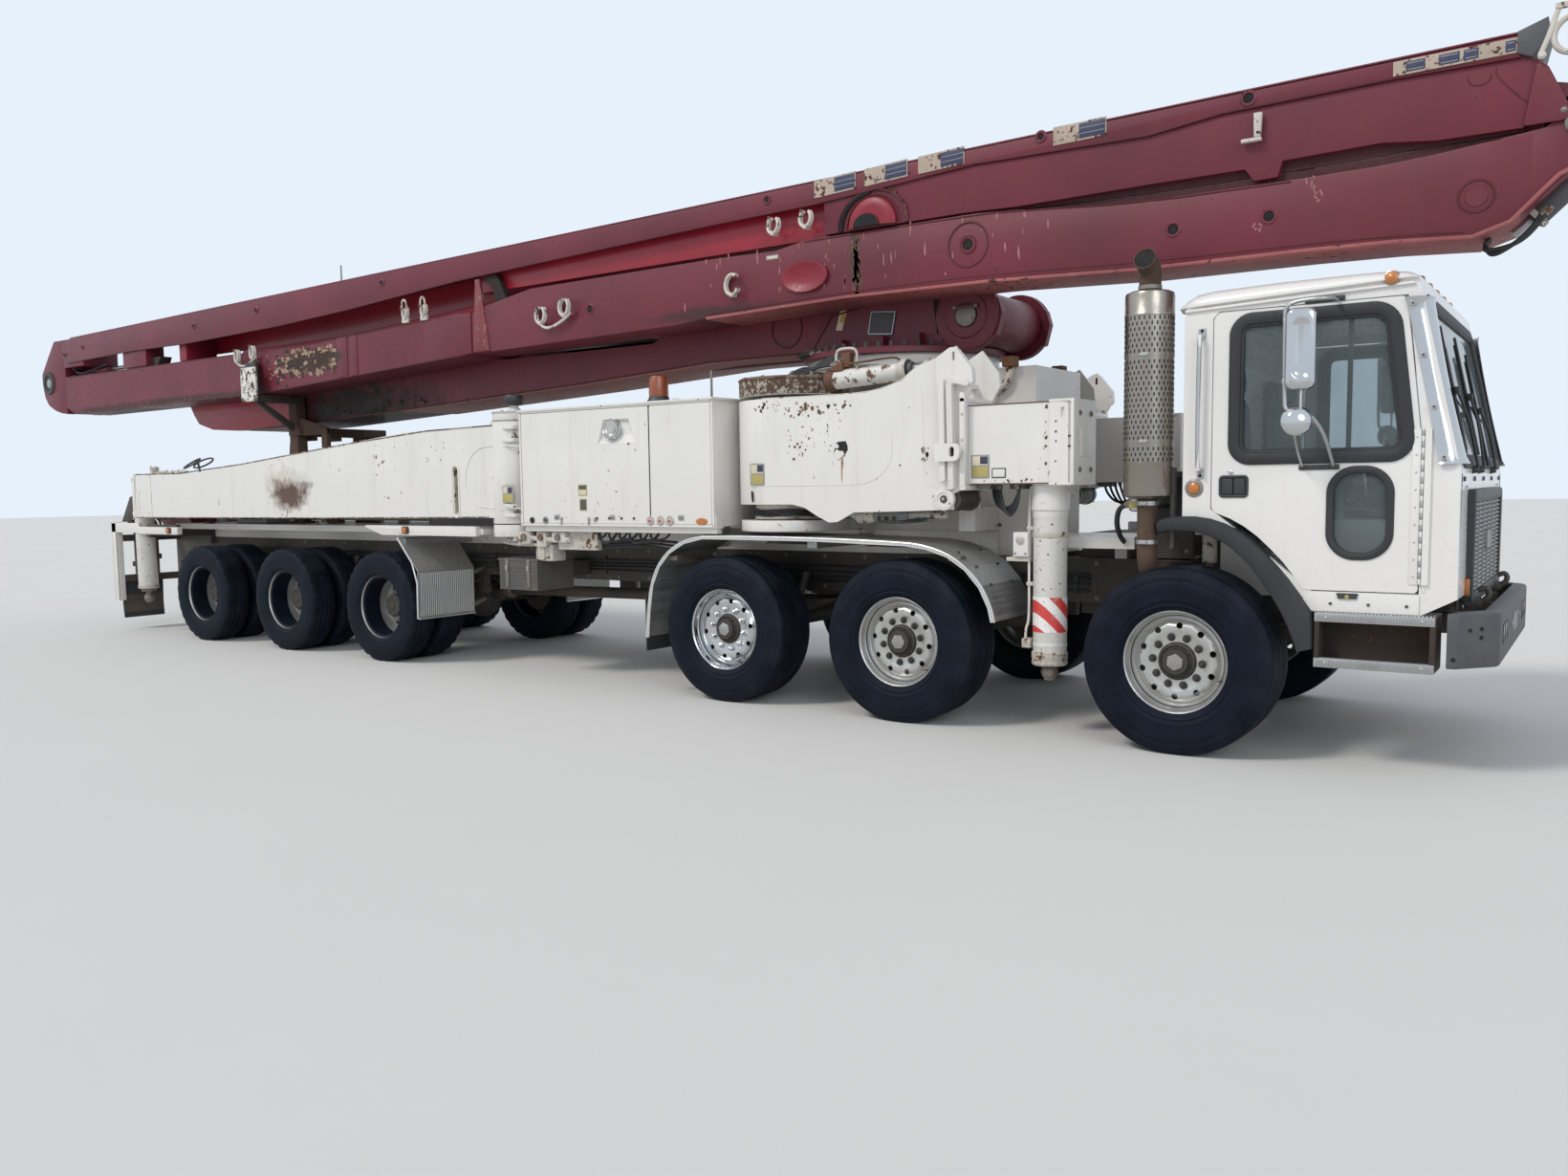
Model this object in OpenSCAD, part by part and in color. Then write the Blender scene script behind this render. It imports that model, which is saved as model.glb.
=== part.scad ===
// Concrete pump truck: six-axle cab-over chassis, folding placing boom, swing-out outriggers.
// Lengths are in millimetres. The drawing frame has its x origin at the first axle, +X to the
// front and +Y to the driver's side; every piece is then moved so that the ground point under
// the middle of the whole machine is the origin.

/* [Chassis] */
// x of the second steered axle
axle_2 = -1830; // [-2000:10:-1700]
// x of the single third axle
axle_3 = -3300; // [-3500:10:-3200]
// x of the first twin-wheel axle
axle_4 = -7380; // [-7600:10:-7200]
// x of the second twin-wheel axle
axle_5 = -8930; // [-9100:10:-8700]
// x of the last twin-wheel axle
axle_6 = -10480; // [-10700:10:-10300]
// outer face of the frame rails from the centreline
rail_y = 430; // [380:5:450]
// thickness of a rail
rail_t = 80; // [60:5:100]
// underside of the rails
rail_z = 780; // [740:5:820]
// height of the rails
rail_h = 300; // [250:10:320]
// radius of the tow pin's bore in the rear bar
tow_r = 20; // [15:1:28]

/* [Wheels] */
// radius of the wide single tyres
tyre_r = 548; // [530:1:560]
// width of the wide single tyres
tyre_w = 410; // [380:5:430]
// radius of the twin tyres
twin_r = 515; // [500:1:530]
// width of one twin tyre
twin_w = 276; // [250:2:290]
// distance between the middles of a pair of twin tyres
twin_pitch = 340; // [320:2:360]
// radius of the rim flange
rim_r = 298; // [290:1:305]
// middle of the single wheels from the centreline
single_y = 1050; // [1020:5:1080]
// middle of the twin wheels from the centreline
twin_y = 940; // [920:5:960]
// kingpin from the centreline
kingpin_y = 800; // [780:5:820]
// radius of the stub axles
stub_r = 40; // [30:1:50]
// running clearance at pins and in hubs
pin_gap = 0.3; // [0.3:0.1:3]

/* [Cab] */
// half the width of the cab
cab_y = 1170; // [1140:5:1200]
// wall thickness of the cab
cab_t = 40; // [30:1:50]
// gap around the doors
door_gap = 6; // [5:1:10]
// height of the bumper's underside
bumper_z = 600; // [550:10:650]

/* [Boom] */
// x of the lift pivot
pivot_a_x = -1700; // [-1800:10:-1600]
// z of the lift pivot
pivot_a_z = 2750; // [2700:5:2800]
// x of the second pivot
pivot_b_x = -11600; // [-11700:10:-11500]
// z of the second pivot
pivot_b_z = 2840; // [2800:5:2880]
// x of the third pivot
pivot_c_x = 1850; // [1800:10:1900]
// z of the third pivot
pivot_c_z = 3320; // [3300:5:3350]
// x of the fourth pivot
pivot_d_x = -14420; // [-14500:10:-14300]
// z of the fourth pivot
pivot_d_z = 3050; // [3000:5:3100]
// x of the fifth pivot
pivot_e_x = -6640; // [-6800:10:-6500]
// z of the fifth pivot
pivot_e_z = 2970; // [2900:5:3050]
// radius of the bore at the tip for the end hose's bracket
tip_bore_r = 40; // [25:1:60]

/* [Turret] */
// x of the slewing axis
slew_x = -2460; // [-2500:10:-2400]
// radius of the slewing ring
slew_r = 750; // [700:10:800]
// underside of the turret
slew_z = 2510; // [2480:5:2540]

/* [Outriggers] */
// x of the front arms' pivots
front_pivot_x = -2910; // [-2950:5:-2850]
// pivots of the front arms from the centreline
front_pivot_y = 830; // [800:5:850]
// x of the front jacks
front_jack_x = -835; // [-900:5:-800]
// outer radius of a jack tube
jack_r = 104; // [90:2:120]
// x of the rear arms' pivots
rear_pivot_x = -5660; // [-5700:5:-5600]
// pivots of the rear arms from the centreline
rear_pivot_y = 1050; // [1000:5:1080]
// x of the rear jacks
rear_jack_x = -11940; // [-12000:5:-11850]
// radius of the arms' pivot posts
post_r = 120; // [100:5:150]

/* [Hidden] */
$fn = 64;
origin_x = 6325;
hub_z = tyre_r - 8;
hub_z3 = tyre_r - 10;
twin_z = twin_r - 5;
body_white = [0.86, 0.85, 0.80];
boom_red = [0.55, 0.06, 0.06];
black = [0.07, 0.07, 0.07];
steel = [0.62, 0.62, 0.62];
dark_steel = [0.18, 0.17, 0.16];
aluminium = [0.75, 0.75, 0.74];
rust = [0.30, 0.18, 0.11];
glass = [0.12, 0.16, 0.17];
// near layer of the boom, then the layer of the last section, then the layer of the rear half
near_a = -880;
near_b = -460;
tip_a = -440;
tip_b = -145;
mid_a = -120;
mid_b = 360;
knuckle_r = 240;
lift_x = -6100;
lift_z = 2640;
lift_base_x = -2210;
lift_base_z = 2680;

module placed() {
    translate([origin_x, 0, 0]) children();
}

module far_side() {
    mirror([0, 1, 0]) children();
}

module both_sides() {
    children();
    mirror([0, 1, 0]) children();
}

module block(x0, x1, y0, y1, z0, z1) {
    translate([x0, y0, z0]) cube([x1 - x0, y1 - y0, z1 - z0]);
}

module plate(points, y0, y1) {
    translate([0, y1, 0]) rotate([90, 0, 0]) linear_extrude(height = y1 - y0) polygon(points);
}

module plan(points, z0, z1) {
    translate([0, 0, z0]) linear_extrude(height = z1 - z0) polygon(points);
}

module y_rod(x, z, r, y0, y1) {
    translate([x, y1, z]) rotate([90, 0, 0]) cylinder(r = r, h = y1 - y0);
}

module z_rod(x, y, r, z0, z1) {
    translate([x, y, z0]) cylinder(r = r, h = z1 - z0);
}

module x_rod(y, z, r, x0, x1) {
    translate([x0, y, z]) rotate([0, 90, 0]) cylinder(r = r, h = x1 - x0);
}

// A wheel's axis lies along y; w runs outward from the wheel's middle.
module spun(x, y, z) {
    translate([x, y, z]) rotate([90, 0, 0]) rotate_extrude($fn = 72) children();
}

module tyre_section(r, w, off) {
    polygon([
        [rim_r - 4, off - w * 0.40], [rim_r + 30, off - w * 0.47], [r - 90, off - w / 2],
        [r - 28, off - w * 0.45], [r, off - w * 0.37], [r, off - w * 0.20],
        [r - 12, off - w * 0.19], [r - 12, off - w * 0.16], [r, off - w * 0.15],
        [r, off - w * 0.02], [r - 12, off - w * 0.015], [r - 12, off + w * 0.015],
        [r, off + w * 0.02], [r, off + w * 0.15], [r - 12, off + w * 0.16],
        [r - 12, off + w * 0.19], [r, off + w * 0.20], [r, off + w * 0.37],
        [r - 28, off + w * 0.45], [r - 90, off + w / 2], [rim_r + 30, off + w * 0.47],
        [rim_r - 4, off + w * 0.40]
    ]);
}

module rim_section(w, off) {
    polygon([
        [rim_r - 24, off - w * 0.42], [rim_r, off - w * 0.42], [rim_r, off - w * 0.38],
        [rim_r - 8, off - w * 0.36], [rim_r - 8, off + w * 0.36], [rim_r, off + w * 0.38],
        [rim_r, off + w * 0.42], [rim_r - 24, off + w * 0.42]
    ]);
}

module hand_holes(x, y, z, w0, w1, count, ring, r) {
    for (i = [0 : count - 1])
        translate([x, y, z]) rotate([0, i * 360 / count, 0])
            y_rod(ring, 0, r, -w1, -w0);
}

module single_wheel(x, z, r) {
    difference() {
        union() {
            spun(x, -single_y, z) {
                tyre_section(r, tyre_w, 0);
                rim_section(tyre_w, 0);
                polygon([
                    [stub_r + pin_gap, -140], [96, -140], [96, 60], [170, 78], [215, 96],
                    [rim_r - 20, 40], [rim_r - 20, 62], [222, 118], [165, 112], [112, 112],
                    [112, 150], [92, 168], [0, 168], [0, 120], [stub_r + pin_gap, 120]
                ]);
            }
        }
        hand_holes(x, -single_y, z, 20, 130, 10, 244, 24);
    }
}

module twin_wheel(x) {
    out = twin_pitch / 2;
    difference() {
        spun(x, -twin_y, twin_z) {
            tyre_section(twin_r, twin_w, out);
            tyre_section(twin_r, twin_w, -out);
            rim_section(twin_w, out);
            rim_section(twin_w, -out);
            polygon([
                [stub_r + pin_gap, -190], [110, -190], [110, -14], [180, -14], [225, -24],
                [rim_r - 20, -70], [rim_r - 20, -48], [232, 0], [232, 4], [rim_r - 20, 52],
                [rim_r - 20, 74], [222, 34], [180, 24], [118, 24], [118, 150], [96, 168],
                [0, 168], [0, 60], [stub_r + pin_gap, 60]
            ]);
        }
        hand_holes(x, -twin_y, twin_z, -80, 90, 10, 246, 24);
    }
}

module knuckle(x) {
    difference() {
        union() {
            block(x - 70, x + 70, -kingpin_y - 95, -kingpin_y - 65, hub_z - 110, hub_z + 110);
            block(x - 55, x + 55, -kingpin_y - 95, -kingpin_y + 40, hub_z + 66, hub_z + 110);
            block(x - 55, x + 55, -kingpin_y - 95, -kingpin_y + 40, hub_z - 110, hub_z - 66);
            z_rod(x, -kingpin_y, 26, hub_z - 110, hub_z + 110);
            y_rod(x, hub_z, stub_r, -single_y - 110, -kingpin_y - 90);
            block(x - 300, x - 50, -kingpin_y + 0, -kingpin_y + 40, hub_z - 110, hub_z - 80);
        }
    }
}

module front_axle(x) {
    difference() {
        union() {
            block(x - 50, x + 50, -740, 740, hub_z - 60, hub_z + 60);
            both_sides() {
                z_rod(x, -kingpin_y, 56, hub_z - 60, hub_z + 60);
                block(x - 50, x + 50, -kingpin_y, -730, hub_z - 60, hub_z + 60);
            }
        }
        both_sides() z_rod(x, -kingpin_y, 26 + pin_gap, hub_z - 80, hub_z + 80);
    }
    both_sides() {
        block(x - 620, x + 620, -rail_y + 8, -rail_y + 72, hub_z + 60, hub_z + 110);
        block(x - 500, x + 500, -rail_y + 8, -rail_y + 72, hub_z + 110, hub_z + 140);
        block(x - 620, x - 540, -rail_y + 4, -rail_y + 76, hub_z + 110, rail_z);
        block(x + 540, x + 620, -rail_y + 4, -rail_y + 76, hub_z + 110, rail_z);
    }
}

module twin_axle(x) {
    y_rod(x, twin_z, 75, -700, 700);
    both_sides() y_rod(x, twin_z, stub_r, -twin_y - 40, -690);
    translate([x, 0, twin_z]) sphere(r = 205);
    x_rod(0, twin_z + 40, 60, x + 150, x + 320);
}

module axles() {
    color(dark_steel) {
        front_axle(0);
        front_axle(axle_2);
        y_rod(axle_3, hub_z3, 65, -780, 780);
        both_sides() {
            y_rod(axle_3, hub_z3, stub_r, -single_y - 110, -770);
            block(axle_3 - 60, axle_3 + 60, -rail_y + 4, -rail_y + 76, hub_z3 + 40, rail_z);
        }
        twin_axle(axle_4);
        twin_axle(axle_5);
        twin_axle(axle_6);
        both_sides() {
            block(axle_6 - 560, axle_4 + 560, -rail_y + 6, -rail_y + 74, twin_z + 90, twin_z + 150);
            for (x = [axle_4, axle_5, axle_6]) {
                block(x - 80, x + 80, -rail_y + 6, -rail_y + 74, twin_z, twin_z + 92);
            }
            for (x = [axle_4 + 480, axle_4 - 775, axle_5 - 775, axle_6 - 480]) {
                block(x - 60, x + 60, -rail_y + 4, -rail_y + 76, twin_z + 150, rail_z);
            }
        }
    }
}

module chassis_frame() {
    color(dark_steel) {
        both_sides() {
            block(-12440, 1250, -rail_y, -rail_y + rail_t, rail_z, rail_z + rail_h);
            // rear posts with their rubber flaps
            block(-12480, -12400, -1180, -1120, 350, 1260);
            block(-12470, -12455, -1110, -650, 150, 620);
            block(-12480, -12400, -1180, -rail_y, 1040, 1116);
            block(-11640, -11000, -1200, -1150, 1130, 1250);
            block(-11640, -11580, -1200, -rail_y - 0.3, 1100, 1185);
            block(-11640, -11580, -rail_y - 60, -rail_y - 0.3, 1000, 1101);
            block(-11640, -11580, -rail_y - 60, -rail_y + 1, 1000, 1078);
        }
        for (x = [-12380, -11300, -9700, -8150, -6600, -5000, -3900, -2560, 1130])
            block(x - 60, x + 60, -rail_y + rail_t - 1, rail_y - rail_t + 1, rail_z + 60, rail_z + 230);
        difference() {
            block(-12480, -12400, -1180, 1180, 560, 640);
            z_rod(-12440, 0, tow_r, 550, 650);
        }
        both_sides() block(-12480, -12400, -rail_y, -rail_y + rail_t, 560, 1100);
    }
}

module engine_block() {
    color(dark_steel) {
        block(-900, 520, -345, 345, 700, 1240);
        both_sides() block(-760, -560, -350, -340, 820, 1000);
        both_sides() block(200, 400, -350, -340, 820, 1000);
    }
}

module side_tanks() {
    color(steel) {
        // battery box, near side
        block(-5760, -5300, -1180, -760, 740, 990);
        block(-5640, -5420, -770, -rail_y, 830, 950);
        // fuel tank, far side
        far_side() {
            block(-6000, -4300, -1150, -560, 560, 1100);
            block(-5700, -5600, -570, -rail_y, 850, 1000);
            block(-4700, -4600, -570, -rail_y, 850, 1000);
        }
        // air tank behind the cab, far side
        far_side() {
            x_rod(-780, 1165, 85, -560, -120);
            block(-520, -400, -800, -rail_y + 60, 1080.3, 1100);
        }
    }
}

module support_frame() {
    color(body_white) {
        difference() {
            union() {
                // pedestal under the slewing ring
                block(-3300, -1210, -400, 400, rail_z + rail_h, 2380);
                z_rod(slew_x, 0, 700, 2340, 2440);
                z_rod(slew_x, 0, slew_r - 30, 2440, slew_z - pin_gap);
                block(-3330, -1480, -430, 430, rail_z + rail_h, 1250);
            }
            block(-3200, -1310, -340, 340, rail_z + rail_h + 60, 2300);
        }
        // plates that hold the front arms' posts
        both_sides() {
            block(-3230, -2590, -front_pivot_y, -380, 1262, 1340);
            z_rod(front_pivot_x, -front_pivot_y, 400, 1262, 1340);
            block(-3230, -2590, -front_pivot_y, -380, 2226, 2340);
            z_rod(front_pivot_x, -front_pivot_y, 400, 2226, 2340);
            z_rod(front_pivot_x, -front_pivot_y, post_r, 1300, 2300);
            // crosswise support for the front ends of the beams
            block(-1600, -1480, -780, -390, 1262, 1420);
        }
        // walkway behind the cab, near side
        block(-900, -350, -900, -350, 1170, 1245);
        block(-640, -560, -430, -350, rail_z + rail_h + 0.3, 1171);
        // deck from the pedestal to the hopper
        block(-11650, -3330, -430, 430, rail_z + rail_h, 1250);
        both_sides() {
            block(-11650, -5980, -860, -429, 1190, 1250);
            block(-7470, -5980, -1160, -850, 1200, 1250);
            // brackets of the rear arms' posts
            block(-5900, -5420, -rear_pivot_y, -429, 1190, 1290);
            z_rod(rear_pivot_x, -rear_pivot_y, 200, 1190, 1290);
            block(-5900, -5480, -rear_pivot_y, -600, 2166, 2240);
            z_rod(rear_pivot_x, -rear_pivot_y, 180, 2166, 2240);
            block(-5900, -5480, -760, -600, 1250, 2180);
            block(-5900, -5480, -610, -420, 1250, 1500);
            z_rod(rear_pivot_x, -rear_pivot_y, post_r - 20, 1280, 2200);
        }
    }
}

module tool_box(y_out) {
    difference() {
        block(-5370, -3340, -y_out, -560, 1290, 2220);
        block(-5340, -3370, -y_out - 10, -600, 1320, 2190);
    }
    block(-5370, -3340, -y_out, -y_out + 60, 1240, 1291);
    block(-5200, -3850, -700, -430.3, 1100, 1240);
    block(-5200, -3700, -700, -600, 1200, 1292);
}

module tool_boxes() {
    color(body_white) {
        tool_box(1230);
        far_side() tool_box(1230);
    }
}

module box_door(x0, x1) {
    block(x0, x1, -1262, -1230 - pin_gap, 1308, 2202);
}

module box_door_rear_r() {
    color(body_white) box_door(-5352, -3958);
}

module box_door_front_r() {
    color(body_white) box_door(-3950, -3358);
}

module box_door_l() {
    color(body_white) far_side() box_door(-5352, -3358);
}

// the line moved down by t where it runs forward, and inward where it drops at the ends
function inset(line, t) = [
    for (i = [0 : len(line) - 1])
        let (
            a = line[max(i - 1, 0)],
            b = line[min(i + 1, len(line) - 1)],
            run = norm(b - a)
        )
        [line[i][0] + t * (b[1] - a[1]) / run, line[i][1] - t * (b[0] - a[0]) / run]
];

module tread_guard() {
    rear = axle_3 - 2 * tyre_r;
    top = [
        [rear + 356, 440], [rear + 376, 650], [rear + 412, 850], [rear + 485, 1000],
        [rear + 592, 1110], [rear + 742, 1190], [rear + 930, 1230], [-2480, 1228], [-1760, 1208],
        [-1600, 1188], [-1440, 1138], [-1310, 1055], [-1205, 940], [-1140, 810], [-1118, 715]
    ];
    under = inset(top, 8);
    plate(concat(top, [for (i = [len(top) - 1 : -1 : 0]) under[i]]), -1240, -640);
    block(-2560, -2480, -1200, -rail_y - 0.3, 1150, 1224);
}

module tread_guards() {
    color(aluminium) {
        both_sides() {
            tread_guard();
            plate([[-7055, 1158], [-6790, 860], [-6800, 430], [-6792, 430], [-6781, 864],
                [-7047, 1166]], -1240, -600);
            block(-7040, -6990, -1200, -rail_y - 0.3, 1090, 1151);
        }
    }
}

module pump_unit() {
    color(steel) {
        both_sides() {
            x_rod(-210, 1430, 150, -11500, -7600);
            x_rod(-210, 1430, 80, -6700, -6000);
        }
        block(-7650, -6650, -420, 420, 1250, 1680);
        both_sides() block(-9600, -9500, -330, -100, 1250, 1320);
        block(-6050, -5980, -400, 400, 1250, 1560);
        block(-11560, -11480, -420, 420, 1250, 1640);
    }
}

module hopper_shape(g) {
    hull() {
        block(-12560 + g, -11700 - g, -880 + g, 880 - g, 1600, 1740);
        block(-12400 + g, -11760 - g, -520 + g, 520 - g, 1120 + g, 1200);
    }
}

module hopper() {
    color(boom_red) {
        difference() {
            hopper_shape(0);
            hopper_shape(14);
            block(-12540, -11720, -860, 860, 1640, 1800);
        }
        block(-11700, -11560, -420, 420, 1262, 1600);
        both_sides() block(-12300, -11760, -rail_y, -rail_y + 70, 1080.3, 1135);
    }
}

module hopper_grate() {
    color(dark_steel) {
        for (i = [0 : 9])
            block(-12520 + i * 84, -12508 + i * 84, -872, 872, 1740 + pin_gap, 1776);
        block(-12530, -11740, -872, -858, 1740 + pin_gap, 1776);
        block(-12530, -11740, 858, 872, 1740 + pin_gap, 1776);
        block(-12530, -11740, -8, 8, 1740 + pin_gap, 1776);
        y_rod(-11730, 1764, 14, -840, 840);
    }
}

module boom_rest() {
    color(rust) {
        block(-9850, -9650, -510, 600, 2200, 2290);
        block(-9850, -9700, -500, -380, 1250.3, 2201);
        block(-9850, -9700, 400, 520, 1250.3, 2201);
        plate([[-9701, 1700], [-9250, 1250.3], [-9130, 1250.3], [-9701, 1830]], -480, -400);
        // arm and pad beside the upper sections
        block(-9830, -9690, -1010, -509, 2220, 2290);
        plate([[-9990, 2560], [-9990, 3010], [-9610, 3010], [-9610, 2560], [-9690, 2225],
            [-9830, 2225]], -1010, -950);
        block(-9900, -9700, -951, -905, 2700, 2960);
    }
}

module exhaust_stack() {
    color(steel) {
        z_rod(-190, -1150, 140, 1480, 2670);
        z_rod(-190, -1150, 60, 2660, 2800);
        translate([-190, -1150, 2800]) sphere(r = 66);
        translate([-190, -1150, 2800]) rotate([68, 0, 0]) cylinder(r = 62, h = 105);
        z_rod(-190, -1150, 60, 1180, 1490);
        block(-330, -60, -1150, -640, 1600, 1640);
        block(-330, -60, -690, -640, 1090, 1640);
        block(-330, -60, -690, -rail_y + 40, 1080.3, 1110);
    }
}

cab_outer = [
    [20, 1330], [20, 2530], [40, 2575], [1100, 2622], [1190, 2610], [1405, 1620], [1410, 960],
    [1240, 866], [679, 866], [650, 930], [150, 1330]
];
cab_inner = [
    [60, 1380], [60, 2490], [80, 2534], [1095, 2580], [1160, 2568], [1364, 1620], [1370, 984],
    [1229, 906], [720, 906], [690, 965], [165, 1380]
];
door_outline = [
    [180, 1430], [180, 2480], [210, 2510], [1140, 2510], [1228, 1750], [1228, 985], [720, 985]
];
window_outline = [
    [300, 1760], [300, 2400], [360, 2460], [1080, 2460], [1172, 1740], [1130, 1700], [360, 1700]
];
low_window = [
    [800, 1230], [800, 1570], [860, 1630], [1030, 1630], [1090, 1570], [1090, 1230], [1030, 1170],
    [860, 1170]
];

module grown(points, g) {
    offset(delta = g) polygon(points);
}

module side_cut(y0, y1) {
    translate([0, y1, 0]) rotate([90, 0, 0]) linear_extrude(height = y1 - y0) children();
}

module door_opening() {
    polygon([
        [180 - door_gap, 1430 - door_gap], [180 - door_gap, 2482], [208, 2510 + door_gap],
        [1146, 2510 + door_gap], [1228 + door_gap, 1750], [1228 + door_gap, 985 - door_gap],
        [722 - door_gap, 985 - door_gap]
    ]);
}

module cab_shell() {
    color(body_white) {
        difference() {
            plate(cab_outer, -cab_y, cab_y);
            plate(cab_inner, -cab_y + cab_t, cab_y - cab_t);
            both_sides() side_cut(-cab_y - 10, -cab_y + cab_t + 10) door_opening();
            plate([[1190, 1660], [1500, 1660], [1500, 2500], [1090, 2500]], -1030, 1030);
            block(100, 1300, -480, 480, 700, 1300);
        }
        // fixed leaves of the piano hinges
        both_sides() block(1244 + pin_gap, 1275, -1188, -1169, 1030, 1830);
        // grab handles behind the doors
        both_sides() {
            z_rod(116, -1222, 9, 1636, 2392);
            block(107, 125, -1222, -1169, 1636, 1652);
            block(107, 125, -1222, -1169, 2376, 2392);
        }
        // tunnel over the rails and the engine
        difference() {
            plate([[60, 884], [1236, 884], [1336, 938], [1340, 1340], [60, 1340]], -520, 520);
            block(0, 1300, -480, 480, 700, 1300);
        }
        both_sides() block(60, 140, -rail_y, -rail_y + rail_t, rail_z + rail_h + 0.3, 1310);
        both_sides() block(1100, 1240, -rail_y, -rail_y + rail_t, rail_z + rail_h + 0.3, 1310);
    }
}

module cab_glass() {
    color(glass) plate([[1382, 1660.3], [1388, 1660.3], [1205, 2499.7], [1199, 2499.7]],
        -1029.7, 1029.7);
}

module cab_interior() {
    color(black) {
        // dashboard
        plate([[1363, 1340.3], [1361, 1610], [1250, 1640], [1080, 1560], [1150, 1340.3]], -1090, 1090);
        both_sides() {
            // seat boxes on the wheel housing, cushions and backs
            plate([[230, 1340.3], [230, 1500], [640, 1500], [640, 1340.3]], -900, -420);
            plate([[230, 1330], [230, 1342], [640, 1342], [640, 1006]], -900, -521);
            block(130, 680, -920, -400, 1500, 1620);
            plate([[80, 1600], [200, 1600], [190, 2250], [90, 2250]], -900, -420);
        }
        // steering wheel and its column, driver's side
        translate([980, 660, 1740]) rotate([0, -35, 0]) rotate_extrude() translate([215, 0])
            circle(r = 16, $fn = 20);
        translate([980, 660, 1740]) rotate([0, -35, 0]) cylinder(r = 40, h = 20, center = true);
        translate([980, 660, 1740]) rotate([0, -35, 0]) cube([440, 40, 16], center = true);
        translate([980, 660, 1740]) rotate([0, 145, 0]) cylinder(r = 24, h = 215);
    }
}

module cab_trim() {
    color(black) {
        both_sides() {
            // flare along the wheel arch
            plate([[-30, 1330], [-30, 1368], [19.7, 1368], [19.7, 1329.7], [149.8, 1329.7],
                [649.7, 929.6], [678.6, 865.7], [740, 865.7], [740, 690], [720, 690], [600, 930], [140, 1290]],
                -1210, -1120);
            // step box under the door
            block(760, 1315, -1200, -900, 578, 865.7);
            block(900, 1200, -910, -rail_y, 700, 780);
        }
        // grille on the cab's front
        block(1410.3, 1432, -760, 760, 900, 1500);
        for (i = [0 : 8]) block(1430, 1448, -720, 720, 930 + i * 62, 960 + i * 62);
    }
}

module front_bumper() {
    color([0.16, 0.16, 0.17]) {
        plan([[1367, -1170], [1412, -1170], [1588, -960], [1588, 960], [1412, 1170],
            [1367, 1170], [1367, 1100], [1384, 1100], [1508, 925], [1508, -925], [1384, -1100],
            [1367, -1100]], bumper_z, 890);
        block(1250.3, 1520, -rail_y, -rail_y + rail_t, 700, 816);
        block(1250.3, 1520, rail_y - rail_t, rail_y, 700, 816);
    }
}

module door_body() {
    difference() {
        side_cut(-cab_y - 4, -cab_y + 30) polygon(door_outline);
        side_cut(-cab_y - 20, -cab_y + 50) polygon(window_outline);
        side_cut(-cab_y - 20, -cab_y + 50) polygon(low_window);
    }
    // piano hinge along the front edge
    block(1185, 1236, -1186, -1173, 1030, 1830);
    z_rod(1235, -1182, 9, 1030, 1830);
    // mirror brackets, the tall mirror and the round one
    block(803, 827, -1450, -1172, 2480, 2504);
    block(604, 827, -1450, -1430, 2480, 2504);
    block(604, 626, -1450, -1430, 1925, 2504);
    block(604, 827, -1450, -1430, 1925, 1947);
    block(803, 827, -1450, -1430, 1640, 1947);
    block(803, 827, -1450, -1172, 1640, 1664);
    plan([[610, -1415], [770, -1415], [770, -1470], [740, -1490], [640, -1490], [610, -1470]],
        2045, 2455);
    x_rod(-1440, 1890, 80, 655, 700);
    // door handle
    block(232, 368, -1184, -1172, 1496, 1598);
}

module door_r() {
    color(body_white) door_body();
}

module door_l() {
    color(body_white) far_side() door_body();
}

module door_pane() {
    side_cut(-cab_y + 8, -cab_y + 14) polygon([
        [300.3, 1760.2], [300.3, 2399.8], [360.2, 2459.7], [1079.6, 2459.7], [1171.6, 1740.2],
        [1129.8, 1700.3], [360.2, 1700.3]
    ]);
    side_cut(-cab_y + 8, -cab_y + 14) polygon([
        [800.3, 1230.2], [800.3, 1569.8], [860.2, 1629.7], [1029.8, 1629.7], [1089.7, 1569.8],
        [1089.7, 1230.2], [1029.8, 1170.3], [860.2, 1170.3]
    ]);
}

module door_glass_r() {
    color(glass) door_pane();
}

module door_glass_l() {
    color(glass) far_side() door_pane();
}

front_arm_side = [
    [-2910, 1455], [-2910, 2196], [-2300, 2190], [-2061, 2194], [-1932, 2212], [-1784, 2255],
    [-1701, 2317], [-1639, 2350], [-1508, 2383], [-1389, 2448], [-1272, 2297], [-1262, 2210],
    [-1320, 2110], [-1320, 1600], [-1350, 1545], [-1410, 1520], [-1410, 1419], [-1768, 1408],
    [-2157, 1400], [-2288, 1335], [-2356, 1331], [-2452, 1375], [-2557, 1433], [-2663, 1455]
];

module front_arm() {
    difference() {
        union() {
            z_rod(front_pivot_x, -front_pivot_y, 406, 1455, 2196);
            z_rod(front_pivot_x, -front_pivot_y, 290, 1350, 1456);
            z_rod(front_pivot_x, -front_pivot_y, 290, 2190, 2216);
            plate(front_arm_side, -1236, -1216);
            block(-2910, -1320, -1236, -840, 1540, 2120);
            plate(front_arm_side, -860, -840);
            // collar round the mouth
            difference() {
                block(-1470, -1420, -1262, -814, 1548, 2230);
                block(-1480, -1410, -1230, -846, 1570, 2200);
            }
            y_rod(-1468, 1486, 62, -1252, -840);
        }
        z_rod(front_pivot_x, -front_pivot_y, post_r + pin_gap, 1300, 2300);
        block(-2490, -1300, -1212, -864, 1580 - pin_gap, 2078);
    }
}

module front_beam() {
    difference() {
        union() {
            block(-2480, -620, -1204, -872, 1580, 2070);
            z_rod(front_jack_x, -1038, jack_r, 458, 1590);
            z_rod(front_jack_x, -1038, jack_r + 10, 1420, 1590);
        }
        block(-2490, -1000, -1180, -896, 1604, 2046);
        z_rod(front_jack_x, -1038, 78 + pin_gap, 400, 1560);
    }
}

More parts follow.
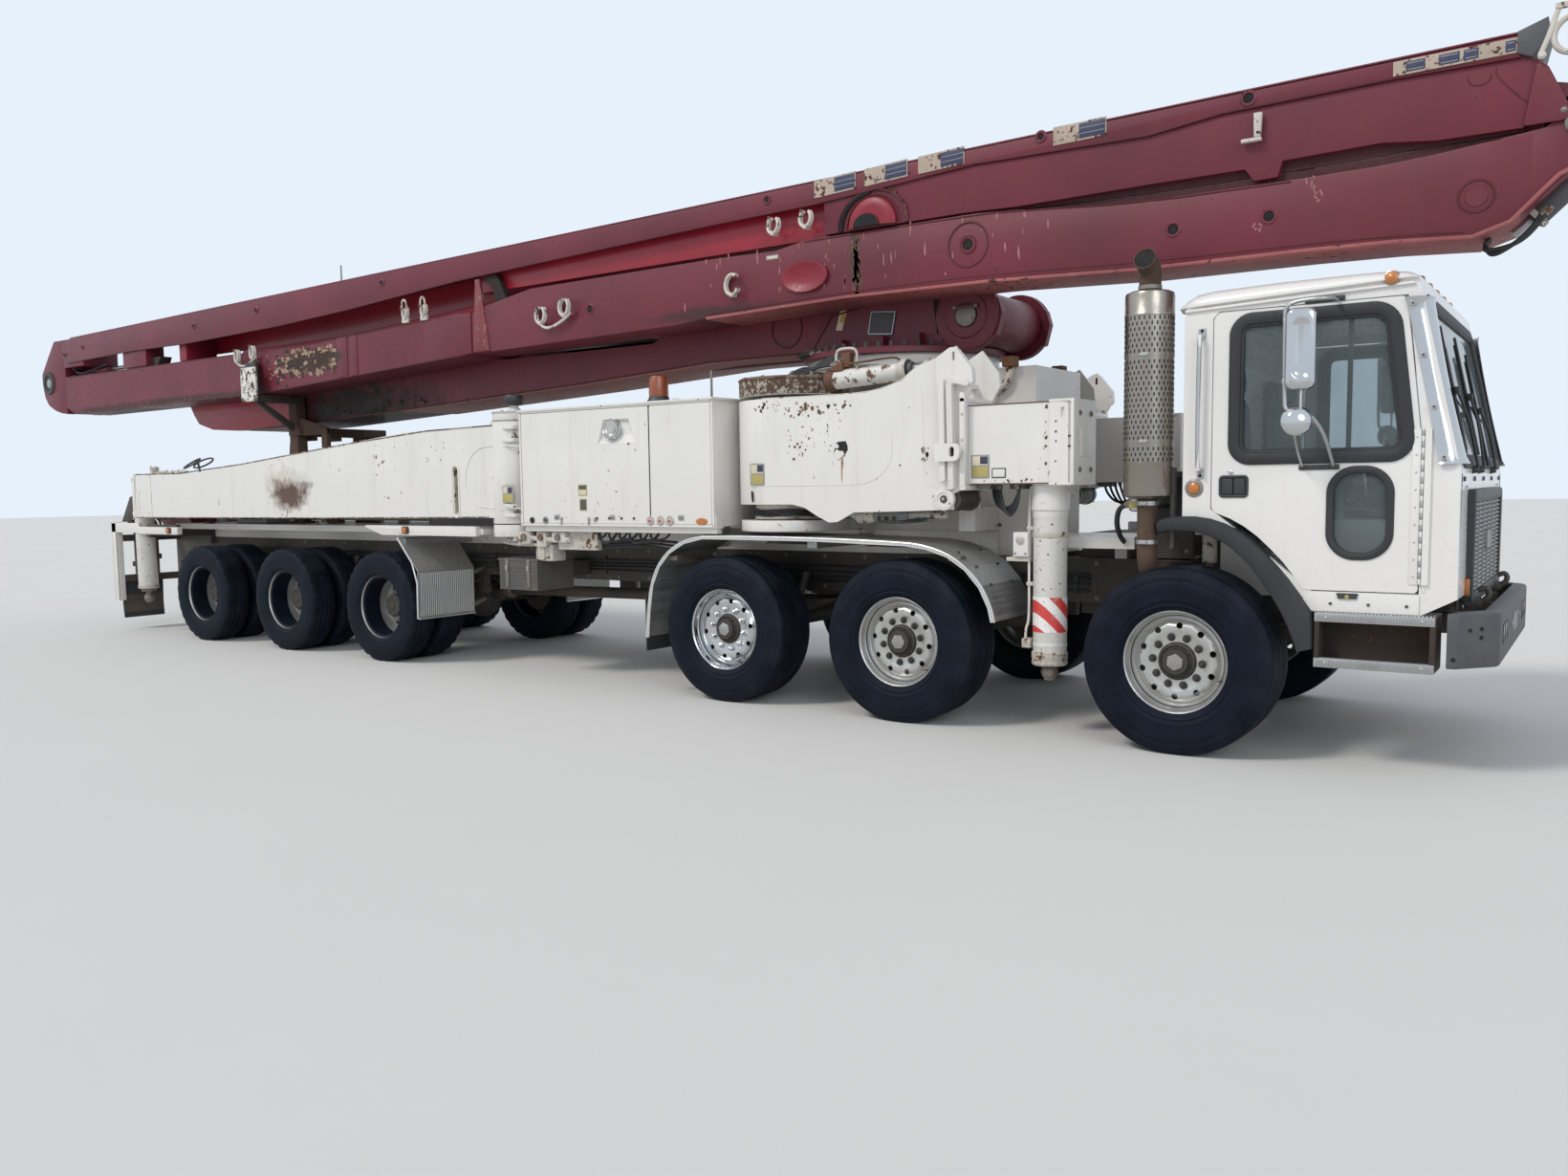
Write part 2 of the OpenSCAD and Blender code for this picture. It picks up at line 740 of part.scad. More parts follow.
module jack_rod(x, y, z0, z1, r) {
    z_rod(x, y, r, z0 + 130, z1);
    z_rod(x, y, 34, z0 + 40, z0 + 140);
    translate([x, y, z0 + 52]) sphere(r = 54);
    z_rod(x, y, 36, z0, z0 + 20);
}

module front_arm_r() {
    color(body_white) front_arm();
}

module front_arm_l() {
    color(body_white) far_side() front_arm();
}

module front_beam_r() {
    color(body_white) front_beam();
}

module front_beam_l() {
    color(body_white) far_side() front_beam();
}

module front_jack_r() {
    color(steel) jack_rod(front_jack_x, -1038, 345, 1540, 78);
}

module front_jack_l() {
    color(steel) far_side() jack_rod(front_jack_x, -1038, 345, 1540, 78);
}

module rear_arm() {
    difference() {
        union() {
            z_rod(rear_pivot_x, -rear_pivot_y, 200, 1300, 2156);
            plate([[-5660, 1350], [-5660, 2130], [-6900, 2110], [-10480, 1812], [-11760, 1818],
                [-11800, 1322], [-6900, 1340]], -1236, -900);
        }
        z_rod(rear_pivot_x, -rear_pivot_y, post_r - 20 + pin_gap, 1200, 2300);
        block(-6250, -6190, -1300, -850, 1380, 1790);
    }
    difference() {
        union() {
            z_rod(rear_jack_x, -1068, jack_r + 10, 1330, 1790);
            z_rod(rear_jack_x, -1068, jack_r, 500, 1340);
            block(rear_jack_x + 60, -11740, -1180, -956, 1340, 1700);
        }
        z_rod(rear_jack_x, -1068, 78 + pin_gap, 450, 1730);
    }
}

module rear_arm_r() {
    color(body_white) rear_arm();
}

module rear_arm_l() {
    color(body_white) far_side() rear_arm();
}

module rear_jack_r() {
    color(steel) jack_rod(rear_jack_x, -1068, 336, 1700, 78);
}

module rear_jack_l() {
    color(steel) far_side() jack_rod(rear_jack_x, -1068, 336, 1700, 78);
}

module turret() {
    color(boom_red) {
        difference() {
            union() {
                z_rod(slew_x, 0, slew_r, slew_z, slew_z + 50);
                both_sides() {
                    plate([[-3000, 2555], [-2980, 2640], [-2820, 2850], [-1950, 2990],
                        [-1600, 2960], [-1470, 2850], [-1440, 2750], [-1480, 2600],
                        [-1720, 2555]], -445, -385);
                    y_rod(pivot_a_x, pivot_a_z, 240, -452, -385);
                }
                block(-2900, -2850, -440, 440, 2555, 2572);
                both_sides() plate([[-2350, 2555], [-2330, 2680], [-2260, 2748], [-2160, 2748],
                    [-2090, 2680], [-2070, 2555]], -150, -110);
            }
            y_rod(pivot_a_x, pivot_a_z, 78 + pin_gap, -500, 500);
        }
        y_rod(lift_base_x, lift_base_z, 40, -150, 150);
    }
}

module lift_barrel() {
    color(boom_red) {
        difference() {
            union() {
                y_rod(lift_base_x, lift_base_z, 58, -95, 95);
                lift_line() x_rod(0, 0, 90, -2300, -48);
            }
            y_rod(lift_base_x, lift_base_z, 40 + pin_gap, -200, 200);
            lift_line() x_rod(0, 0, 60 + pin_gap, -2400, -200);
        }
    }
}

module lift_line() {
    lean = atan2(lift_z - lift_base_z, lift_base_x - lift_x);
    translate([lift_base_x, 0, lift_base_z]) rotate([0, lean, 0]) children();
}

module lift_rod() {
    color(steel) {
        lift_line() x_rod(0, 0, 60, -(lift_base_x - lift_x) + 60, -300);
        difference() {
            y_rod(lift_x, lift_z, 80, -140, 140);
            y_rod(lift_x, lift_z, 42, -150, 150);
        }
        y_rod(lift_x, lift_z, 42, -200 + pin_gap, 200 - pin_gap);
    }
}

// first section: box with an open channel below for the lift cylinder
module boom_section_1() {
    color(boom_red) {
        difference() {
            union() {
                plate([[-1700, 2580], [-2300, 2640], [-2800, 2600], [-4000, 2600], [-5600, 2510],
                    [-8400, 2390], [-9900, 2330], [-11000, 2310], [-11440, 2420],
                    [-11440, 2800], [-4700, 2800], [-4000, 3020], [-2200, 3020], [-1700, 2920]],
                    -360, 360);
                y_rod(pivot_a_x, pivot_a_z, 190, -370, 370);
                plate([[-11000, 2310], [-11600, 2600], [-11600, 2830], [-11000, 2830]],
                    -128, -30);
                plate([[-11000, 2310], [-11600, 2600], [-11600, 2830], [-11000, 2830]],
                    250, 360);
                y_rod(pivot_b_x, pivot_b_z, knuckle_r, -128, -30);
                y_rod(pivot_b_x, pivot_b_z, knuckle_r, 250, 360);
            }
            // channel for the lift cylinder
            block(-6500, -4600, -200, 200, 2300, 2760);
            block(-4610, -1960, -200, 200, 2300, 2800);
            // slot for the second section's lug
            y_rod(pivot_b_x, pivot_b_z, knuckle_r + 12, -30, 250);
        }
        y_rod(pivot_b_x, pivot_b_z, 70, -128, 360);
        y_rod(pivot_a_x, pivot_a_z, 78, -470, 470);
    }
}

// second section: rear half in the middle layer, crank, front half in the near layer
module boom_section_2() {
    color(boom_red) {
        difference() {
            union() {
                plate([[-11330, 2860], [-11330, 3200], [-11000, 3290], [-4800, 3290],
                    [-4800, 2860]], mid_a, mid_b);
                plate([[-11600, 2860], [-11600, 3070], [-11320, 3180], [-11320, 2860]], -22, 242);
                y_rod(pivot_b_x, pivot_b_z, knuckle_r, -22, 242);
                plate([[-6120, 2850], [-6120, 3210], [-5600, 3290], [-4800, 3290], [-4800, 2850]],
                    near_a, mid_b);
                plate([[-6120, 2800], [-6120, 3210], [-3100, 3300], [750, 3310], [1600, 3310],
                    [1600, 2900], [1390, 2800], [750, 2830], [-1200, 2880], [-2300, 2900],
                    [-4000, 2840]], near_a, near_b);
                plate([[1500, 2840], [1500, 3310], [1850, 3310], [2080, 3260], [1980, 3080],
                    [1700, 2960]], near_a, -782);
                plate([[1500, 2840], [1500, 3310], [1850, 3310], [2080, 3260], [1980, 3080],
                    [1700, 2960]], -558, near_b);
                y_rod(pivot_c_x, pivot_c_z, 200, near_a, -782);
                y_rod(pivot_c_x, pivot_c_z, 200, -558, near_b);
            }
            y_rod(pivot_b_x, pivot_b_z, 70 + pin_gap, -200, 400);
            y_rod(pivot_c_x, pivot_c_z, 252, -782, -558);
            // notch for the round bosses of the third section
            y_rod(-2200, 3320, 190, near_a - 20, near_b + 20);
        }
        y_rod(pivot_c_x, pivot_c_z, 70, near_a, near_b);
    }
}

module boom_section_3() {
    color(boom_red) {
        difference() {
            union() {
                plate([[1585, 3326], [1640, 3470], [1680, 3640], [1600, 3770], [-13900, 3545],
                    [-14150, 3500],
                    [-14150, 3200], [-13600, 3190], [-8860, 3190], [-6150, 3330]],
                    near_a, near_b);
                plate([[1560, 3330], [1560, 3600], [1700, 3560], [1850, 3520], [1850, 3330]],
                    -772, -568);
                y_rod(pivot_c_x, pivot_c_z, 200, -772, -568);
                // boss that lies in the second section's notch
                y_rod(-2200, 3320, 170, near_a, near_b);
                plate([[-13900, 3195], [-13900, 3540], [-14280, 3530], [-14600, 3300],
                    [pivot_d_x - 250, pivot_d_z], [pivot_d_x, pivot_d_z], [-14120, 3195]],
                    near_a, -782);
                plate([[-13900, 3195], [-13900, 3540], [-14280, 3530], [-14600, 3300],
                    [pivot_d_x - 250, pivot_d_z], [pivot_d_x, pivot_d_z], [-14120, 3195]],
                    -558, near_b);
                y_rod(pivot_d_x, pivot_d_z, 250, near_a, -782);
                y_rod(pivot_d_x, pivot_d_z, 250, -558, near_b);
                // raised strip along the top
                plate([[1590, 3640], [1590, 3776], [-13800, 3553], [-13800, 3300], [-6000, 3420]],
                    near_a - 14, near_a);
            }
            y_rod(pivot_c_x, pivot_c_z, 70 + pin_gap, near_a - 20, near_b + 20);
            y_rod(pivot_d_x, pivot_d_z, 262, -782, -558);
            y_rod(pivot_d_x, pivot_d_z, 40, near_a - 20, near_b + 20);
        }
        difference() {
            y_rod(pivot_d_x, pivot_d_z, 70, near_a, near_b);
            y_rod(pivot_d_x, pivot_d_z, 40, near_a - 1, near_b + 1);
        }
    }
}

module boom_section_4() {
    color(boom_red) {
        difference() {
            union() {
                plate([[-14090, 2700], [-14090, 3080], [-8860, 3080], [-6900, 3160],
                    [-6500, 3130], [-6380, 3060], [-6380, 2840], [-6500, 2790], [-9750, 2630],
                    [-13900, 2610]], near_a, near_b);
                plate([[-14420, 2810], [-14420, 3240], [-14080, 3070], [-14080, 2650]],
                    -772, -568);
                y_rod(pivot_d_x, pivot_d_z, 240, -772, -568);
                y_rod(pivot_e_x, pivot_e_z, 110, near_b - 10, near_b + 12);
            }
            y_rod(pivot_d_x, pivot_d_z, 70 + pin_gap, near_a - 20, near_b + 20);
        }
        y_rod(pivot_e_x, pivot_e_z, 60, near_b - 10, tip_b);
    }
}

module boom_section_5() {
    color(boom_red) {
        difference() {
            union() {
                plate([[-6640, 2880], [-6640, 3120], [-13900, 3080], [-14000, 3050],
                    [-14000, 2930], [-13900, 2900]], tip_a, tip_b);
                y_rod(pivot_e_x, pivot_e_z, 150, tip_a, tip_b);
            }
            y_rod(pivot_e_x, pivot_e_z, 60 + pin_gap, tip_a - 10, tip_b + 10);
            y_rod(-13850, 2990, tip_bore_r, tip_a - 10, tip_b + 10);
        }
    }
}

module knuckle_1r() {
    color(dark_steel) knuckle(0);
}

module knuckle_1l() {
    color(dark_steel) far_side() knuckle(0);
}

module knuckle_2r() {
    color(dark_steel) knuckle(axle_2);
}

module knuckle_2l() {
    color(dark_steel) far_side() knuckle(axle_2);
}

module wheel_1r() {
    color(black) single_wheel(0, hub_z, tyre_r);
}

module wheel_1l() {
    color(black) far_side() single_wheel(0, hub_z, tyre_r);
}

module wheel_2r() {
    color(black) single_wheel(axle_2, hub_z, tyre_r);
}

module wheel_2l() {
    color(black) far_side() single_wheel(axle_2, hub_z, tyre_r);
}

module wheel_3r() {
    color(black) single_wheel(axle_3, hub_z3, tyre_r - 10);
}

module wheel_3l() {
    color(black) far_side() single_wheel(axle_3, hub_z3, tyre_r - 10);
}

module wheel_4r() {
    color(black) twin_wheel(axle_4);
}

module wheel_4l() {
    color(black) far_side() twin_wheel(axle_4);
}

module wheel_5r() {
    color(black) twin_wheel(axle_5);
}

module wheel_5l() {
    color(black) far_side() twin_wheel(axle_5);
}

module wheel_6r() {
    color(black) twin_wheel(axle_6);
}

module wheel_6l() {
    color(black) far_side() twin_wheel(axle_6);
}

placed() chassis_frame();
placed() engine_block();
placed() axles();
placed() support_frame();
placed() tool_boxes();
placed() side_tanks();
placed() hopper();
placed() hopper_grate();
placed() pump_unit();
placed() boom_rest();
placed() exhaust_stack();
placed() cab_shell();
placed() cab_glass();
placed() cab_interior();
placed() cab_trim();
placed() front_bumper();
placed() tread_guards();
placed() door_r();
placed() door_l();
placed() door_glass_r();
placed() door_glass_l();
placed() box_door_rear_r();
placed() box_door_front_r();
placed() box_door_l();
placed() knuckle_1r();
placed() knuckle_1l();
placed() knuckle_2r();
placed() knuckle_2l();
placed() wheel_1r();
placed() wheel_1l();
placed() wheel_2r();
placed() wheel_2l();
placed() wheel_3r();
placed() wheel_3l();
placed() wheel_4r();
placed() wheel_4l();
placed() wheel_5r();
placed() wheel_5l();
placed() wheel_6r();
placed() wheel_6l();
placed() front_arm_r();
placed() front_beam_r();
placed() front_jack_r();
placed() front_arm_l();
placed() front_beam_l();
placed() front_jack_l();
placed() rear_arm_r();
placed() rear_jack_r();
placed() rear_arm_l();
placed() rear_jack_l();
placed() turret();
placed() boom_section_1();
placed() boom_section_2();
placed() boom_section_3();
placed() boom_section_4();
placed() boom_section_5();
placed() lift_barrel();
placed() lift_rod();
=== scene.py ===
# Looks of the concrete pump truck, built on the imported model's frame.
# Positions are in metres. x is given from the first axle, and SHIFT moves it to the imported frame.
# OUT points away from the near side. Faces that meet at more than SHARP show a crisp edge.
import math
import random
import bmesh
import bpy
from mathutils import Matrix, Vector


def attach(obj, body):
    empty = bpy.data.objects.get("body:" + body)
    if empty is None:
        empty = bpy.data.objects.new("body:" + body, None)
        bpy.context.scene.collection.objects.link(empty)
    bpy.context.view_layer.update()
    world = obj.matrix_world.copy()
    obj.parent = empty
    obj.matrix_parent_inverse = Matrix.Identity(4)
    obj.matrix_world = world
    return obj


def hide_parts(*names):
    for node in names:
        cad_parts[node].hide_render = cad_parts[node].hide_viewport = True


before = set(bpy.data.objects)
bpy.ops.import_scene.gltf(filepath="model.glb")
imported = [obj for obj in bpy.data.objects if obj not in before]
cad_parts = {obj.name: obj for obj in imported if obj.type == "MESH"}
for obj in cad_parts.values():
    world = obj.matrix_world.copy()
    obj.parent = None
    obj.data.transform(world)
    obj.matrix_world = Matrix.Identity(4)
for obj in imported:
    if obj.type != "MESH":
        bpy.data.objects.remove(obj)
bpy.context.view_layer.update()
SHIFT = 6.325
random.seed(11)
scene = bpy.context.scene
MATS = {}
ORIGIN = (0, 0, 0)
FORE, BACK = (1, 0, 0), (-1, 0, 0)
LEFT, OUT = (0, 1, 0), (0, -1, 0)
UP, DOWN = (0, 0, 1), (0, 0, -1)
SHARP = math.radians(38)
BOTH = (-1, 1)


# Materials

class Nodes:
    """Short names for the nodes of one material."""

    def __init__(self, name):
        self.mat = bpy.data.materials.new(name)
        self.mat.use_nodes = True
        self.tree = self.mat.node_tree
        self.shader = self.tree.nodes["Principled BSDF"]
        self.coord = self.tree.nodes.new("ShaderNodeTexCoord").outputs["Object"]
        MATS[name] = self.mat

    def link(self, a, b):
        self.tree.links.new(a, b)

    def stretch(self, scale):
        node = self.tree.nodes.new("ShaderNodeMapping")
        node.inputs["Scale"].default_value = scale
        self.link(self.coord, node.inputs["Vector"])
        return node.outputs[0]

    def noise(self, scale, detail=3.0, rough=0.55, vector=None, warp=0.0):
        node = self.tree.nodes.new("ShaderNodeTexNoise")
        node.inputs["Scale"].default_value = scale
        node.inputs["Detail"].default_value = detail
        node.inputs["Roughness"].default_value = rough
        node.inputs["Distortion"].default_value = warp
        self.link(vector or self.coord, node.inputs["Vector"])
        return node.outputs["Fac"]

    def cells(self, scale, vector=None):
        node = self.tree.nodes.new("ShaderNodeTexVoronoi")
        node.inputs["Scale"].default_value = scale
        self.link(vector or self.coord, node.inputs["Vector"])
        return node.outputs["Distance"]

    def ramp(self, value, low, high, to_low=0.0, to_high=1.0):
        node = self.tree.nodes.new("ShaderNodeMapRange")
        node.inputs["From Min"].default_value = low
        node.inputs["From Max"].default_value = high
        node.inputs["To Min"].default_value = to_low
        node.inputs["To Max"].default_value = to_high
        self.link(value, node.inputs["Value"])
        return node.outputs["Result"]

    def math(self, kind, a, b):
        node = self.tree.nodes.new("ShaderNodeMath")
        node.operation = kind
        for i, v in enumerate((a, b)):
            if isinstance(v, (int, float)):
                node.inputs[i].default_value = v
            else:
                self.link(v, node.inputs[i])
        return node.outputs[0]

    def axis(self, which):
        node = self.tree.nodes.new("ShaderNodeSeparateXYZ")
        self.link(self.coord, node.inputs[0])
        return node.outputs[which]

    def mix(self, fac, a, b):
        node = self.tree.nodes.new("ShaderNodeMix")
        node.data_type = "RGBA"
        for name, v in (("Factor", fac), ("A", a), ("B", b)):
            sockets = [s for s in node.inputs if s.name == name and s.enabled]
            if isinstance(v, (int, float)):
                sockets[0].default_value = v
            elif isinstance(v, (tuple, list)):
                sockets[0].default_value = tuple(v) + (1.0,)
            else:
                self.link(v, sockets[0])
        return [s for s in node.outputs if s.enabled][0]

    def bump(self, height, depth, strength=1.0):
        node = self.tree.nodes.new("ShaderNodeBump")
        node.inputs["Strength"].default_value = strength
        node.inputs["Distance"].default_value = depth
        self.link(height, node.inputs["Height"])
        self.link(node.outputs[0], self.shader.inputs["Normal"])

    def out(self, color=None, rough=None, metal=None):
        for name, v in (("Base Color", color), ("Roughness", rough), ("Metallic", metal)):
            if v is None:
                continue
            if isinstance(v, (int, float)):
                self.shader.inputs[name].default_value = v
            elif isinstance(v, (tuple, list)):
                self.shader.inputs[name].default_value = tuple(v) + (1.0,)
            else:
                self.link(v, self.shader.inputs[name])
        return self.mat


def paint(name, color, rough=0.35, metal=0.0, vary=0.1, grime=0.3, grime_color=(0.16, 0.12, 0.08),
        low=1.0, chips=0.0, chip_color=(0.16, 0.07, 0.03), streaks=0.25, grain=0.0006, coat=0.0,
        size=1.0, patches=()):
    """Painted or bare metal: uneven colour, vertical streaks, grime that thickens lower down, chips.

    Each patch is (x, z, half width, half height, colour, edge softness, share) on the side faces; on some
    materials a patch is a real stain, on others painted light or painted shade."""
    n = Nodes(name)
    wide = n.noise(1.7 * size, 4.0)
    fine = n.noise(38.0 * size, 3.0)
    runs = n.noise(5.0 * size, 5.0, 0.65, n.stretch((1.6, 1.6, 0.16)))
    lighter = tuple(min(1.0, c * (1.0 + vary)) for c in color)
    darker = tuple(c * (1.0 - vary) for c in color)
    base = n.mix(n.ramp(wide, 0.32, 0.68), darker, lighter)
    height = n.ramp(n.axis("Z"), low + 0.9, low - 0.6)
    dirt = n.math("MULTIPLY", n.ramp(n.math("ADD", wide, n.math("MULTIPLY", fine, 0.5)), 0.62, 1.05),
        height)
    dirt = n.math("ADD", n.math("MULTIPLY", dirt, grime), n.math("MULTIPLY", n.ramp(runs, 0.54, 0.78),
        streaks))
    dirt = n.math("MINIMUM", dirt, 0.92)
    base = n.mix(dirt, base, grime_color)
    shine = n.math("ADD", n.ramp(fine, 0.3, 0.7, rough - 0.06, rough + 0.08),
        n.math("MULTIPLY", dirt, 0.35))
    relief = n.math("MULTIPLY", fine, 0.4)
    if chips > 0.0:
        spots = n.noise(16.0 * size, 8.0, 0.68)
        patch = n.ramp(n.math("ADD", spots, n.math("MULTIPLY", wide, 0.35)), 0.99 - chips, 1.0 - chips)
        base = n.mix(patch, base, n.mix(fine, tuple(c * 0.6 for c in chip_color), chip_color))
        shine = n.math("ADD", shine, n.math("MULTIPLY", patch, 0.4))
        relief = n.math("SUBTRACT", relief, patch)
        if metal > 0.0:
            metal = n.math("MULTIPLY", n.math("SUBTRACT", 1.0, patch), metal)
    for x, z, wide_x, tall_z, tone, soft, share in patches:
        across = n.math("DIVIDE", n.math("SUBTRACT", n.axis("X"), x + SHIFT), wide_x)
        along = n.math("DIVIDE", n.math("SUBTRACT", n.axis("Z"), z), tall_z)
        far = n.math("SQRT", n.math("ADD", n.math("POWER", across, 2.0), n.math("POWER", along, 2.0)),
            0.0)
        ragged = n.math("ADD", n.math("MULTIPLY", n.noise(9.0, 9.0, 0.72), 1.5),
            n.math("MULTIPLY", n.noise(2.6, 3.0), 0.9))
        field = n.ramp(n.math("SUBTRACT", ragged, far), 0.25, 0.25 + soft, 0.0, share)
        base = n.mix(field, base, n.mix(fine, tuple(c * 0.55 for c in tone), tone))
        shine = n.math("ADD", shine, n.math("MULTIPLY", field, 0.25))
        relief = n.math("SUBTRACT", relief, field)
    n.bump(relief, grain)
    n.shader.inputs["Coat Weight"].default_value = coat
    n.shader.inputs["Coat Roughness"].default_value = 0.12
    return n.out(base, shine, metal)


def clear_glass(name, tint, opacity):
    """Slightly hazy glass."""
    n = Nodes(name)
    haze = n.noise(3.0, 5.0, 0.6, n.stretch((1.0, 1.0, 0.4)))
    n.shader.inputs["Transmission Weight"].default_value = 1.0 - opacity
    n.shader.inputs["IOR"].default_value = 1.1
    n.shader.inputs["Specular IOR Level"].default_value = 0.8
    n.bump(n.noise(2.0, 2.0), 0.0004)
    return n.out(n.mix(n.ramp(haze, 0.35, 0.75), tint, tuple(c * 0.75 + 0.04 for c in tint)),
        n.ramp(haze, 0.3, 0.8, 0.02, 0.1), 0.0)


def tread_plate_paint(name):
    """Aluminium sheet with raised bars in two directions."""
    n = Nodes(name)
    node = n.tree.nodes.new("ShaderNodeMapping")
    node.inputs["Rotation"].default_value = (0.0, 0.0, 0.785)
    n.link(n.coord, node.inputs["Vector"])
    sep = n.tree.nodes.new("ShaderNodeSeparateXYZ")
    n.link(node.outputs[0], sep.inputs[0])
    waves = []
    for i in (0, 1):
        waves.append(n.math("SINE", n.math("MULTIPLY", sep.outputs[i], 260.0), 0.0))
    bars = n.ramp(n.math("MULTIPLY", waves[0], waves[1]), 0.35, 0.6)
    wide = n.noise(2.4, 5.0)
    scuff = n.noise(30.0, 4.0)
    base = n.mix(n.ramp(wide, 0.35, 0.7), (0.3, 0.3, 0.3), (0.46, 0.46, 0.45))
    mud = n.math("MULTIPLY", n.ramp(n.math("ADD", wide, n.math("MULTIPLY", scuff, 0.6)), 0.72, 1.1),
        n.ramp(n.axis("Z"), 1.3, 0.4, 0.35, 1.0))
    base = n.mix(mud, base, (0.17, 0.14, 0.11))
    n.bump(n.math("ADD", bars, n.math("MULTIPLY", scuff, 0.2)), 0.002)
    return n.out(base, n.ramp(scuff, 0.3, 0.7, 0.32, 0.55), n.ramp(mud, 0.0, 1.0, 0.75, 0.1))


def stripes(name, turn, width, one, two, anchor=0.0):
    """Slanted warning bands in two colours."""
    n = Nodes(name)
    slant = n.math("ADD", n.math("MULTIPLY", n.axis("X"), turn[0]), n.math("ADD",
        n.math("MULTIPLY", n.axis("Y"), turn[1]), n.math("MULTIPLY", n.axis("Z"), turn[2])))
    phase = n.math("FRACT", n.math("DIVIDE", n.math("ADD", slant, anchor), width), 0.0)
    wide = n.noise(4.0, 4.0)
    scuff = n.noise(45.0, 5.0, 0.65)
    base = n.mix(n.math("GREATER_THAN", phase, 0.5), one, two)
    base = n.mix(n.ramp(n.math("ADD", scuff, n.math("MULTIPLY", wide, 0.4)), 0.78, 0.86, 0.0, 0.75),
        base, (0.34, 0.3, 0.26))
    n.bump(scuff, 0.0006)
    return n.out(base, n.ramp(wide, 0.3, 0.7, 0.3, 0.5), 0.0)


def lamp_lens(name, color):
    """Coloured lens with fine cells."""
    n = Nodes(name)
    rings = n.cells(240.0)
    n.shader.inputs["Transmission Weight"].default_value = 0.25
    n.shader.inputs["Coat Weight"].default_value = 0.6
    n.shader.inputs["Coat Roughness"].default_value = 0.08
    n.bump(rings, 0.0008)
    return n.out(n.mix(n.ramp(n.noise(60.0, 2.0), 0.3, 0.7), tuple(c * 0.75 for c in color), color),
        n.ramp(rings, 0.0, 0.6, 0.12, 0.25), 0.0)


paint("white", (0.74, 0.72, 0.68), 0.34, vary=0.035, grime=0.45, low=0.9, chips=0.14, streaks=0.12,
    coat=0.25, grain=0.0005)
paint("cab_white", (0.78, 0.76, 0.74), 0.28, vary=0.03, grime=0.3, low=0.75, chips=0.075, streaks=0.07,
    coat=0.45, grain=0.0003)
paint("arm_white", (0.74, 0.72, 0.68), 0.36, vary=0.035, grime=0.5, low=0.9, chips=0.15, streaks=0.14,
    coat=0.2, grain=0.0005, patches=((-8.77, 1.63, 0.46, 0.28, (0.42, 0.3, 0.2), 1.0, 0.88),
    (-8.74, 1.57, 0.36, 0.19, (0.105, 0.045, 0.026), 0.5, 0.95), (-8.45, 1.66, 0.16, 0.05,
    (0.2, 0.18, 0.16), 0.7, 0.7)))
paint("dirty_white", (0.62, 0.58, 0.52), 0.5, vary=0.08, grime=0.8, low=1.5, chips=0.22, streaks=0.4,
    grain=0.001)
paint("pipe_white", (0.66, 0.63, 0.58), 0.45, vary=0.06, grime=0.6, low=1.6, chips=0.18, streaks=0.3)
paint("peeling", (0.7, 0.68, 0.64), 0.45, vary=0.05, grime=0.4, low=1.0, chips=0.24,
    chip_color=(0.2, 0.11, 0.07), streaks=0.25, grain=0.0018, size=0.8)
paint("edge_grime", (0.42, 0.37, 0.31), 0.65, vary=0.25, grime=0.8, low=2.2, chips=0.34,
    chip_color=(0.12, 0.075, 0.05), streaks=0.5, grain=0.0016, size=1.6)
paint("edge_bright", (0.72, 0.71, 0.69), 0.3, 0.8, vary=0.1, grime=0.3, low=0.6, chips=0.1, streaks=0.15)
paint("chip", (0.115, 0.075, 0.055), 0.75, 0.1, vary=0.35, grime=0.4, low=2.0, chips=0.3,
    chip_color=(0.26, 0.12, 0.06), streaks=0.2, grain=0.001, size=1.5)
paint("rust_run", (0.36, 0.22, 0.14), 0.75, vary=0.25, grime=0.3, low=2.0, chips=0.2,
    chip_color=(0.24, 0.11, 0.05), streaks=0.3, size=1.5)
paint("tag_green", (0.42, 0.46, 0.38), 0.5, vary=0.08, grime=0.3, low=1.6, streaks=0.2)
paint("dull_white", (0.58, 0.54, 0.48), 0.5, vary=0.1, grime=0.85, low=1.2, chips=0.24, streaks=0.45,
    grain=0.001)
BOOM = dict(vary=0.18, grime=0.26, grime_color=(0.15, 0.05, 0.046), low=2.0,
    chip_color=(0.075, 0.03, 0.024), streaks=0.16, coat=0.06, grain=0.0007)
paint("red", (0.132, 0.011, 0.026), 0.46, chips=0.12, **BOOM)
paint("red_low", (0.132, 0.011, 0.026), 0.47, chips=0.15, patches=((-8.86, 2.905, 0.66, 0.135,
    (0.06, 0.033, 0.025), 0.14, 0.95), (-11.2, 2.66, 2.6, 0.05, (0.03, 0.018, 0.016), 0.6, 0.8),
    (-13.0, 2.6, 1.2, 0.09, (0.025, 0.016, 0.015), 0.6, 0.85)), **BOOM)
paint("red_drip", (0.132, 0.011, 0.025), 0.46, chips=0.13, patches=((-2.36, 3.14, 0.055, 0.24,
    (0.06, 0.034, 0.026), 0.3, 0.85), (-3.6, 2.9, 0.9, 0.07, (0.035, 0.018, 0.016), 0.6, 0.75)), **BOOM)
# first patch: a painted sunlit highlight in a much lighter red; second: a broad near-black patch of painted
# shade
paint("red_rear_sunlit_shaded", (0.138, 0.0105, 0.023), 0.46, chips=0.13, patches=((-11.0, 2.5, 0.7, 0.16,
    (0.4, 0.012, 0.026), 0.8, 0.85), (-8.95, 2.46, 1.6, 0.38, (0.02, 0.013, 0.012), 0.6, 0.97)), **BOOM)
paint("dark_red", (0.085, 0.009, 0.014), 0.48, chips=0.16, **BOOM)
paint("worn_cream", (0.44, 0.36, 0.29), 0.6, vary=0.18, grime=0.6, grime_color=(0.2, 0.1, 0.08), low=2.4,
    chips=0.24, chip_color=(0.11, 0.035, 0.03), streaks=0.4, size=1.4)
paint("flange_pink", (0.3, 0.075, 0.08), 0.55, vary=0.22, grime=0.45, grime_color=(0.4, 0.24, 0.17),
    low=2.6, chips=0.2, chip_color=(0.1, 0.045, 0.035), streaks=0.35, grain=0.001)
